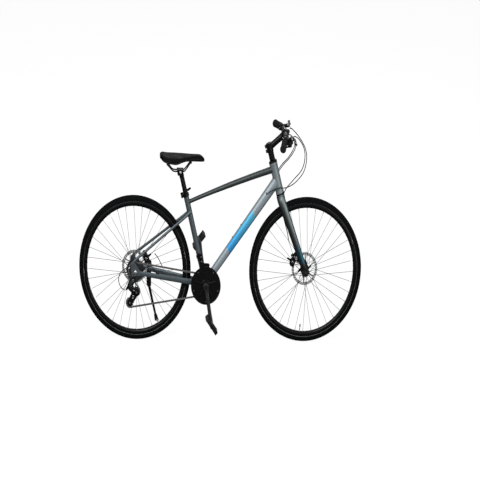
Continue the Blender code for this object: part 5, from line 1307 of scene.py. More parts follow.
class BICYCLE_OT_grips(PieceMaker, bpy.types.Operator):
    """Two rubber grips with their collars, ribs and end plugs"""

    bl_idname = "bicycle.grips"
    bl_label = "Grips"

    def execute(self, context):
        for side, word in SIDES:
            start, direction = bar_point(side, 0.166)
            grip = Form("grip rubber")
            profile = [(0.0114, 0.0003), (0.0178, 0.0003), (0.0185, 0.0010), (0.0185, 0.0036),
                       (0.0176, 0.0048)]
            # Ribs round the part that the palm holds, a little fuller in the middle.
            for k in range(26):
                place = 0.0075 + 0.0040 * k
                swell = 0.0008 * math.sin(math.pi * k / 25)
                profile += [(0.0157 + swell, place), (0.0165 + swell, place + 0.0009),
                            (0.0165 + swell, place + 0.0022), (0.0157 + swell, place + 0.0031)]
            profile += [(0.0170, 0.1125), (0.0183, 0.1140), (0.0185, 0.1170), (0.0180, 0.1186),
                        (0.0150, 0.1198),
                        (0.0, 0.1204)]
            grip.lathe(profile, start, direction, 40)
            grip.finish(word + "_grip_finish", "steering_assembly", [word + "_grip"])
        return {"FINISHED"}


class BICYCLE_OT_controls(PieceMaker, bpy.types.Operator):
    """Brake brackets and levers, shifters with their gear displays, and the thumb levers"""

    bl_idname = "bicycle.controls"
    bl_label = "Brake levers and shifters"

    def execute(self, context):
        for side, word in SIDES:
            self.bracket(word, *bar_frame(side, BRACKET_PLACE))
            self.shifter(word, *bar_frame(side, SHIFTER_PLACE))
        return {"FINISHED"}

    def bracket(self, word, place, out, front, over):
        """The brake's bracket and its lever."""
        pivot = place + front * 0.044 - out * 0.006
        bracket = Form("black metal")
        bracket.collar(0.0116, 0.0170, -0.0088, 0.0088, place, out, 40)
        # The bracket forks round the lever's root.
        for level in (0.0067, -0.0067):
            bracket.sweep(stations_from(place + over * level, (out, front), (
                (0.0, 0.012, 0.0080, 0.0022), (-0.003, 0.028, 0.0082, 0.0021),
                (-0.006, 0.038, 0.0090, 0.0019), (-0.006, 0.051, 0.0066, 0.0017))),
                          20, out, 5, 2.8, dome=0.002)
        bracket.sweep(stations_from(place, (out, front), (
            (0.0, 0.010, 0.0085, 0.0078), (-0.003, 0.028, 0.0085, 0.0072))), 24, out, 4, 2.4, dome=0.002)
        # The cable's barrel with its ribbed adjuster.
        barrel = pivot - out * 0.004 - front * 0.012
        bracket.sweep(stations_from(barrel, (out,), (
            (0.004, 0.0062, 0.0060), (-0.010, 0.0058, 0.0056), (-0.018, 0.0052, 0.0052))),
                      20, front, 4, 2.2, dome=0.002)
        for k in range(4):
            start = barrel - out * (0.0185 + 0.0036 * k)
            bracket.rod(start, start - out * 0.0030, 0.0056 - 0.0003 * k, sides=16)
        bracket.rod(barrel - out * 0.018, barrel - out * 0.0345, 0.0036)
        bracket.use("silver metal")
        bracket.bolt(pivot + over * 0.0086, over, 0.0036, 0.0022)
        bracket.bolt(place - over * 0.0060 - front * 0.0165, -front, 0.0030, 0.0028)
        bracket.finish(word + "_bracket_finish", "steering_assembly", [word + "_brake_bracket"])

        blade = Form("black crank")
        blade.sweep(stations_from(pivot + front * 0.002, (out, front), (
            (-0.004, 0.0, 0.0055, 0.0036), (0.010, 0.007, 0.0060, 0.0037), (0.022, 0.012, 0.0054, 0.0046),
            (0.034, 0.015, 0.0050, 0.0060), (0.052, 0.015, 0.0044, 0.0066), (0.068, 0.016, 0.0042, 0.0068),
            (0.084, 0.019, 0.0041, 0.0065), (0.096, 0.024, 0.0042, 0.0060), (0.105, 0.031, 0.0044, 0.0056))),
                    24, front, 6, 2.4, dome=0.004)
        blade.finish(word + "_lever_finish", word + "_brake_lever", [word + "_brake_lever"])

    def shifter(self, word, place, out, front, over):
        """The shifter with its display, and its thumb lever."""
        pod = Form("black plastic")
        pod.collar(0.0116, 0.0165, -0.0068, 0.0068, place, out, 36, (0.0007, 0.0010))
        heart = place + front * 0.020 - over * 0.022
        pod.lathe([(0.0, -0.0110), (0.0135, -0.0110), (0.0170, -0.0098), (0.0200, -0.0072), (0.0206, -0.0040),
                   (0.0206, 0.0030), (0.0196, 0.0056), (0.0165, 0.0078), (0.0110, 0.0088), (0.0, 0.0088)],
                  heart, over, 44)
        pod.sweep(stations_from(place, (front, over), (
            (0.004, -0.014, 0.0062, 0.0080), (0.012, -0.017, 0.0062, 0.0085),
                                                       (0.020, -0.022, 0.0060, 0.0070))),
                  20, out, 4, 2.6)
        spout = heart + front * 0.006
        pod.sweep(stations_from(spout, (out,), (
            (-0.008, 0.0072, 0.0066), (-0.020, 0.0058, 0.0056), (-0.0355, 0.0046, 0.0046))),
                  20, over, 5, 2.2, dome=0.001)
        for k in range(4):
            start = spout - out * (0.0225 + 0.0030 * k)
            pod.rod(start, start - out * 0.0022, 0.0060 - 0.0003 * k, sides=16)
        pod.use("display").slab(oblong(0.0200, 0.0120, 0.005), 0.0070, 0.0096, heart, out, front, over,
                                0.0008)
        pod.use("silver metal").bolt(place - front * 0.0150 + over * 0.003, -front, 0.0028, 0.0026)
        pod.finish(word + "_shifter_finish", "steering_assembly", [word + "_shifter"])

        hub = place + front * 0.020 - over * 0.0385
        thumb = Form("black plastic")
        thumb.lathe([(0.0, -0.0045), (0.0100, -0.0045), (0.0116, -0.0036), (0.0120, 0.0), (0.0120, 0.0040),
                     (0.0110, 0.0050), (0.0, 0.0050)], hub, over, 36)
        thumb.sweep(stations_from(hub, (-front, out), (
            (0.002, 0.0, 0.0085, 0.0040), (0.020, 0.012, 0.0065, 0.0032), (0.036, 0.020, 0.0085, 0.0034),
            (0.047, 0.022, 0.0072, 0.0031))), 24, out, 6, 2.6, dome=0.003)
        # Raised ribs under the thumb.
        for k in range(4):
            rib = hub - front * (0.033 + 0.0042 * k) + out * (0.0195 + 0.0006 * k) - over * 0.0029
            thumb.sweep(stations_from(rib, (out,), ((-0.0055, 0.0008, 0.0008), (0.0050, 0.0008, 0.0008))), 8,
                        -front, 2)
        thumb.use("silver metal").bolt(hub - over * 0.0042, -over, 0.0034, 0.0016)
        thumb.finish(word + "_thumb_finish", word + "_shift_lever", [word + "_shift_lever"])


# Saddle and seatpost

# Where the cover's seam runs round the saddle's section, in degrees, on the left and on the right.
SEAM_TURN = {1: 353, -1: 187}
SADDLE_REAR, SADDLE_NOSE = 0.163, 0.432

def smoothed(table, t):
    """The value of a table at a share of the saddle's length, with the table's corners rounded."""
    places, values = zip(*table)
    return float(numpy.interp([t + 0.015 * k for k in (-2, -1, 0, 1, 2)], places, values).mean())


def saddle_place(t, turn, inset=0.0):
    """A point of the saddle's skin: a quarter turn is the top's middle, three quarters the belly's."""
    x = SADDLE_REAR + (SADDLE_NOSE - SADDLE_REAR) * t
    tail = min(1.0, max(0.0, t) / 0.10)
    nose = min(1.0, max(0.0, 1 - t) / 0.09)
    close = math.sqrt(max(0.0, 1 - (1 - tail) ** 2)) * math.sqrt(max(0.0, 1 - (1 - nose) ** 2))
    close = 0.30 + 0.70 * close
    half = smoothed(SADDLE_HALF_WIDTH, t) * close - inset
    top = 0.8880 + 0.0055 * math.exp(-((t - 0.03) / 0.10) ** 2) - 0.0015 * math.sin(math.pi * t)
    top -= 0.020 * max(0.0, (t - 0.86) / 0.14) ** 2 + 0.004 * max(0.0, (0.06 - t) / 0.06)
    under = smoothed(SADDLE_BELLY, t)
    middle = (top + under) / 2
    c, s = math.cos(turn), math.sin(turn)
    across = math.copysign(abs(c) ** 0.75, c) * half
    if s < 0:
        across *= 1 - 0.42 * (-s) ** 1.3
    crown = math.copysign(abs(s) ** (0.62 if s < 0 else 0.80), s)
    height = middle + crown * ((top - inset) - middle if s > 0 else middle - (under + inset))
    if s > 0.5:
        height -= 0.0022 * math.exp(-(across / 0.010) ** 2) * math.sin(math.pi * min(1, max(0, t))) ** 0.5
    return Vector((x, across, height))


class BICYCLE_OT_saddle(PieceMaker, bpy.types.Operator):
    """The padded saddle with its seams and the rails that carry it"""

    bl_idname = "bicycle.saddle"
    bl_label = "Saddle"

    def execute(self, context):
        steps, sides = 84, 96
        cushion = Form("saddle vinyl")
        rings = []
        for i in range(steps + 1):
            # Finer steps near the two ends.
            t = 0.5 - 0.5 * math.cos(math.pi * i / steps)
            ring = []
            for k in range(sides):
                turn = 2 * math.pi * k / sides
                place = saddle_place(t, turn)
                # Pressed channels: the seat's middle hollow and a line round each sit pad.
                across = place.y
                if math.sin(turn) > 0.3:
                    pads = abs(abs(across) - 0.55 * smoothed(SADDLE_HALF_WIDTH, t))
                    depth = 0.0010 * math.exp(-(pads / 0.0022) ** 2) * (1 if 0.10 < t < 0.72 else 0)
                    hollow = max(0.0, math.sin(math.pi * (t - 0.08) / 0.8))
                    depth += 0.0016 * math.exp(-(across / 0.006) ** 2) * hollow
                    place.z -= depth
                # The seam between cover and skirt draws in.
                seam = abs(math.degrees(turn) - SEAM_TURN[1 if across > 0 else -1])
                if seam < 9:
                    place.y *= 1 - 0.018 * math.cos(math.radians(seam * 10))
                ring.append(place)
            rings.append(ring)
        cushion.skin(rings)
        piece = cushion.finish("saddle_cover", "saddle", ["saddle_cushion"], 60.0)

        # A cord of piping lies in the seam, with its stitches beside it.
        trim = Form("thread")
        for side, _ in SIDES:
            line = [saddle_place(0.03 + 0.94 * k / 60, math.radians(SEAM_TURN[side])) for k in range(61)]
            trim.sweep([row(Vector((p.x, p.y * 0.992, p.z)), 0.0009, 0.0009) for p in line], 10, UP, 1,
                       dome=0.001)
            stitch = math.radians(4 if side > 0 else 176)
            for k in range(76):
                t = 0.05 + 0.90 * k / 76
                a, b = saddle_place(t, stitch), saddle_place(t + 0.0075, stitch)
                middle = (a + b) / 2 + LATERAL * (0.0003 * side)
                trim.sweep([row(a, 0.00035, 0.00035), row(middle, 0.0004, 0.0004), row(b, 0.00035, 0.00035)],
                           6, UP, 1)
        trim.finish("saddle_seams", "saddle")

        shell = Form("black plastic")
        rings = []
        for i in range(29):
            t = 0.04 + 0.92 * i / 28
            below = [saddle_place(t, math.radians(208 + 124 * k / 23)) for k in range(24)]
            rings.append([Vector((p.x, p.y * 0.93, p.z - 0.0012)) for p in below]
                         + [Vector((p.x, p.y * 0.90, p.z + 0.0010)) for p in reversed(below)])
        shell.skin(rings)
        shell.finish("saddle_pan", "saddle")

        rails = Form("black steel")
        for side, _ in SIDES:
            y = 0.0215 * side
            path = [(0.204, y * 1.40, 0.8460), (0.210, y * 1.35, 0.8410), (0.220, y * 1.20, 0.8325),
                    (0.236, y, 0.8180),
                    (0.252, y, 0.8128), (0.300, y, 0.8125), (0.313, y, 0.8170), (0.328, y * 0.90, 0.8310),
                    (0.341, y * 0.78, 0.8450), (0.349, y * 0.72, 0.8505)]
            rails.sweep([(*p, 0.0035, 0.0035) for p in path], 20, LATERAL, 8)
            rails.use("black metal")
            rails.brick(SADDLE_PIVOT + UP * 0.0085 + LATERAL * y, (0.040, 0.0135, 0.0065), ALONG, UP, 0.002,
                        0.0008)
            rails.brick(SADDLE_PIVOT + UP * 0.0025 + LATERAL * y, (0.034, 0.0115, 0.0050), ALONG, UP, 0.002,
                        0.0008)
            rails.use("black steel")
        rails.use("black metal")
        rails.brick(SADDLE_PIVOT + UP * 0.0078, (0.030, 0.050, 0.0060), ALONG, UP, 0.003, 0.0008)
        rails.rod(SADDLE_PIVOT - LATERAL * 0.0255, SADDLE_PIVOT + LATERAL * 0.0255, 0.0105, edge=0.0012,
                  sides=40)
        rails.use("silver metal")
        for side, _ in SIDES:
            rails.nut(SADDLE_PIVOT + LATERAL * (0.0255 * side), LATERAL * side, 0.0068, 0.0050)
            rails.rod(SADDLE_PIVOT + LATERAL * (0.0300 * side), SADDLE_PIVOT + LATERAL * (0.0328 * side),
                      0.0040)
        rails.use("black plastic")
        rails.brick(Vector((0.3505, 0.0, 0.8512)), (0.010, 0.038, 0.0066), ALONG, UP, 0.002, 0.0006)
        rails.brick(Vector((0.2070, 0.0, 0.8446)), (0.010, 0.066, 0.0060), ALONG, UP, 0.002, 0.0006)
        rails.finish("saddle_rails_finish", "saddle", ["saddle_rails"])
        return {"FINISHED"}


class BICYCLE_OT_seatpost(PieceMaker, bpy.types.Operator):
    """Seatpost, its clamp, the skewer and the quick-release lever"""

    bl_idname = "bicycle.seatpost"
    bl_label = "Seatpost and clamp"

    def execute(self, context):
        head = SADDLE_PIVOT - UP * 0.0095
        post = Form("black metal")
        post.rod(on_seat(0.2152), on_seat(0.522), SEATPOST_RADIUS, edge=0.0008, sides=48)
        post.sweep([row(on_seat(0.5150), 0.0125, 0.0125), row(on_seat(0.5230), 0.0150, 0.0140),
                    row(on_seat(0.5300), 0.0170, 0.0148), row(head - UP * 0.0030, 0.0180, 0.0158)], 32,
                   LATERAL, 6, 2.4)
        # The cradle under the saddle's clamp, hollowed to a round seat.
        cradle = [(-0.0168, 0.0066), (-0.0168, -0.0050), (-0.0140, -0.0070), (0.0140, -0.0070),
                  (0.0168, -0.0050),
                  (0.0168, 0.0066)] + arc_points((0.0, 0.0095), 0.0114, 340, 200, 12)
        post.slab(cradle, -0.0178, 0.0178, head, ALONG, UP, LATERAL, 0.0008)
        # Height marks are thin rings that stand a little proud of the post.
        for k in range(5):
            place = 0.448 + 0.010 * k
            post.lathe([(SEATPOST_RADIUS - 0.0004, place - 0.0004),
                        (SEATPOST_RADIUS + 0.00012, place - 0.0002),
                        (SEATPOST_RADIUS + 0.00012, place + 0.0002),
                        (SEATPOST_RADIUS - 0.0004, place + 0.0004)],
                       CRANK_CENTRE, SEAT_TUBE_DIRECTION, 40, loop=True)
        post.finish("seatpost_finish", "seatpost", ["seatpost"])

        low, high = SEAT_TUBE_LENGTH - 0.014, SEAT_TUBE_LENGTH + 0.001
        back = Vector((-SEAT_TUBE_DIRECTION.z, 0.0, SEAT_TUBE_DIRECTION.x))
        inner, outer = SEAT_TUBE_RADIUS + 0.0003, SEAT_TUBE_RADIUS + 0.0036
        collar = Form("black metal")
        collar.collar(inner, outer, low, high, CRANK_CENTRE, SEAT_TUBE_DIRECTION, ease=(0.0008, 0.0008))
        centre = on_seat((low + high) / 2)
        for side, _ in SIDES:
            collar.brick(centre + back * 0.0235 + LATERAL * (0.0061 * side), (0.0135, 0.0096, 0.0128), back,
                         SEAT_TUBE_DIRECTION, 0.003, 0.0008)
        collar.finish("seat_clamp_finish", "frame", ["seat_clamp"])

        axis = centre + back * 0.0245
        hub = axis + LATERAL * 0.0182
        skewer = Form("silver metal")
        skewer.rod(axis - LATERAL * 0.0165, hub, 0.0027)
        skewer.use("black metal")
        skewer.lathe([(0.0, 0.0113), (0.0052, 0.0113), (0.0060, 0.0122), (0.0060, 0.0165), (0.0050, 0.0180),
                      (0.0, 0.0180)],
                     axis, -LATERAL, 28)
        skewer.rod(hub - SEAT_TUBE_DIRECTION * 0.0042, hub + SEAT_TUBE_DIRECTION * 0.0042, 0.0052, sides=28)
        skewer.finish("skewer_finish", "frame", ["seat_clamp_skewer"])

        top = hub + SEAT_TUBE_DIRECTION * 0.0085
        lever = Form("black metal")
        lever.lathe([(0.0, 0.0045), (0.0058, 0.0045), (0.0064, 0.0052), (0.0064, 0.0116), (0.0056, 0.0125),
                     (0.0, 0.0125)],
                    hub, SEAT_TUBE_DIRECTION, 32)
        lever.sweep(stations_from(top, (-back, LATERAL, UP), (
            (0.0015, 0.0012, 0.0, 0.0028, 0.0034), (0.020, 0.0050, 0.001, 0.0026, 0.0050),
            (0.038, 0.0060, 0.004, 0.0026, 0.0057), (0.052, 0.0060, 0.007, 0.0026, 0.0056),
            (0.058, 0.0055, 0.0087, 0.0022, 0.0048))), 24, LATERAL, 6, 2.4, dome=0.002)
        lever.finish("quick_release_lever", "seat_clamp_lever", ["seat_clamp_lever"])
        return {"FINISHED"}


# Wheels

# Each row of the tread: its place round the tyre in degrees, the blocks' slant, length, width and phase.
TREAD_ROWS = ((0, 0.0, 0.0125, 0.0046, 0.0), (17, 0.45, 0.0110, 0.0042, 0.5),
              (-17, -0.45, 0.0110, 0.0042, 0.5),
              (35, 0.25, 0.0100, 0.0050, 0.0), (-35, -0.25, 0.0100, 0.0050, 0.0))
# Each wheel's centre, half its width over the locknuts, the planes of its flanges and its freewheel's core.
WHEELS = (("front", FRONT_AXLE, 0.050, 0.0290, -0.0350, None),
          ("rear", REAR_AXLE, 0.0675, 0.0340, -0.0200, 0.0160))
SPOKE_RADIUS = 0.0010
DISC_OUTER, DISC_INNER, DISC_HALF = 0.0800, 0.0655, 0.00088
DISC_TILES = 36

class BICYCLE_OT_wheels(PieceMaker, bpy.types.Operator):
    """Tyres with their tread, rims, hubs with crossed spokes, and brake discs"""

    bl_idname = "bicycle.wheels"
    bl_label = "Wheels"

    def tyre(self, word, centre, body):
        build = build_settings()
        middle = WHEEL_RADIUS - TYRE_RADIUS
        crown = TYRE_RADIUS - 0.0009
        tyre = Form("tyre rubber")
        profile = []
        for degrees in range(-104, 105, 8):
            turn = math.radians(degrees)
            # Two moulded lines run round each sidewall.
            ridge = 0.0005 if abs(degrees) in (56, 88) else 0.0
            profile.append((middle + (crown + ridge) * math.cos(turn),
                            (TYRE_RADIUS - 0.0002 + ridge) * math.sin(turn)))
        inner = RIM_OUTER_RADIUS
        profile += [(inner + 0.0060, 0.0121), (inner + 0.0034, 0.0114), (inner + 0.0034, -0.0114),
                    (inner + 0.0060, -0.0121)]
        tyre.lathe(profile, centre, LATERAL, build.wheel_segments, loop=True)
        # A pale line where each sidewall meets the rim.
        tyre.use("worn rubber")
        for side, _ in SIDES:
            tyre.lathe([(inner + 0.0048, 0.0124 * side), (inner + 0.0062, 0.0132 * side),
                        (inner + 0.0080, 0.0139 * side), (inner + 0.0084, 0.0130 * side)],
                       centre, LATERAL, build.wheel_segments, loop=True)
        tyre.use("tyre rubber")
        # Tread: a centre row, two slanted rows and two shoulder rows of low blocks.
        count = build.tread_blocks
        for degrees, slant, length, width, phase in TREAD_ROWS:
            turn = math.radians(degrees)
            outward = Vector((math.cos(turn), math.sin(turn), 0.0))
            place = centre + ALONG * middle + outward * (TYRE_RADIUS - 0.00075)
            run = (UP * math.cos(slant) + LATERAL * math.sin(slant)).normalized()
            run = (run - outward * run.dot(outward)).normalized()
            block = Form("tyre rubber")
            block.slab(oblong(length, width, 0.0012, 1), -0.0010, 0.00065, place, run,
                       outward.cross(run).normalized(), outward, 0.0003)
            tyre.repeat(block, count, centre, LATERAL, phase * 2 * math.pi / count)
        tyre.finish(word + "_tyre_finish", body, [word + "_tyre"])

    def rim(self, word, centre, body):
        rim = Form("black metal")
        a, b, w = RIM_INNER_RADIUS, RIM_OUTER_RADIUS, RIM_HALF_WIDTH
        profile = [(a, -0.0042), (a + 0.0008, -0.0062), (b - 0.0115, -w + 0.0006), (b - 0.0095, -w),
                   (b + 0.0018, -w),
                   (b + 0.0030, -w + 0.0006), (b + 0.0026, -w + 0.0014), (b - 0.002, -0.006),
                   (b - 0.002, 0.006),
                   (b + 0.0026, w - 0.0014), (b + 0.0030, w - 0.0006), (b + 0.0018, w), (b - 0.0095, w),
                   (b - 0.0115, w - 0.0006), (a + 0.0008, 0.0062), (a, 0.0042)]
        rim.lathe(profile, centre, LATERAL, build_settings().wheel_segments, loop=True)
        # Eyelets where the nipples come through.
        eyelet = Form("black metal")
        eyelet.lathe([(0.0, -0.0004), (0.0030, -0.0004), (0.0030, 0.0006), (0.0022, 0.0011), (0.0, 0.0011)],
                     centre + ALONG * RIM_INNER_RADIUS, -ALONG, 10)
        rim.repeat(eyelet, SPOKE_COUNT, centre, LATERAL, math.pi / SPOKE_COUNT)
        # The valve with its cap and lock ring.
        turn = math.radians(-94.0 if word == "front" else -62.0)
        inward = -wheel_way(turn)
        root = centre - inward * (a + 0.0004)
        rim.use("silver metal").nut(root, inward, 0.0058, 0.0022)
        rim.rod(root, root + inward * 0.024, 0.0026)
        rim.use("black plastic")
        rim.rod(root + inward * 0.0205, root + inward * 0.0345, 0.0040, 0.0034)
        rim.finish(word + "_rim_finish", body, [word + "_rim"])

    def hub(self, word, centre, body, inner_half, left, right, right_core):
        hub = Form("black metal")
        flange, barrel, end = 0.0225, 0.0150, inner_half - 0.0040

        def rim_of(level):
            return [(flange - 0.0008, level + 0.0022), (flange, level + 0.0014), (flange, level - 0.0014),
                    (flange - 0.0008, level - 0.0022)]

        profile = [(0.0056, end), (0.0080, end), (0.0086, end - 0.0008), (0.0102, left + 0.0075),
                   (0.0115, left + 0.0055), *rim_of(left), (0.0180, left - 0.0055), (barrel, left - 0.0110),
                   (barrel, right + 0.0110), (0.0180, right + 0.0055), *rim_of(right)]
        if right_core:
            profile += [(right_core, right - 0.003), (right_core, -0.0600), (0.0085, -0.0605), (0.0085, -end),
                        (0.0056, -end)]
        else:
            profile += [(0.0115, right - 0.0055), (0.0102, right - 0.0075), (0.0086, -end + 0.0008),
                        (0.0080, -end), (0.0056, -end)]
        hub.lathe(profile, centre, LATERAL, 56, loop=True)
        plane = ROTOR_PLANE[word]
        hub.lathe([(0.0060, left + 0.002), (0.0172, left + 0.002), (0.0172, plane - 0.0016),
                   (0.0166, plane - 0.0010), (0.0060, plane - 0.0010)],
                  centre, LATERAL, 44, loop=True)
        per_side = SPOKE_COUNT // 2
        pitch = 2 * math.pi / per_side
        for level in (left, right):
            side = 1 if level > 0 else -1
            for sense in (-1, 1):
                hub_turn = pitch * ((0 if sense < 0 else 1) + (0.5 if side > 0 else 0.0))
                rim_turn = hub_turn + sense * CROSSING_STEPS * 2 * math.pi / SPOKE_COUNT
                start = centre + wheel_way(hub_turn) * 0.0192 + LATERAL * (level + 0.0027 * sense)
                offset = 0.0035 * side + 0.0012 * sense
                stop = centre + wheel_way(rim_turn) * RIM_INNER_RADIUS + LATERAL * offset
                elbow = centre + wheel_way(hub_turn) * 0.0186 + LATERAL * (level - 0.0034 * sense)
                way = (stop - start).normalized()
                bend = (elbow, elbow.lerp(start, 0.8), start + way * 0.0012)
                spoke = Form("spoke steel")
                for places, hint, per in (((start, stop - way * 0.004), LATERAL, 1), (bend, ALONG, 3)):
                    spoke.sweep([row(p, SPOKE_RADIUS, SPOKE_RADIUS) for p in places], 8, hint, per)
                spoke.ball(elbow, 0.0019, 8)
                nipple = Form("brass")
                nipple.lathe([(0.0, 0.0), (0.0014, 0.0), (0.0017, 0.0010), (0.0017, 0.0105), (0.0022, 0.0122),
                              (0.0022, 0.0135), (0.0, 0.0135)], stop - way * 0.0128, way, 8)
                # Turning about the left-pointing axle runs backwards, so the step is negative.
                for tile in (spoke, nipple):
                    hub.use(tile.word).repeat(tile, per_side // 2, centre, LATERAL, 0.0, -2 * pitch)
        hub.finish(word + "_hub_finish", body, [word + "_hub_and_spokes"])

    def disc(self, word, centre, body):
        plane = ROTOR_PLANE[word]
        middle = centre + LATERAL * plane
        disc = Form("disc steel")
        # One tile of the braking ring with a round hole and a slot; copies close up into the whole ring.
        half_turn = math.pi / DISC_TILES
        tile = Form("disc steel")
        bound = [(radius * math.cos(half_turn * f), radius * math.sin(half_turn * f))
                 for radius, sense in ((DISC_OUTER, 1), (DISC_INNER, -1))
                 for f in (-sense, -0.33 * sense, 0.33 * sense, sense)]
        slot = [(0.0703 + x, 0.0022 + y / 2 - 0.4 * x) for x, y in circle(0.0026, 8)]
        outlines = [bound, circle(0.0016, 8, (0.0765, 0.0)), slot]
        layers = []
        for height in (-DISC_HALF, DISC_HALF):
            loops = [[tile.shape.verts.new(middle + ALONG * x + UP * z + LATERAL * height) for x, z in points]
                     for points in outlines]
            layers.append(loops)
            names = [v for loop in loops for v in loop]
            for a, b, c in tessellate_polygon([[Vector((x, z, 0.0)) for x,
                                                z in points] for points in outlines]):
                tile.face((names[a], names[b], names[c]))
        for number, (low_loop, high_loop) in enumerate(zip(*layers)):
            size = len(low_loop)
            for k in range(size):
                j = (k + 1) % size
                # The two straight sides stay open, for the next tile to meet.
                if number == 0 and k in (3, 7):
                    continue
                tile.face((low_loop[k], low_loop[j], high_loop[j], high_loop[k]))
        disc.repeat(tile, DISC_TILES, middle, LATERAL)
        # Six slanted arms, black near the hub and bare beyond.
        for k in range(6):
            turn = 2 * math.pi * k / 6
            root, tip = wheel_way(turn) * 0.0245, wheel_way(turn + 0.5) * 0.0672
            bow = (root + tip) / 2 + (tip - root).normalized().cross(LATERAL) * 0.0028
            disc.use("black metal")
            disc.sweep([row(middle + root, 0.0009, 0.0052), row(middle + bow, 0.0009, 0.0036)], 12, LATERAL,
                       6, 4.0)
            disc.use("disc steel")
            disc.sweep([row(middle + bow, 0.0009, 0.0031), row(middle + tip, 0.0009, 0.0042)], 12, LATERAL, 4,
                       4.0)
        disc.use("black metal")
        disc.collar(0.0182, 0.0272, -DISC_HALF, DISC_HALF, middle, ease=(0.0004, DISC_HALF / 2))
        for k in range(6):
            spot = middle + wheel_way(2 * math.pi * (k + 0.5) / 6) * 0.0225
            disc.bolt(spot + LATERAL * DISC_HALF, LATERAL, 0.0040, 0.0024)
        disc.finish(word + "_disc_finish", body, [word + "_rotor"])

    def execute(self, context):
        for word, centre, *sizes in WHEELS:
            body = word + "_wheel"
            self.tyre(word, centre, body)
            self.rim(word, centre, body)
            self.hub(word, centre, body, *sizes)
            self.disc(word, centre, body)
        return {"FINISHED"}


class BICYCLE_OT_axles(PieceMaker, bpy.types.Operator):
    """Axles with their cones, washers and nuts"""

    bl_idname = "bicycle.axles"
    bl_label = "Axles"

    def execute(self, context):
        for word, centre, inner, plates in (("front", FRONT_AXLE, 0.050, 0.007),
                                            ("rear", REAR_AXLE, 0.0675, 0.006)):
            out = inner + 0.0006 + plates
            axle = Form("silver metal" if word == "rear" else "black steel")
            axle.rod(centre - LATERAL * (out + 0.010), centre + LATERAL * (out + 0.010), 0.0048, edge=0.0008,
                     sides=24)
            for side, _ in SIDES:
                way = LATERAL * side
                axle.lathe([(0.0, 0.0), (0.0105, 0.0), (0.0105, 0.0010), (0.0, 0.0010)], centre + way * out,
                           way, 28)
                axle.nut(centre + way * (out + 0.001), way, 0.0095, 0.0070)
                axle.rod(centre + way * (inner - 0.0036), centre + way * (inner - 0.0002), 0.0085, sides=28)
            axle.finish(word + "_axle_finish", "frame" if word == "rear" else "steering_assembly",
                        [word + "_axle"])
        return {"FINISHED"}


# Drive train

PLATE_HALF = 0.0009
GUARD_RADIUS = 0.0900
TREAD_OFFSET = 0.0435
# How far each pedal is turned about its axle, in degrees.
PEDAL_TILT = {"right": -50.0, "left": 45.0}


def pitch_radius(teeth):
    """The radius of a sprocket's pitch circle."""
    return teeth * CHAIN_PITCH / (2 * math.pi)


def toothed_disc(form, teeth, centre, near, far, bore):
    """A sprocket: one tooth's sector, copied all the way round by Geometry Nodes."""
    radius = pitch_radius(teeth)
    half = math.pi / teeth
    outline = [(-half, radius - 0.0034), (-half * 0.62, radius - 0.0030), (-half * 0.34, radius + 0.0006),
               (-half * 0.16, radius + 0.0030), (half * 0.16, radius + 0.0030),
               (half * 0.34, radius + 0.0006),
               (half * 0.62, radius - 0.0030), (half, radius - 0.0034)]
    points = [(r * math.cos(t), r * math.sin(t)) for t, r in outline]
    points += [(bore * math.cos(t), bore * math.sin(t)) for t in (half, 0.0, -half)]
    tile = Form(form.word)
    middle = Vector((centre.x, 0.0, centre.z))
    rows = []
    for y in (near, far):
        rows.append([tile.shape.verts.new(middle + ALONG * x + UP * z + LATERAL * y) for x, z in points])
    for line in rows:
        for a, b, c in tessellate_polygon([[Vector((x, z, 0.0)) for x, z in points]]):
            tile.face((line[a], line[b], line[c]))
    count = len(points)
    for k in range(count):
        # The sector's straight sides stay open for the next one.
        if k in (7, count - 1):
            continue
        j = (k + 1) % count
        tile.face((rows[0][k], rows[0][j], rows[1][j], rows[1][k]))
    form.repeat(tile, teeth, middle, LATERAL)
    return form


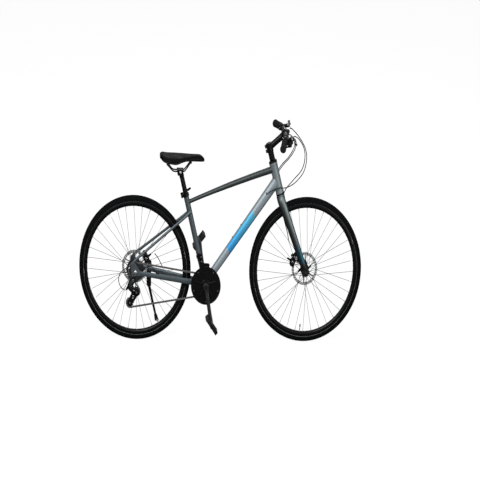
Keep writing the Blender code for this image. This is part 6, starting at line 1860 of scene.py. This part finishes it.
class BICYCLE_OT_crankset(PieceMaker, bpy.types.Operator):
    """Chainrings with their guard and spider, both cranks and the pedals"""

    bl_idname = "bicycle.crankset"
    bl_label = "Cranks and pedals"

    def execute(self, context):
        rings = Form("sprocket steel")
        for teeth, plane in CHAINRINGS:
            toothed_disc(rings, teeth, CRANK_CENTRE, plane - PLATE_HALF, plane + PLATE_HALF, 0.0240)
        rings.use("black metal")
        rings.lathe([(0.0142, CHAIN_PLANE + 0.0014), (0.0240, CHAIN_PLANE + 0.0014),
                     (0.0300, CHAIN_PLANE + 0.0006),
                     (0.0300, GUARD_PLANE - 0.0014), (0.0292, GUARD_PLANE - 0.0020),
                     (0.0142, GUARD_PLANE - 0.0020)],
                    CRANK_CENTRE, LATERAL, 56, loop=True)
        # The guard is a black plate with a rolled rim.
        near, far = GUARD_PLANE - 0.0010, GUARD_PLANE + 0.0010
        rings.slab(circle(GUARD_RADIUS, 96), near, far, CRANK_CENTRE, ALONG, UP, LATERAL, 0.0003)
        rings.lathe([(0.0896, near), (0.0915, near - 0.0003), (0.0932, near + 0.0002), (0.0935, GUARD_PLANE),
                     (0.0932, far - 0.0002), (0.0915, far + 0.0003), (0.0896, far)],
                    CRANK_CENTRE, LATERAL, 120, loop=True)
        base = CRANK_CENTRE + LATERAL * near
        for k in range(5):
            way = wheel_way(2 * math.pi * (k + 0.25) / 5)
            rings.sweep(stations_from(base, (way,), (
                (0.024, 0.0021, 0.0085), (0.042, 0.0020, 0.0060), (0.066, 0.0019, 0.0055))),
                        20, LATERAL, 6, 3.0, dome=0.002)
            rings.bolt(base + way * 0.0605 - LATERAL * 0.0018, -LATERAL, 0.0046, 0.0020)
        rings.use("chain steel")
        for k in range(5):
            rings.bolt(base + wheel_way(2 * math.pi * (k + 0.75) / 5) * 0.0790, -LATERAL, 0.0032, 0.0012)
        rings.finish("chainring_finish", "cranks", ["chainring_set"])

        for side, word in reversed(SIDES):
            self.crank(side, word, CRANK_DIRECTION * -side)
        for side, word in reversed(SIDES):
            self.pedal(side, word, CRANK_CENTRE - CRANK_DIRECTION * (side * CRANK_LENGTH), PEDAL_TILT[word])
        return {"FINISHED"}

    def crank(self, side, word, direction):
        """One crank with its cap and the pedal's threaded eye."""
        y = 0.0745 * side
        centre = CRANK_CENTRE + LATERAL * y
        far = CRANK_CENTRE + direction * CRANK_LENGTH + LATERAL * (y + 0.007 * side)
        arm = Form("black crank")
        arm.sweep(stations_from(centre, (direction,), (
            (-0.0150, 0.0082, 0.0088), (-0.008, 0.0090, 0.0150), (0.0, 0.0095, 0.0180),
                                                       (0.014, 0.0088, 0.0160),
            (0.030, 0.0080, 0.0135)))
                  + [row(centre.lerp(far, 0.35), 0.0074, 0.0118), row(centre.lerp(far, 0.6), 0.0068, 0.0112),
                     row(centre.lerp(far, 0.82), 0.0068, 0.0118)]
                  + stations_from(far, (direction,), (
                      (-0.010, 0.0068, 0.0130), (0.006, 0.0068, 0.0126), (0.0120, 0.0064, 0.0095))),
                  32, LATERAL, 6, 2.6, dome=0.003)
        way = LATERAL * side
        arm.rod(CRANK_CENTRE + way * 0.0642, CRANK_CENTRE + way * 0.0833, 0.0168, edge=0.0015, sides=44)
        arm.use("black plastic")
        arm.rod(CRANK_CENTRE + way * 0.0820, CRANK_CENTRE + way * 0.0848, 0.0112, 0.0100, sides=36)
        arm.use("silver metal")
        arm.lathe([(0.0065, 0.0), (0.0085, 0.0), (0.0088, 0.0008), (0.0070, 0.0012)], far + way * 0.0066, way,
                  28,
                  loop=True)
        if word == "left":
            # The spindle belongs to the left crank.
            arm.rod(CRANK_CENTRE - LATERAL * 0.0625, CRANK_CENTRE + LATERAL * 0.0660, 0.0085, sides=28)
        arm.finish(word + "_crank_finish", "cranks", [word + "_crank"])

    def pedal(self, side, word, axle, tilt):
        """One pedal: a barrel, a frame round it, and tread plates with teeth."""
        near, far = 0.0935, 0.1850
        along = wheel_way(math.radians(tilt))
        high = upwards(LATERAL.cross(along))
        middle = axle + LATERAL * ((near + far) / 2 * side)
        width = far - near
        pedal = Form("black plastic")
        pedal.lathe([(0.0, near), (0.0100, near), (0.0115, near + 0.0015), (0.0115, near + 0.014),
                     (0.0102, near + 0.020), (0.0102, far - 0.020), (0.0115, far - 0.014),
                     (0.0115, far - 0.0015),
                     (0.0100, far), (0.0, far)], axle, LATERAL * side, 40)
        hole = oblong(0.0765, width - 0.016, 0.006)
        pedal.slab(oblong(0.094, width, 0.012), -0.0090, 0.0090, middle, along, LATERAL, high, 0.0012, [hole])
        for end in (1, -1):
            plate = middle + along * (TREAD_OFFSET * end)
            pedal.slab(oblong(0.0075, width - 0.004, 0.002), -0.0100, 0.0100, plate, along, LATERAL, high,
                       0.0008)
            for k in range(9):
                for face in (1, -1):
                    pedal.sweep(stations_from(plate + LATERAL * (-0.036 + 0.009 * k), (high * face,), (
                        (0.0088, 0.0022, 0.0022), (0.0100, 0.0012, 0.0012))), 6, LATERAL, 1)
        # Two bars across, from one edge of the frame to the other.
        for way in (1, -1):
            bar = axle + LATERAL * (((near + far) / 2 + 0.022 * way) * side)
            pedal.sweep([row(bar + along * reach, 0.0040, 0.0065) for reach in (-0.039, 0.039)], 16, LATERAL,
                        4, 3.0)
        outward = LATERAL * side
        pedal.use("silver metal")
        pedal.rod(axle + outward * 0.0750, axle + outward * (near + 0.002), 0.0058, sides=24)
        pedal.nut(axle + outward * 0.0886, outward, 0.0088, 0.0046)
        pedal.finish(word + "_pedal_finish", word + "_pedal", [word + "_pedal"])


def belt_runs(circles):
    """Tangent lines of a belt round circles of (x, z, radius, sense)."""
    runs = []
    for i, (x1, z1, r1, s1) in enumerate(circles):
        x2, z2, r2, s2 = circles[(i + 1) % len(circles)]
        dx, dz = x2 - x1, z2 - z1
        offset = math.asin((s2 * r2 - s1 * r1) / math.hypot(dx, dz))
        normal = math.atan2(dz, dx) + math.pi / 2 + offset
        runs.append(((x1 + s1 * r1 * math.cos(normal), z1 + s1 * r1 * math.sin(normal)),
                     (x2 + s2 * r2 * math.cos(normal), z2 + s2 * r2 * math.sin(normal))))
    return runs


def chain_line():
    """Closely spaced points (x, z) along the chain's pitch line."""
    wraps = ((REAR_AXLE, 20, 1), (CRANK_CENTRE, 24, 1), (TENSION_PULLEY, PULLEY_TEETH, 1),
             (GUIDE_PULLEY, PULLEY_TEETH, -1))
    circles = [(place.x, place.z, pitch_radius(teeth), sense) for place, teeth, sense in wraps]
    runs = belt_runs(circles)
    line = []
    for i, (x, z, radius, sense) in enumerate(circles):
        arrive, leave = runs[i - 1][1], runs[i][0]
        a0 = math.atan2(arrive[1] - z, arrive[0] - x)
        a1 = math.atan2(leave[1] - z, leave[0] - x)
        turn = (a0 - a1) % (2 * math.pi) if sense > 0 else (a1 - a0) % (2 * math.pi)
        steps = max(4, round(turn / math.radians(5)))
        for k in range(steps + 1):
            angle = a0 - sense * turn * k / steps
            line.append((x + radius * math.cos(angle), z + radius * math.sin(angle)))
        end = runs[i][1]
        for k in range(1, 24):
            share = k / 24
            line.append((leave[0] + (end[0] - leave[0]) * share, leave[1] + (end[1] - leave[1]) * share))
    return line


def chain_link(outer):
    """One link about the origin, its pins half a pitch to either side."""
    link = Form("chain steel")
    half = CHAIN_PITCH / 2
    waist = arc_points((half, 0.0), 0.0042, -75, 75, 6) + arc_points((-half, 0.0), 0.0042, 105, 255, 6)
    level = 0.0030 if outer else 0.0021
    for way in (1, -1):
        link.slab(waist, way * level, way * (level + 0.0008), edge=0.0002)
    # An outer link has the pins and an inner link the rollers.
    reach, radius, sides = (0.0041, 0.0018, 8) if outer else (0.0021, 0.0038, 12)
    for end in (1, -1):
        pin = ALONG * (half * end)
        link.rod(pin - LATERAL * reach, pin + LATERAL * reach, radius, edge=0.0003, sides=sides)
    return link


class BICYCLE_OT_chain(PieceMaker, bpy.types.Operator):
    """The chain, link by link, and the seven sprockets"""

    bl_idname = "bicycle.chain"
    bl_label = "Chain and sprockets"

    def execute(self, context):
        line = chain_line()
        length = sum(math.dist(a, b) for a, b in zip(line, line[1:] + line[:1]))
        count = 2 * round(length / CHAIN_PITCH / 2)
        curve = bpy.data.curves.new("chain path", "CURVE")
        curve.dimensions = "3D"
        spline = curve.splines.new("POLY")
        spline.points.add(len(line) - 1)
        for point, (x, z) in zip(spline.points, line):
            point.co = (x, CHAIN_PLANE, z, 1.0)
        spline.use_cyclic_u = True
        path = bpy.data.objects.new("chain path", curve)
        context.collection.objects.link(path)
        chain = Form("chain steel")
        for parity in (0, 1):
            tile = chain_link(parity == 0)
            thing = bpy.data.objects.new("link", tile.plain("link"))
            context.collection.objects.link(thing)
            set_inputs(thing, chain_tree(), {
                "Path": path, "Count": count, "Parity": parity, "Material": finish_of("chain steel")})
            chain.absorb(evaluated(thing))
        bpy.data.objects.remove(path)
        chain.finish("chain_finish", "frame", ["chain"])

        cassette = Form("sprocket steel")
        for i, teeth in enumerate(FREEWHEEL_TEETH):
            plane = CHAIN_PLANE + 0.005 * (3 - i)
            toothed_disc(cassette, teeth, REAR_AXLE, plane - PLATE_HALF, plane + PLATE_HALF, 0.0205)
        cassette.use("silver metal")
        cassette.lathe([(0.0168, -0.0252), (0.0215, -0.0252), (0.0215, -0.0575), (0.0205, -0.0590),
                        (0.0168, -0.0590)],
                       REAR_AXLE, LATERAL, 56, loop=True)
        cassette.finish("sprockets_finish", "freewheel", ["freewheel"])
        return {"FINISHED"}


class BICYCLE_OT_derailleurs(PieceMaker, bpy.types.Operator):
    """Rear derailleur with its cage and pulleys, and the front derailleur"""

    bl_idname = "bicycle.derailleurs"
    bl_label = "Derailleurs"

    def execute(self, context):
        for word, centre in (("guide", GUIDE_PULLEY), ("tension", TENSION_PULLEY)):
            pulley = Form("black plastic")
            toothed_disc(pulley, PULLEY_TEETH, centre, CHAIN_PLANE - 0.0010, CHAIN_PLANE + 0.0010, 0.0046)
            pulley.collar(0.0046, 0.0112, -0.0018, 0.0018, centre, sides=32, ease=(0.0007, 0.0008))
            pulley.use("silver metal")
            pulley.lathe([(0.0043, -0.0030), (0.0066, -0.0030), (0.0066, 0.0030), (0.0043, 0.0030)], centre,
                         LATERAL, 24,
                         loop=True)
            pulley.finish(word + "_pulley_finish", word + "_pulley", [word + "_pulley"])

        gear = Form("black metal")
        link = TENSION_PULLEY - GUIDE_PULLEY
        base = math.degrees(math.atan2(link.z, link.x))
        for offset in (0.0058, -0.0058):
            outline = arc_points((GUIDE_PULLEY.x, GUIDE_PULLEY.z), 0.0190, base + 96, base + 264, 14)
            outline += arc_points((TENSION_PULLEY.x, TENSION_PULLEY.z), 0.0165, base - 84, base + 84, 14)
            mid = (GUIDE_PULLEY + TENSION_PULLEY) / 2
            way = Vector((link.x, link.z)).normalized()
            off = Vector((-way.y, way.x))
            window = [tuple(Vector((mid.x, mid.z)) + way * a + off * b)
                      for a, b in rounded([(-0.010, -0.0060), (0.010, -0.0055), (0.010, 0.0055),
                                           (-0.010, 0.0060)], 0.004)]
            gear.slab(outline, CHAIN_PLANE + offset - 0.0008, CHAIN_PLANE + offset + 0.0008, edge=0.0003,
                      holes=(window,))
        for c in (GUIDE_PULLEY, TENSION_PULLEY):
            gear.use("silver metal")
            gear.rod(c - LATERAL * 0.0066, c + LATERAL * 0.0066, 0.0040, sides=20)
            gear.bolt(c - LATERAL * 0.0066, -LATERAL, 0.0044, 0.0018)
        gear.use("black metal")
        hanger = Vector((-0.0160, -0.0745, 0.3140))
        # The barrel on the hanger, the barrel at the cage, and the body that joins them.
        gear.lathe([(0.0, 0.0748), (0.0135, 0.0748), (0.0155, 0.0770), (0.0155, 0.0885), (0.0140, 0.0920),
                    (0.0095, 0.0930), (0.0, 0.0930)], Vector((hanger.x, 0.0, hanger.z)), -LATERAL, 40)
        gear.lathe([(0.0, 0.0486), (0.0180, 0.0486), (0.0195, 0.0500), (0.0195, 0.0690), (0.0178, 0.0735),
                    (0.0120, 0.0750), (0.0, 0.0750)], Vector((0.004, 0.0, 0.2500)), -LATERAL, 44)
        gear.sweep([(-0.014, -0.0865, 0.316, 0.0050, 0.0140), (-0.027, -0.0867, 0.300, 0.0050, 0.0160),
                    (-0.036, -0.0865, 0.284, 0.0048, 0.0172), (-0.023, -0.0795, 0.268, 0.0048, 0.0172),
                    (-0.010, -0.0735, 0.256, 0.0048, 0.0166), (0.004, -0.0690, 0.250, 0.0045, 0.0138)],
                   28, LATERAL, 6, 2.6, dome=0.003)
        gear.use("black crank")
        gear.sweep([(-0.020, -0.0935, 0.308, 0.0016, 0.0070), (-0.036, -0.0933, 0.288, 0.0016, 0.0085),
                    (-0.018, -0.0850, 0.266, 0.0016, 0.0080)], 20, LATERAL, 6, 2.8, dome=0.001)
        gear.use("black metal")
        gear.sweep([(-0.036, -0.0845, 0.292, 0.0035, 0.0060), (-0.050, -0.0835, 0.278, 0.0036, 0.0066),
                    (-0.059, -0.0825, 0.267, 0.0035, 0.0056)], 20, LATERAL, 5, 2.4, dome=0.002)
        gear.use("silver metal")
        gear.bolt(Vector((hanger.x, -0.0925, hanger.z)), -LATERAL, 0.0062, 0.0022)
        for x, y, z in ((-0.0300, -0.0912, 0.2880), (-0.0120, -0.0865, 0.2635), (0.0040, -0.0748, 0.2500)):
            gear.bolt(Vector((x, y, z)), -LATERAL, 0.0040, 0.0020)
        gear.rod(hanger + Vector((-0.045, -0.0085, -0.046)), hanger + Vector((-0.049, -0.0090, -0.050)),
                 0.0036)
        gear.finish("rear_derailleur_finish", "frame", ["rear_derailleur"])

        height = 0.135
        front = Form("black metal")
        front.collar(SEAT_TUBE_RADIUS + 0.0003, SEAT_TUBE_RADIUS + 0.0035, height - 0.007, height + 0.007,
                     CRANK_CENTRE,
                     SEAT_TUBE_DIRECTION, ease=(0.0005, 0.0010))
        front.brick(on_seat(height, 0.002, -0.0255), (0.030, 0.020, 0.034), ALONG, UP, 0.004, 0.0014)
        front.brick(on_seat(height - 0.018, 0.006, -0.0330), (0.016, 0.0120, 0.034), ALONG, UP, 0.003, 0.0012)
        centre = (CRANK_CENTRE.x, CRANK_CENTRE.z)
        for near, far, low in ((-0.0335, -0.0350, 0.064), (-0.0485, -0.0500, 0.0905)):
            outline = arc_points(centre, low, 76, 112, 12) + arc_points(centre, 0.1040, 112, 76, 12)
            front.slab(rounded(outline, 0.002, 1), near, far, edge=0.0004)
        # Two bridges join the cage's plates.
        for x, z in ((-0.0309, 0.0951), (0.0174, 0.0985)):
            front.brick(CRANK_CENTRE + Vector((x, -0.0418, z)), (0.005, 0.0170, 0.006), ALONG, UP, 0.001,
                        0.0004)
        front.use("silver metal")
        front.bolt(on_seat(height, 0.010, -0.0356), -LATERAL, 0.0036, 0.0022)
        front.bolt(on_seat(height - 0.020, 0.006, -0.0390), -LATERAL, 0.0032, 0.0022)
        front.finish("front_derailleur_finish", "frame", ["front_derailleur"])
        return {"FINISHED"}


# Brakes, stand and cables

class BICYCLE_OT_brakes(PieceMaker, bpy.types.Operator):
    """Disc brake calipers and the arms that their cables pull"""

    bl_idname = "bicycle.brakes"
    bl_label = "Disc brakes"

    def execute(self, context):
        for word, centre, mount_plane in (("front", FRONT_AXLE, 0.0515), ("rear", REAR_AXLE, 0.0640)):
            outward = wheel_way(CALIPER_TURN[word])
            along = upwards(outward.cross(LATERAL))
            middle = centre + outward * 0.0820 + LATERAL * ROTOR_PLANE[word]
            body = Form("black metal")
            # Two half shells with the slot for the disc between them, joined beyond the disc's edge.
            for way in (1, -1):
                shell = rounded([(-0.0150, -0.0200), (0.0080, -0.0220), (0.0150, -0.0150), (0.0150, 0.0150),
                                 (0.0080, 0.0220), (-0.0150, 0.0200)], 0.006)
                body.slab(shell, 0.0018 * way, 0.0100 * way, middle, outward, along, LATERAL, 0.0014)
            body.brick(middle + outward * 0.0095, (0.0100, 0.0180, 0.034), outward, along, 0.003, 0.0012)
            inner, outer = middle.y + 0.001, mount_plane - 0.0003
            for place in ((0.027,) if word == "front" else (0.026, -0.022)):
                spot = Vector((middle.x, (inner + outer) / 2, middle.z)) + along * place
                body.brick(spot, (0.012, outer - inner, 0.016), outward, along, 0.003, 0.0010)
                body.use("silver metal")
                body.bolt(Vector((spot.x, inner - 0.0002, spot.z)), -LATERAL, 0.0042, 0.0034)
                body.use("black metal")
            # The stop of the cable's housing.
            way = 1 if word == "front" else -1
            stop = middle + outward * 0.017 + along * (0.0255 * way) + LATERAL * 0.003
            body.brick(stop, (0.011, 0.013, 0.010), outward, along, 0.003, 0.0010)
            body.use("silver metal")
            body.rod(stop + along * (0.004 * way), stop + along * (0.013 * way), 0.0036)
            body.rod(middle - LATERAL * 0.0098, middle - LATERAL * 0.0122, 0.0075, sides=28)
            body.bolt(middle - LATERAL * 0.0122, -LATERAL, 0.0050, 0.0014)
            body.finish(word + "_caliper_finish", "steering_assembly" if word == "front" else "frame",
                        [word + "_caliper"])

            axis = middle + LATERAL * 0.0103
            reach = outward * 0.036 + along * 0.002
            level = axis + LATERAL * 0.0022
            arm = Form("black metal")
            arm.rod(axis, axis + LATERAL * 0.0042, 0.0105, edge=0.0010, sides=36)
            arm.sweep(stations_from(level, (reach,), (
                (0.0, 0.0017, 0.0062), (0.35, 0.0017, 0.0054), (0.6, 0.0017, 0.0050),
                                                      (0.96, 0.0017, 0.0048))),
                      20, LATERAL, 5, 3.0, dome=0.002)
            arm.use("silver metal")
            arm.bolt(axis + LATERAL * 0.0042, LATERAL, 0.0052, 0.0018)
            arm.bolt(level + reach * 0.93 + LATERAL * 0.0016, LATERAL, 0.0036, 0.0022)
            arm.finish(word + "_brake_arm", word + "_caliper_arm", [word + "_caliper_arm"])
        return {"FINISHED"}


# Straight down to the ground, seen from the upright drawing of the machine that leans.
DOWN = Vector((0.0, math.sin(LEAN), -math.cos(LEAN)))


def ground_point(place):
    """The point of the ground straight under a place, once the machine leans."""
    level = LIFT + DOWN * TYRE_RADIUS
    return place + DOWN * (level - place).dot(DOWN)


class BICYCLE_OT_kickstand(PieceMaker, bpy.types.Operator):
    """Kickstand with its rubber foot"""

    bl_idname = "bicycle.kickstand"
    bl_label = "Kickstand"

    def execute(self, context):
        out = STAND_PIVOT + STAND_AXIS * 0.0125
        knee = out + Vector((0.006, 0.012, -0.026))
        direction = (STAND_FOOT - knee).normalized()
        leg = Form("black steel")
        leg.sweep([row(out + Vector((-0.001, 0.002, 0.007)), 0.0058, 0.0096),
                   row(out + Vector((0.001, 0.005, -0.010)), 0.0062, 0.0095), row(knee, 0.0064, 0.0086),
                   row(knee.lerp(STAND_FOOT, 0.15), 0.0062, 0.0078),
                   row(knee.lerp(STAND_FOOT, 0.5), 0.0060, 0.0070),
                   row(knee.lerp(STAND_FOOT, 0.86), 0.0055, 0.0065)], 28, LATERAL, 7, 2.3, dome=0.002)
        leg.lathe([(0.0, 0.0072), (0.0100, 0.0072), (0.0110, 0.0082), (0.0110, 0.0152), (0.0100, 0.0165),
                   (0.0, 0.0165)],
                  STAND_PIVOT, STAND_AXIS, 36)
        leg.rod(STAND_PIVOT - STAND_AXIS * 0.0060, STAND_PIVOT + STAND_AXIS * 0.0140, 0.0042)
        leg.use("silver metal")
        leg.bolt(STAND_PIVOT + STAND_AXIS * 0.0165, STAND_AXIS, 0.0060, 0.0016)
        # The rubber foot is cut flat where it stands.
        foot = Form("tyre rubber")
        foot.sweep([row(knee.lerp(STAND_FOOT, 0.835), 0.0080, 0.0088),
                    row(knee.lerp(STAND_FOOT, 0.87), 0.0092, 0.0102),
                    row(knee.lerp(STAND_FOOT, 0.93), 0.0098, 0.0112), row(STAND_FOOT, 0.0104, 0.0119),
                    row(STAND_FOOT + direction * 0.0125, 0.0105, 0.0120)], 28, LATERAL, 6, 2.5)
        whole = foot.shape.verts[:] + foot.shape.edges[:] + foot.shape.faces[:]
        result = bmesh.ops.bisect_plane(foot.shape, geom=whole, plane_co=ground_point(STAND_FOOT),
                                        plane_no=DOWN,
                                        clear_outer=True)
        edges = [e for e in result["geom_cut"] if isinstance(e, bmesh.types.BMEdge)]
        bmesh.ops.edgeloop_fill(foot.shape, edges=edges)
        leg.use("tyre rubber")
        leg.absorb(foot.plain("foot"))
        leg.finish("kickstand_finish", "kickstand", ["kickstand_leg"])
        return {"FINISHED"}


# Each housing's points, as in the solids.
CABLE_ROUTES = {
    "front_brake_cable": ((0.9520, -0.1040, 0.9880), (0.9640, -0.0800, 0.9880), (0.9950, -0.0300, 0.9660),
                          (1.0300, 0.0050, 0.9200),
                          (1.0400, 0.0200, 0.8700), (1.0250, 0.0330, 0.8150), (0.9750, 0.0400, 0.7650),
                          (0.9320, 0.0500, 0.7200),
                          (0.9120, 0.0620, 0.6600), (0.9250, 0.0680, 0.5900), (0.9500, 0.0680, 0.5200),
                          (0.9640, 0.0620, 0.4700)),
    "rear_brake_cable": ((0.9520, 0.1040, 0.9880), (0.9640, 0.0800, 0.9880), (0.9990, 0.0150, 0.9680),
                         (1.0360, -0.0080, 0.9230),
                         (1.0470, -0.0180, 0.8750), (1.0300, -0.0270, 0.8170), (0.9800, -0.0330, 0.7700),
                         (0.9300, -0.0360, 0.7480),
                         (0.8880, -0.0350, 0.7440), (0.8450, -0.0330, 0.7330), (0.8180, -0.0285, 0.7190),
                         (0.8130, -0.0240, 0.7165)),
    "rear_shift_cable": ((0.9450, -0.0750, 0.9650), (0.9550, -0.0500, 0.9640), (0.9750, -0.0100, 0.9480),
                         (0.9680, 0.0120, 0.9120),
                         (0.9400, 0.0240, 0.8720), (0.9050, 0.0330, 0.8400), (0.8800, 0.0350, 0.8100),
                         (0.8500, 0.0345, 0.7700),
                         (0.8280, 0.0310, 0.7430)),
    "front_shift_cable": ((0.9450, 0.0750, 0.9650), (0.9570, 0.0560, 0.9640), (0.9830, 0.0220, 0.9450),
                          (0.9780, 0.0260, 0.9080),
                          (0.9480, 0.0330, 0.8680), (0.9120, 0.0390, 0.8350), (0.8820, 0.0420, 0.8000),
                          (0.8480, 0.0405, 0.7550),
                          (0.8180, 0.0330, 0.7230)),
    "rear_brake_cable_end": ((0.1270, 0.0620, 0.4080), (0.1450, 0.0640, 0.3900), (0.1620, 0.0655, 0.3650),
                             (0.1760, 0.0640, 0.3420)),
    "rear_shift_cable_loop": ((-0.0330, -0.0760, 0.3700), (-0.0700, -0.0790, 0.3640),
                              (-0.1000, -0.0820, 0.3380), (-0.1060, -0.0835, 0.3050),
                              (-0.0900, -0.0840, 0.2750), (-0.0640, -0.0830, 0.2640)),
}
BENDING = ("rear_brake_cable", "rear_shift_cable", "front_shift_cable")
HOUSING_RADIUS, WIRE_RADIUS, FERRULE_RADIUS, FERRULE_LENGTH = 0.0024, 0.0012, 0.0030, 0.011
# The bare wires that run on from a housing's end to the stop on its caliper.
BARE_WIRES = {
    "front_brake_cable": ((0.9640, 0.0620, 0.4700), (0.9725, 0.0555, 0.4500), (0.9810, 0.0465, 0.4330),
                          (0.9869, 0.0415, 0.4231)),
    "rear_brake_cable_end": ((0.1760, 0.0640, 0.3420), (0.1790, 0.0630, 0.3270), (0.1640, 0.0590, 0.3120),
                             (0.1340, 0.0530, 0.3180),
                             (0.1150, 0.0500, 0.3436), (0.1055, 0.0495, 0.3615)),
}


class BICYCLE_OT_cables(PieceMaker, bpy.types.Operator):
    """Cable housings with their ferrules, and the bare wires at the calipers"""

    bl_idname = "bicycle.cables"
    bl_label = "Cables"

    def execute(self, context):
        sides = build_settings().cable_sides
        for name, points in CABLE_ROUTES.items():
            route = [Vector(p) for p in points]
            cable = Form("housing")
            cable.sweep([(*p, HOUSING_RADIUS, HOUSING_RADIUS) for p in points], sides, LATERAL, 14,
                        carry=True)
            cable.use("silver metal")
            for end, nearby in ((route[0], route[1]), (route[-1], route[-2])):
                way = (nearby - end).normalized()
                cable.rod(end, end + way * FERRULE_LENGTH, FERRULE_RADIUS, sides=16)
            if name in BARE_WIRES:
                cable.use("black steel")
                cable.sweep([(*p, WIRE_RADIUS, WIRE_RADIUS) for p in BARE_WIRES[name]], sides, LATERAL, 8,
                            carry=True)
            piece = cable.finish(name + "_finish", None, [name])
            if name in BENDING:
                # Held by the bars above and by the frame below.
                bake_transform(piece)
            else:
                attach(piece, "steering_assembly" if name == "front_brake_cable" else "frame")
        return {"FINISHED"}


# Panel and registration

OPERATORS = (BICYCLE_OT_stage, BICYCLE_OT_main_tubes, BICYCLE_OT_rear_stays, BICYCLE_OT_fork,
             BICYCLE_OT_stem_and_bar,
             BICYCLE_OT_grips, BICYCLE_OT_controls, BICYCLE_OT_saddle, BICYCLE_OT_seatpost, BICYCLE_OT_wheels,
             BICYCLE_OT_axles, BICYCLE_OT_crankset, BICYCLE_OT_chain, BICYCLE_OT_derailleurs,
             BICYCLE_OT_brakes,
             BICYCLE_OT_kickstand, BICYCLE_OT_cables)


class BICYCLE_PT_panel(bpy.types.Panel):
    """Lists the bicycle's pieces and settings in the sidebar"""

    bl_label = "Bicycle"
    bl_idname = "BICYCLE_PT_panel"
    bl_space_type = "VIEW_3D"
    bl_region_type = "UI"
    bl_category = "Bicycle"

    def draw(self, context):
        layout = self.layout
        for group in (context.scene.bicycle_look, context.scene.bicycle_build):
            column = layout.column(align=True)
            for name in group.bl_rna.properties.keys():
                if name not in ("rna_type", "name"):
                    column.prop(group, name)
        column = layout.column(align=True)
        for operator in OPERATORS:
            column.operator(operator.bl_idname)


CLASSES = (BicycleLook, BicycleBuild, *OPERATORS, BICYCLE_PT_panel)


def register():
    for item in CLASSES:
        bpy.utils.register_class(item)
    bpy.types.Scene.bicycle_look = bpy.props.PointerProperty(type=BicycleLook)
    bpy.types.Scene.bicycle_build = bpy.props.PointerProperty(type=BicycleBuild)


def unregister():
    del bpy.types.Scene.bicycle_build
    del bpy.types.Scene.bicycle_look
    for item in reversed(CLASSES):
        bpy.utils.unregister_class(item)


def main():
    """Builds every piece in order."""
    register()
    for operator in OPERATORS:
        group, word = operator.bl_idname.split(".")
        getattr(getattr(bpy.ops, group), word)()


if __name__ == "__main__":
    main()
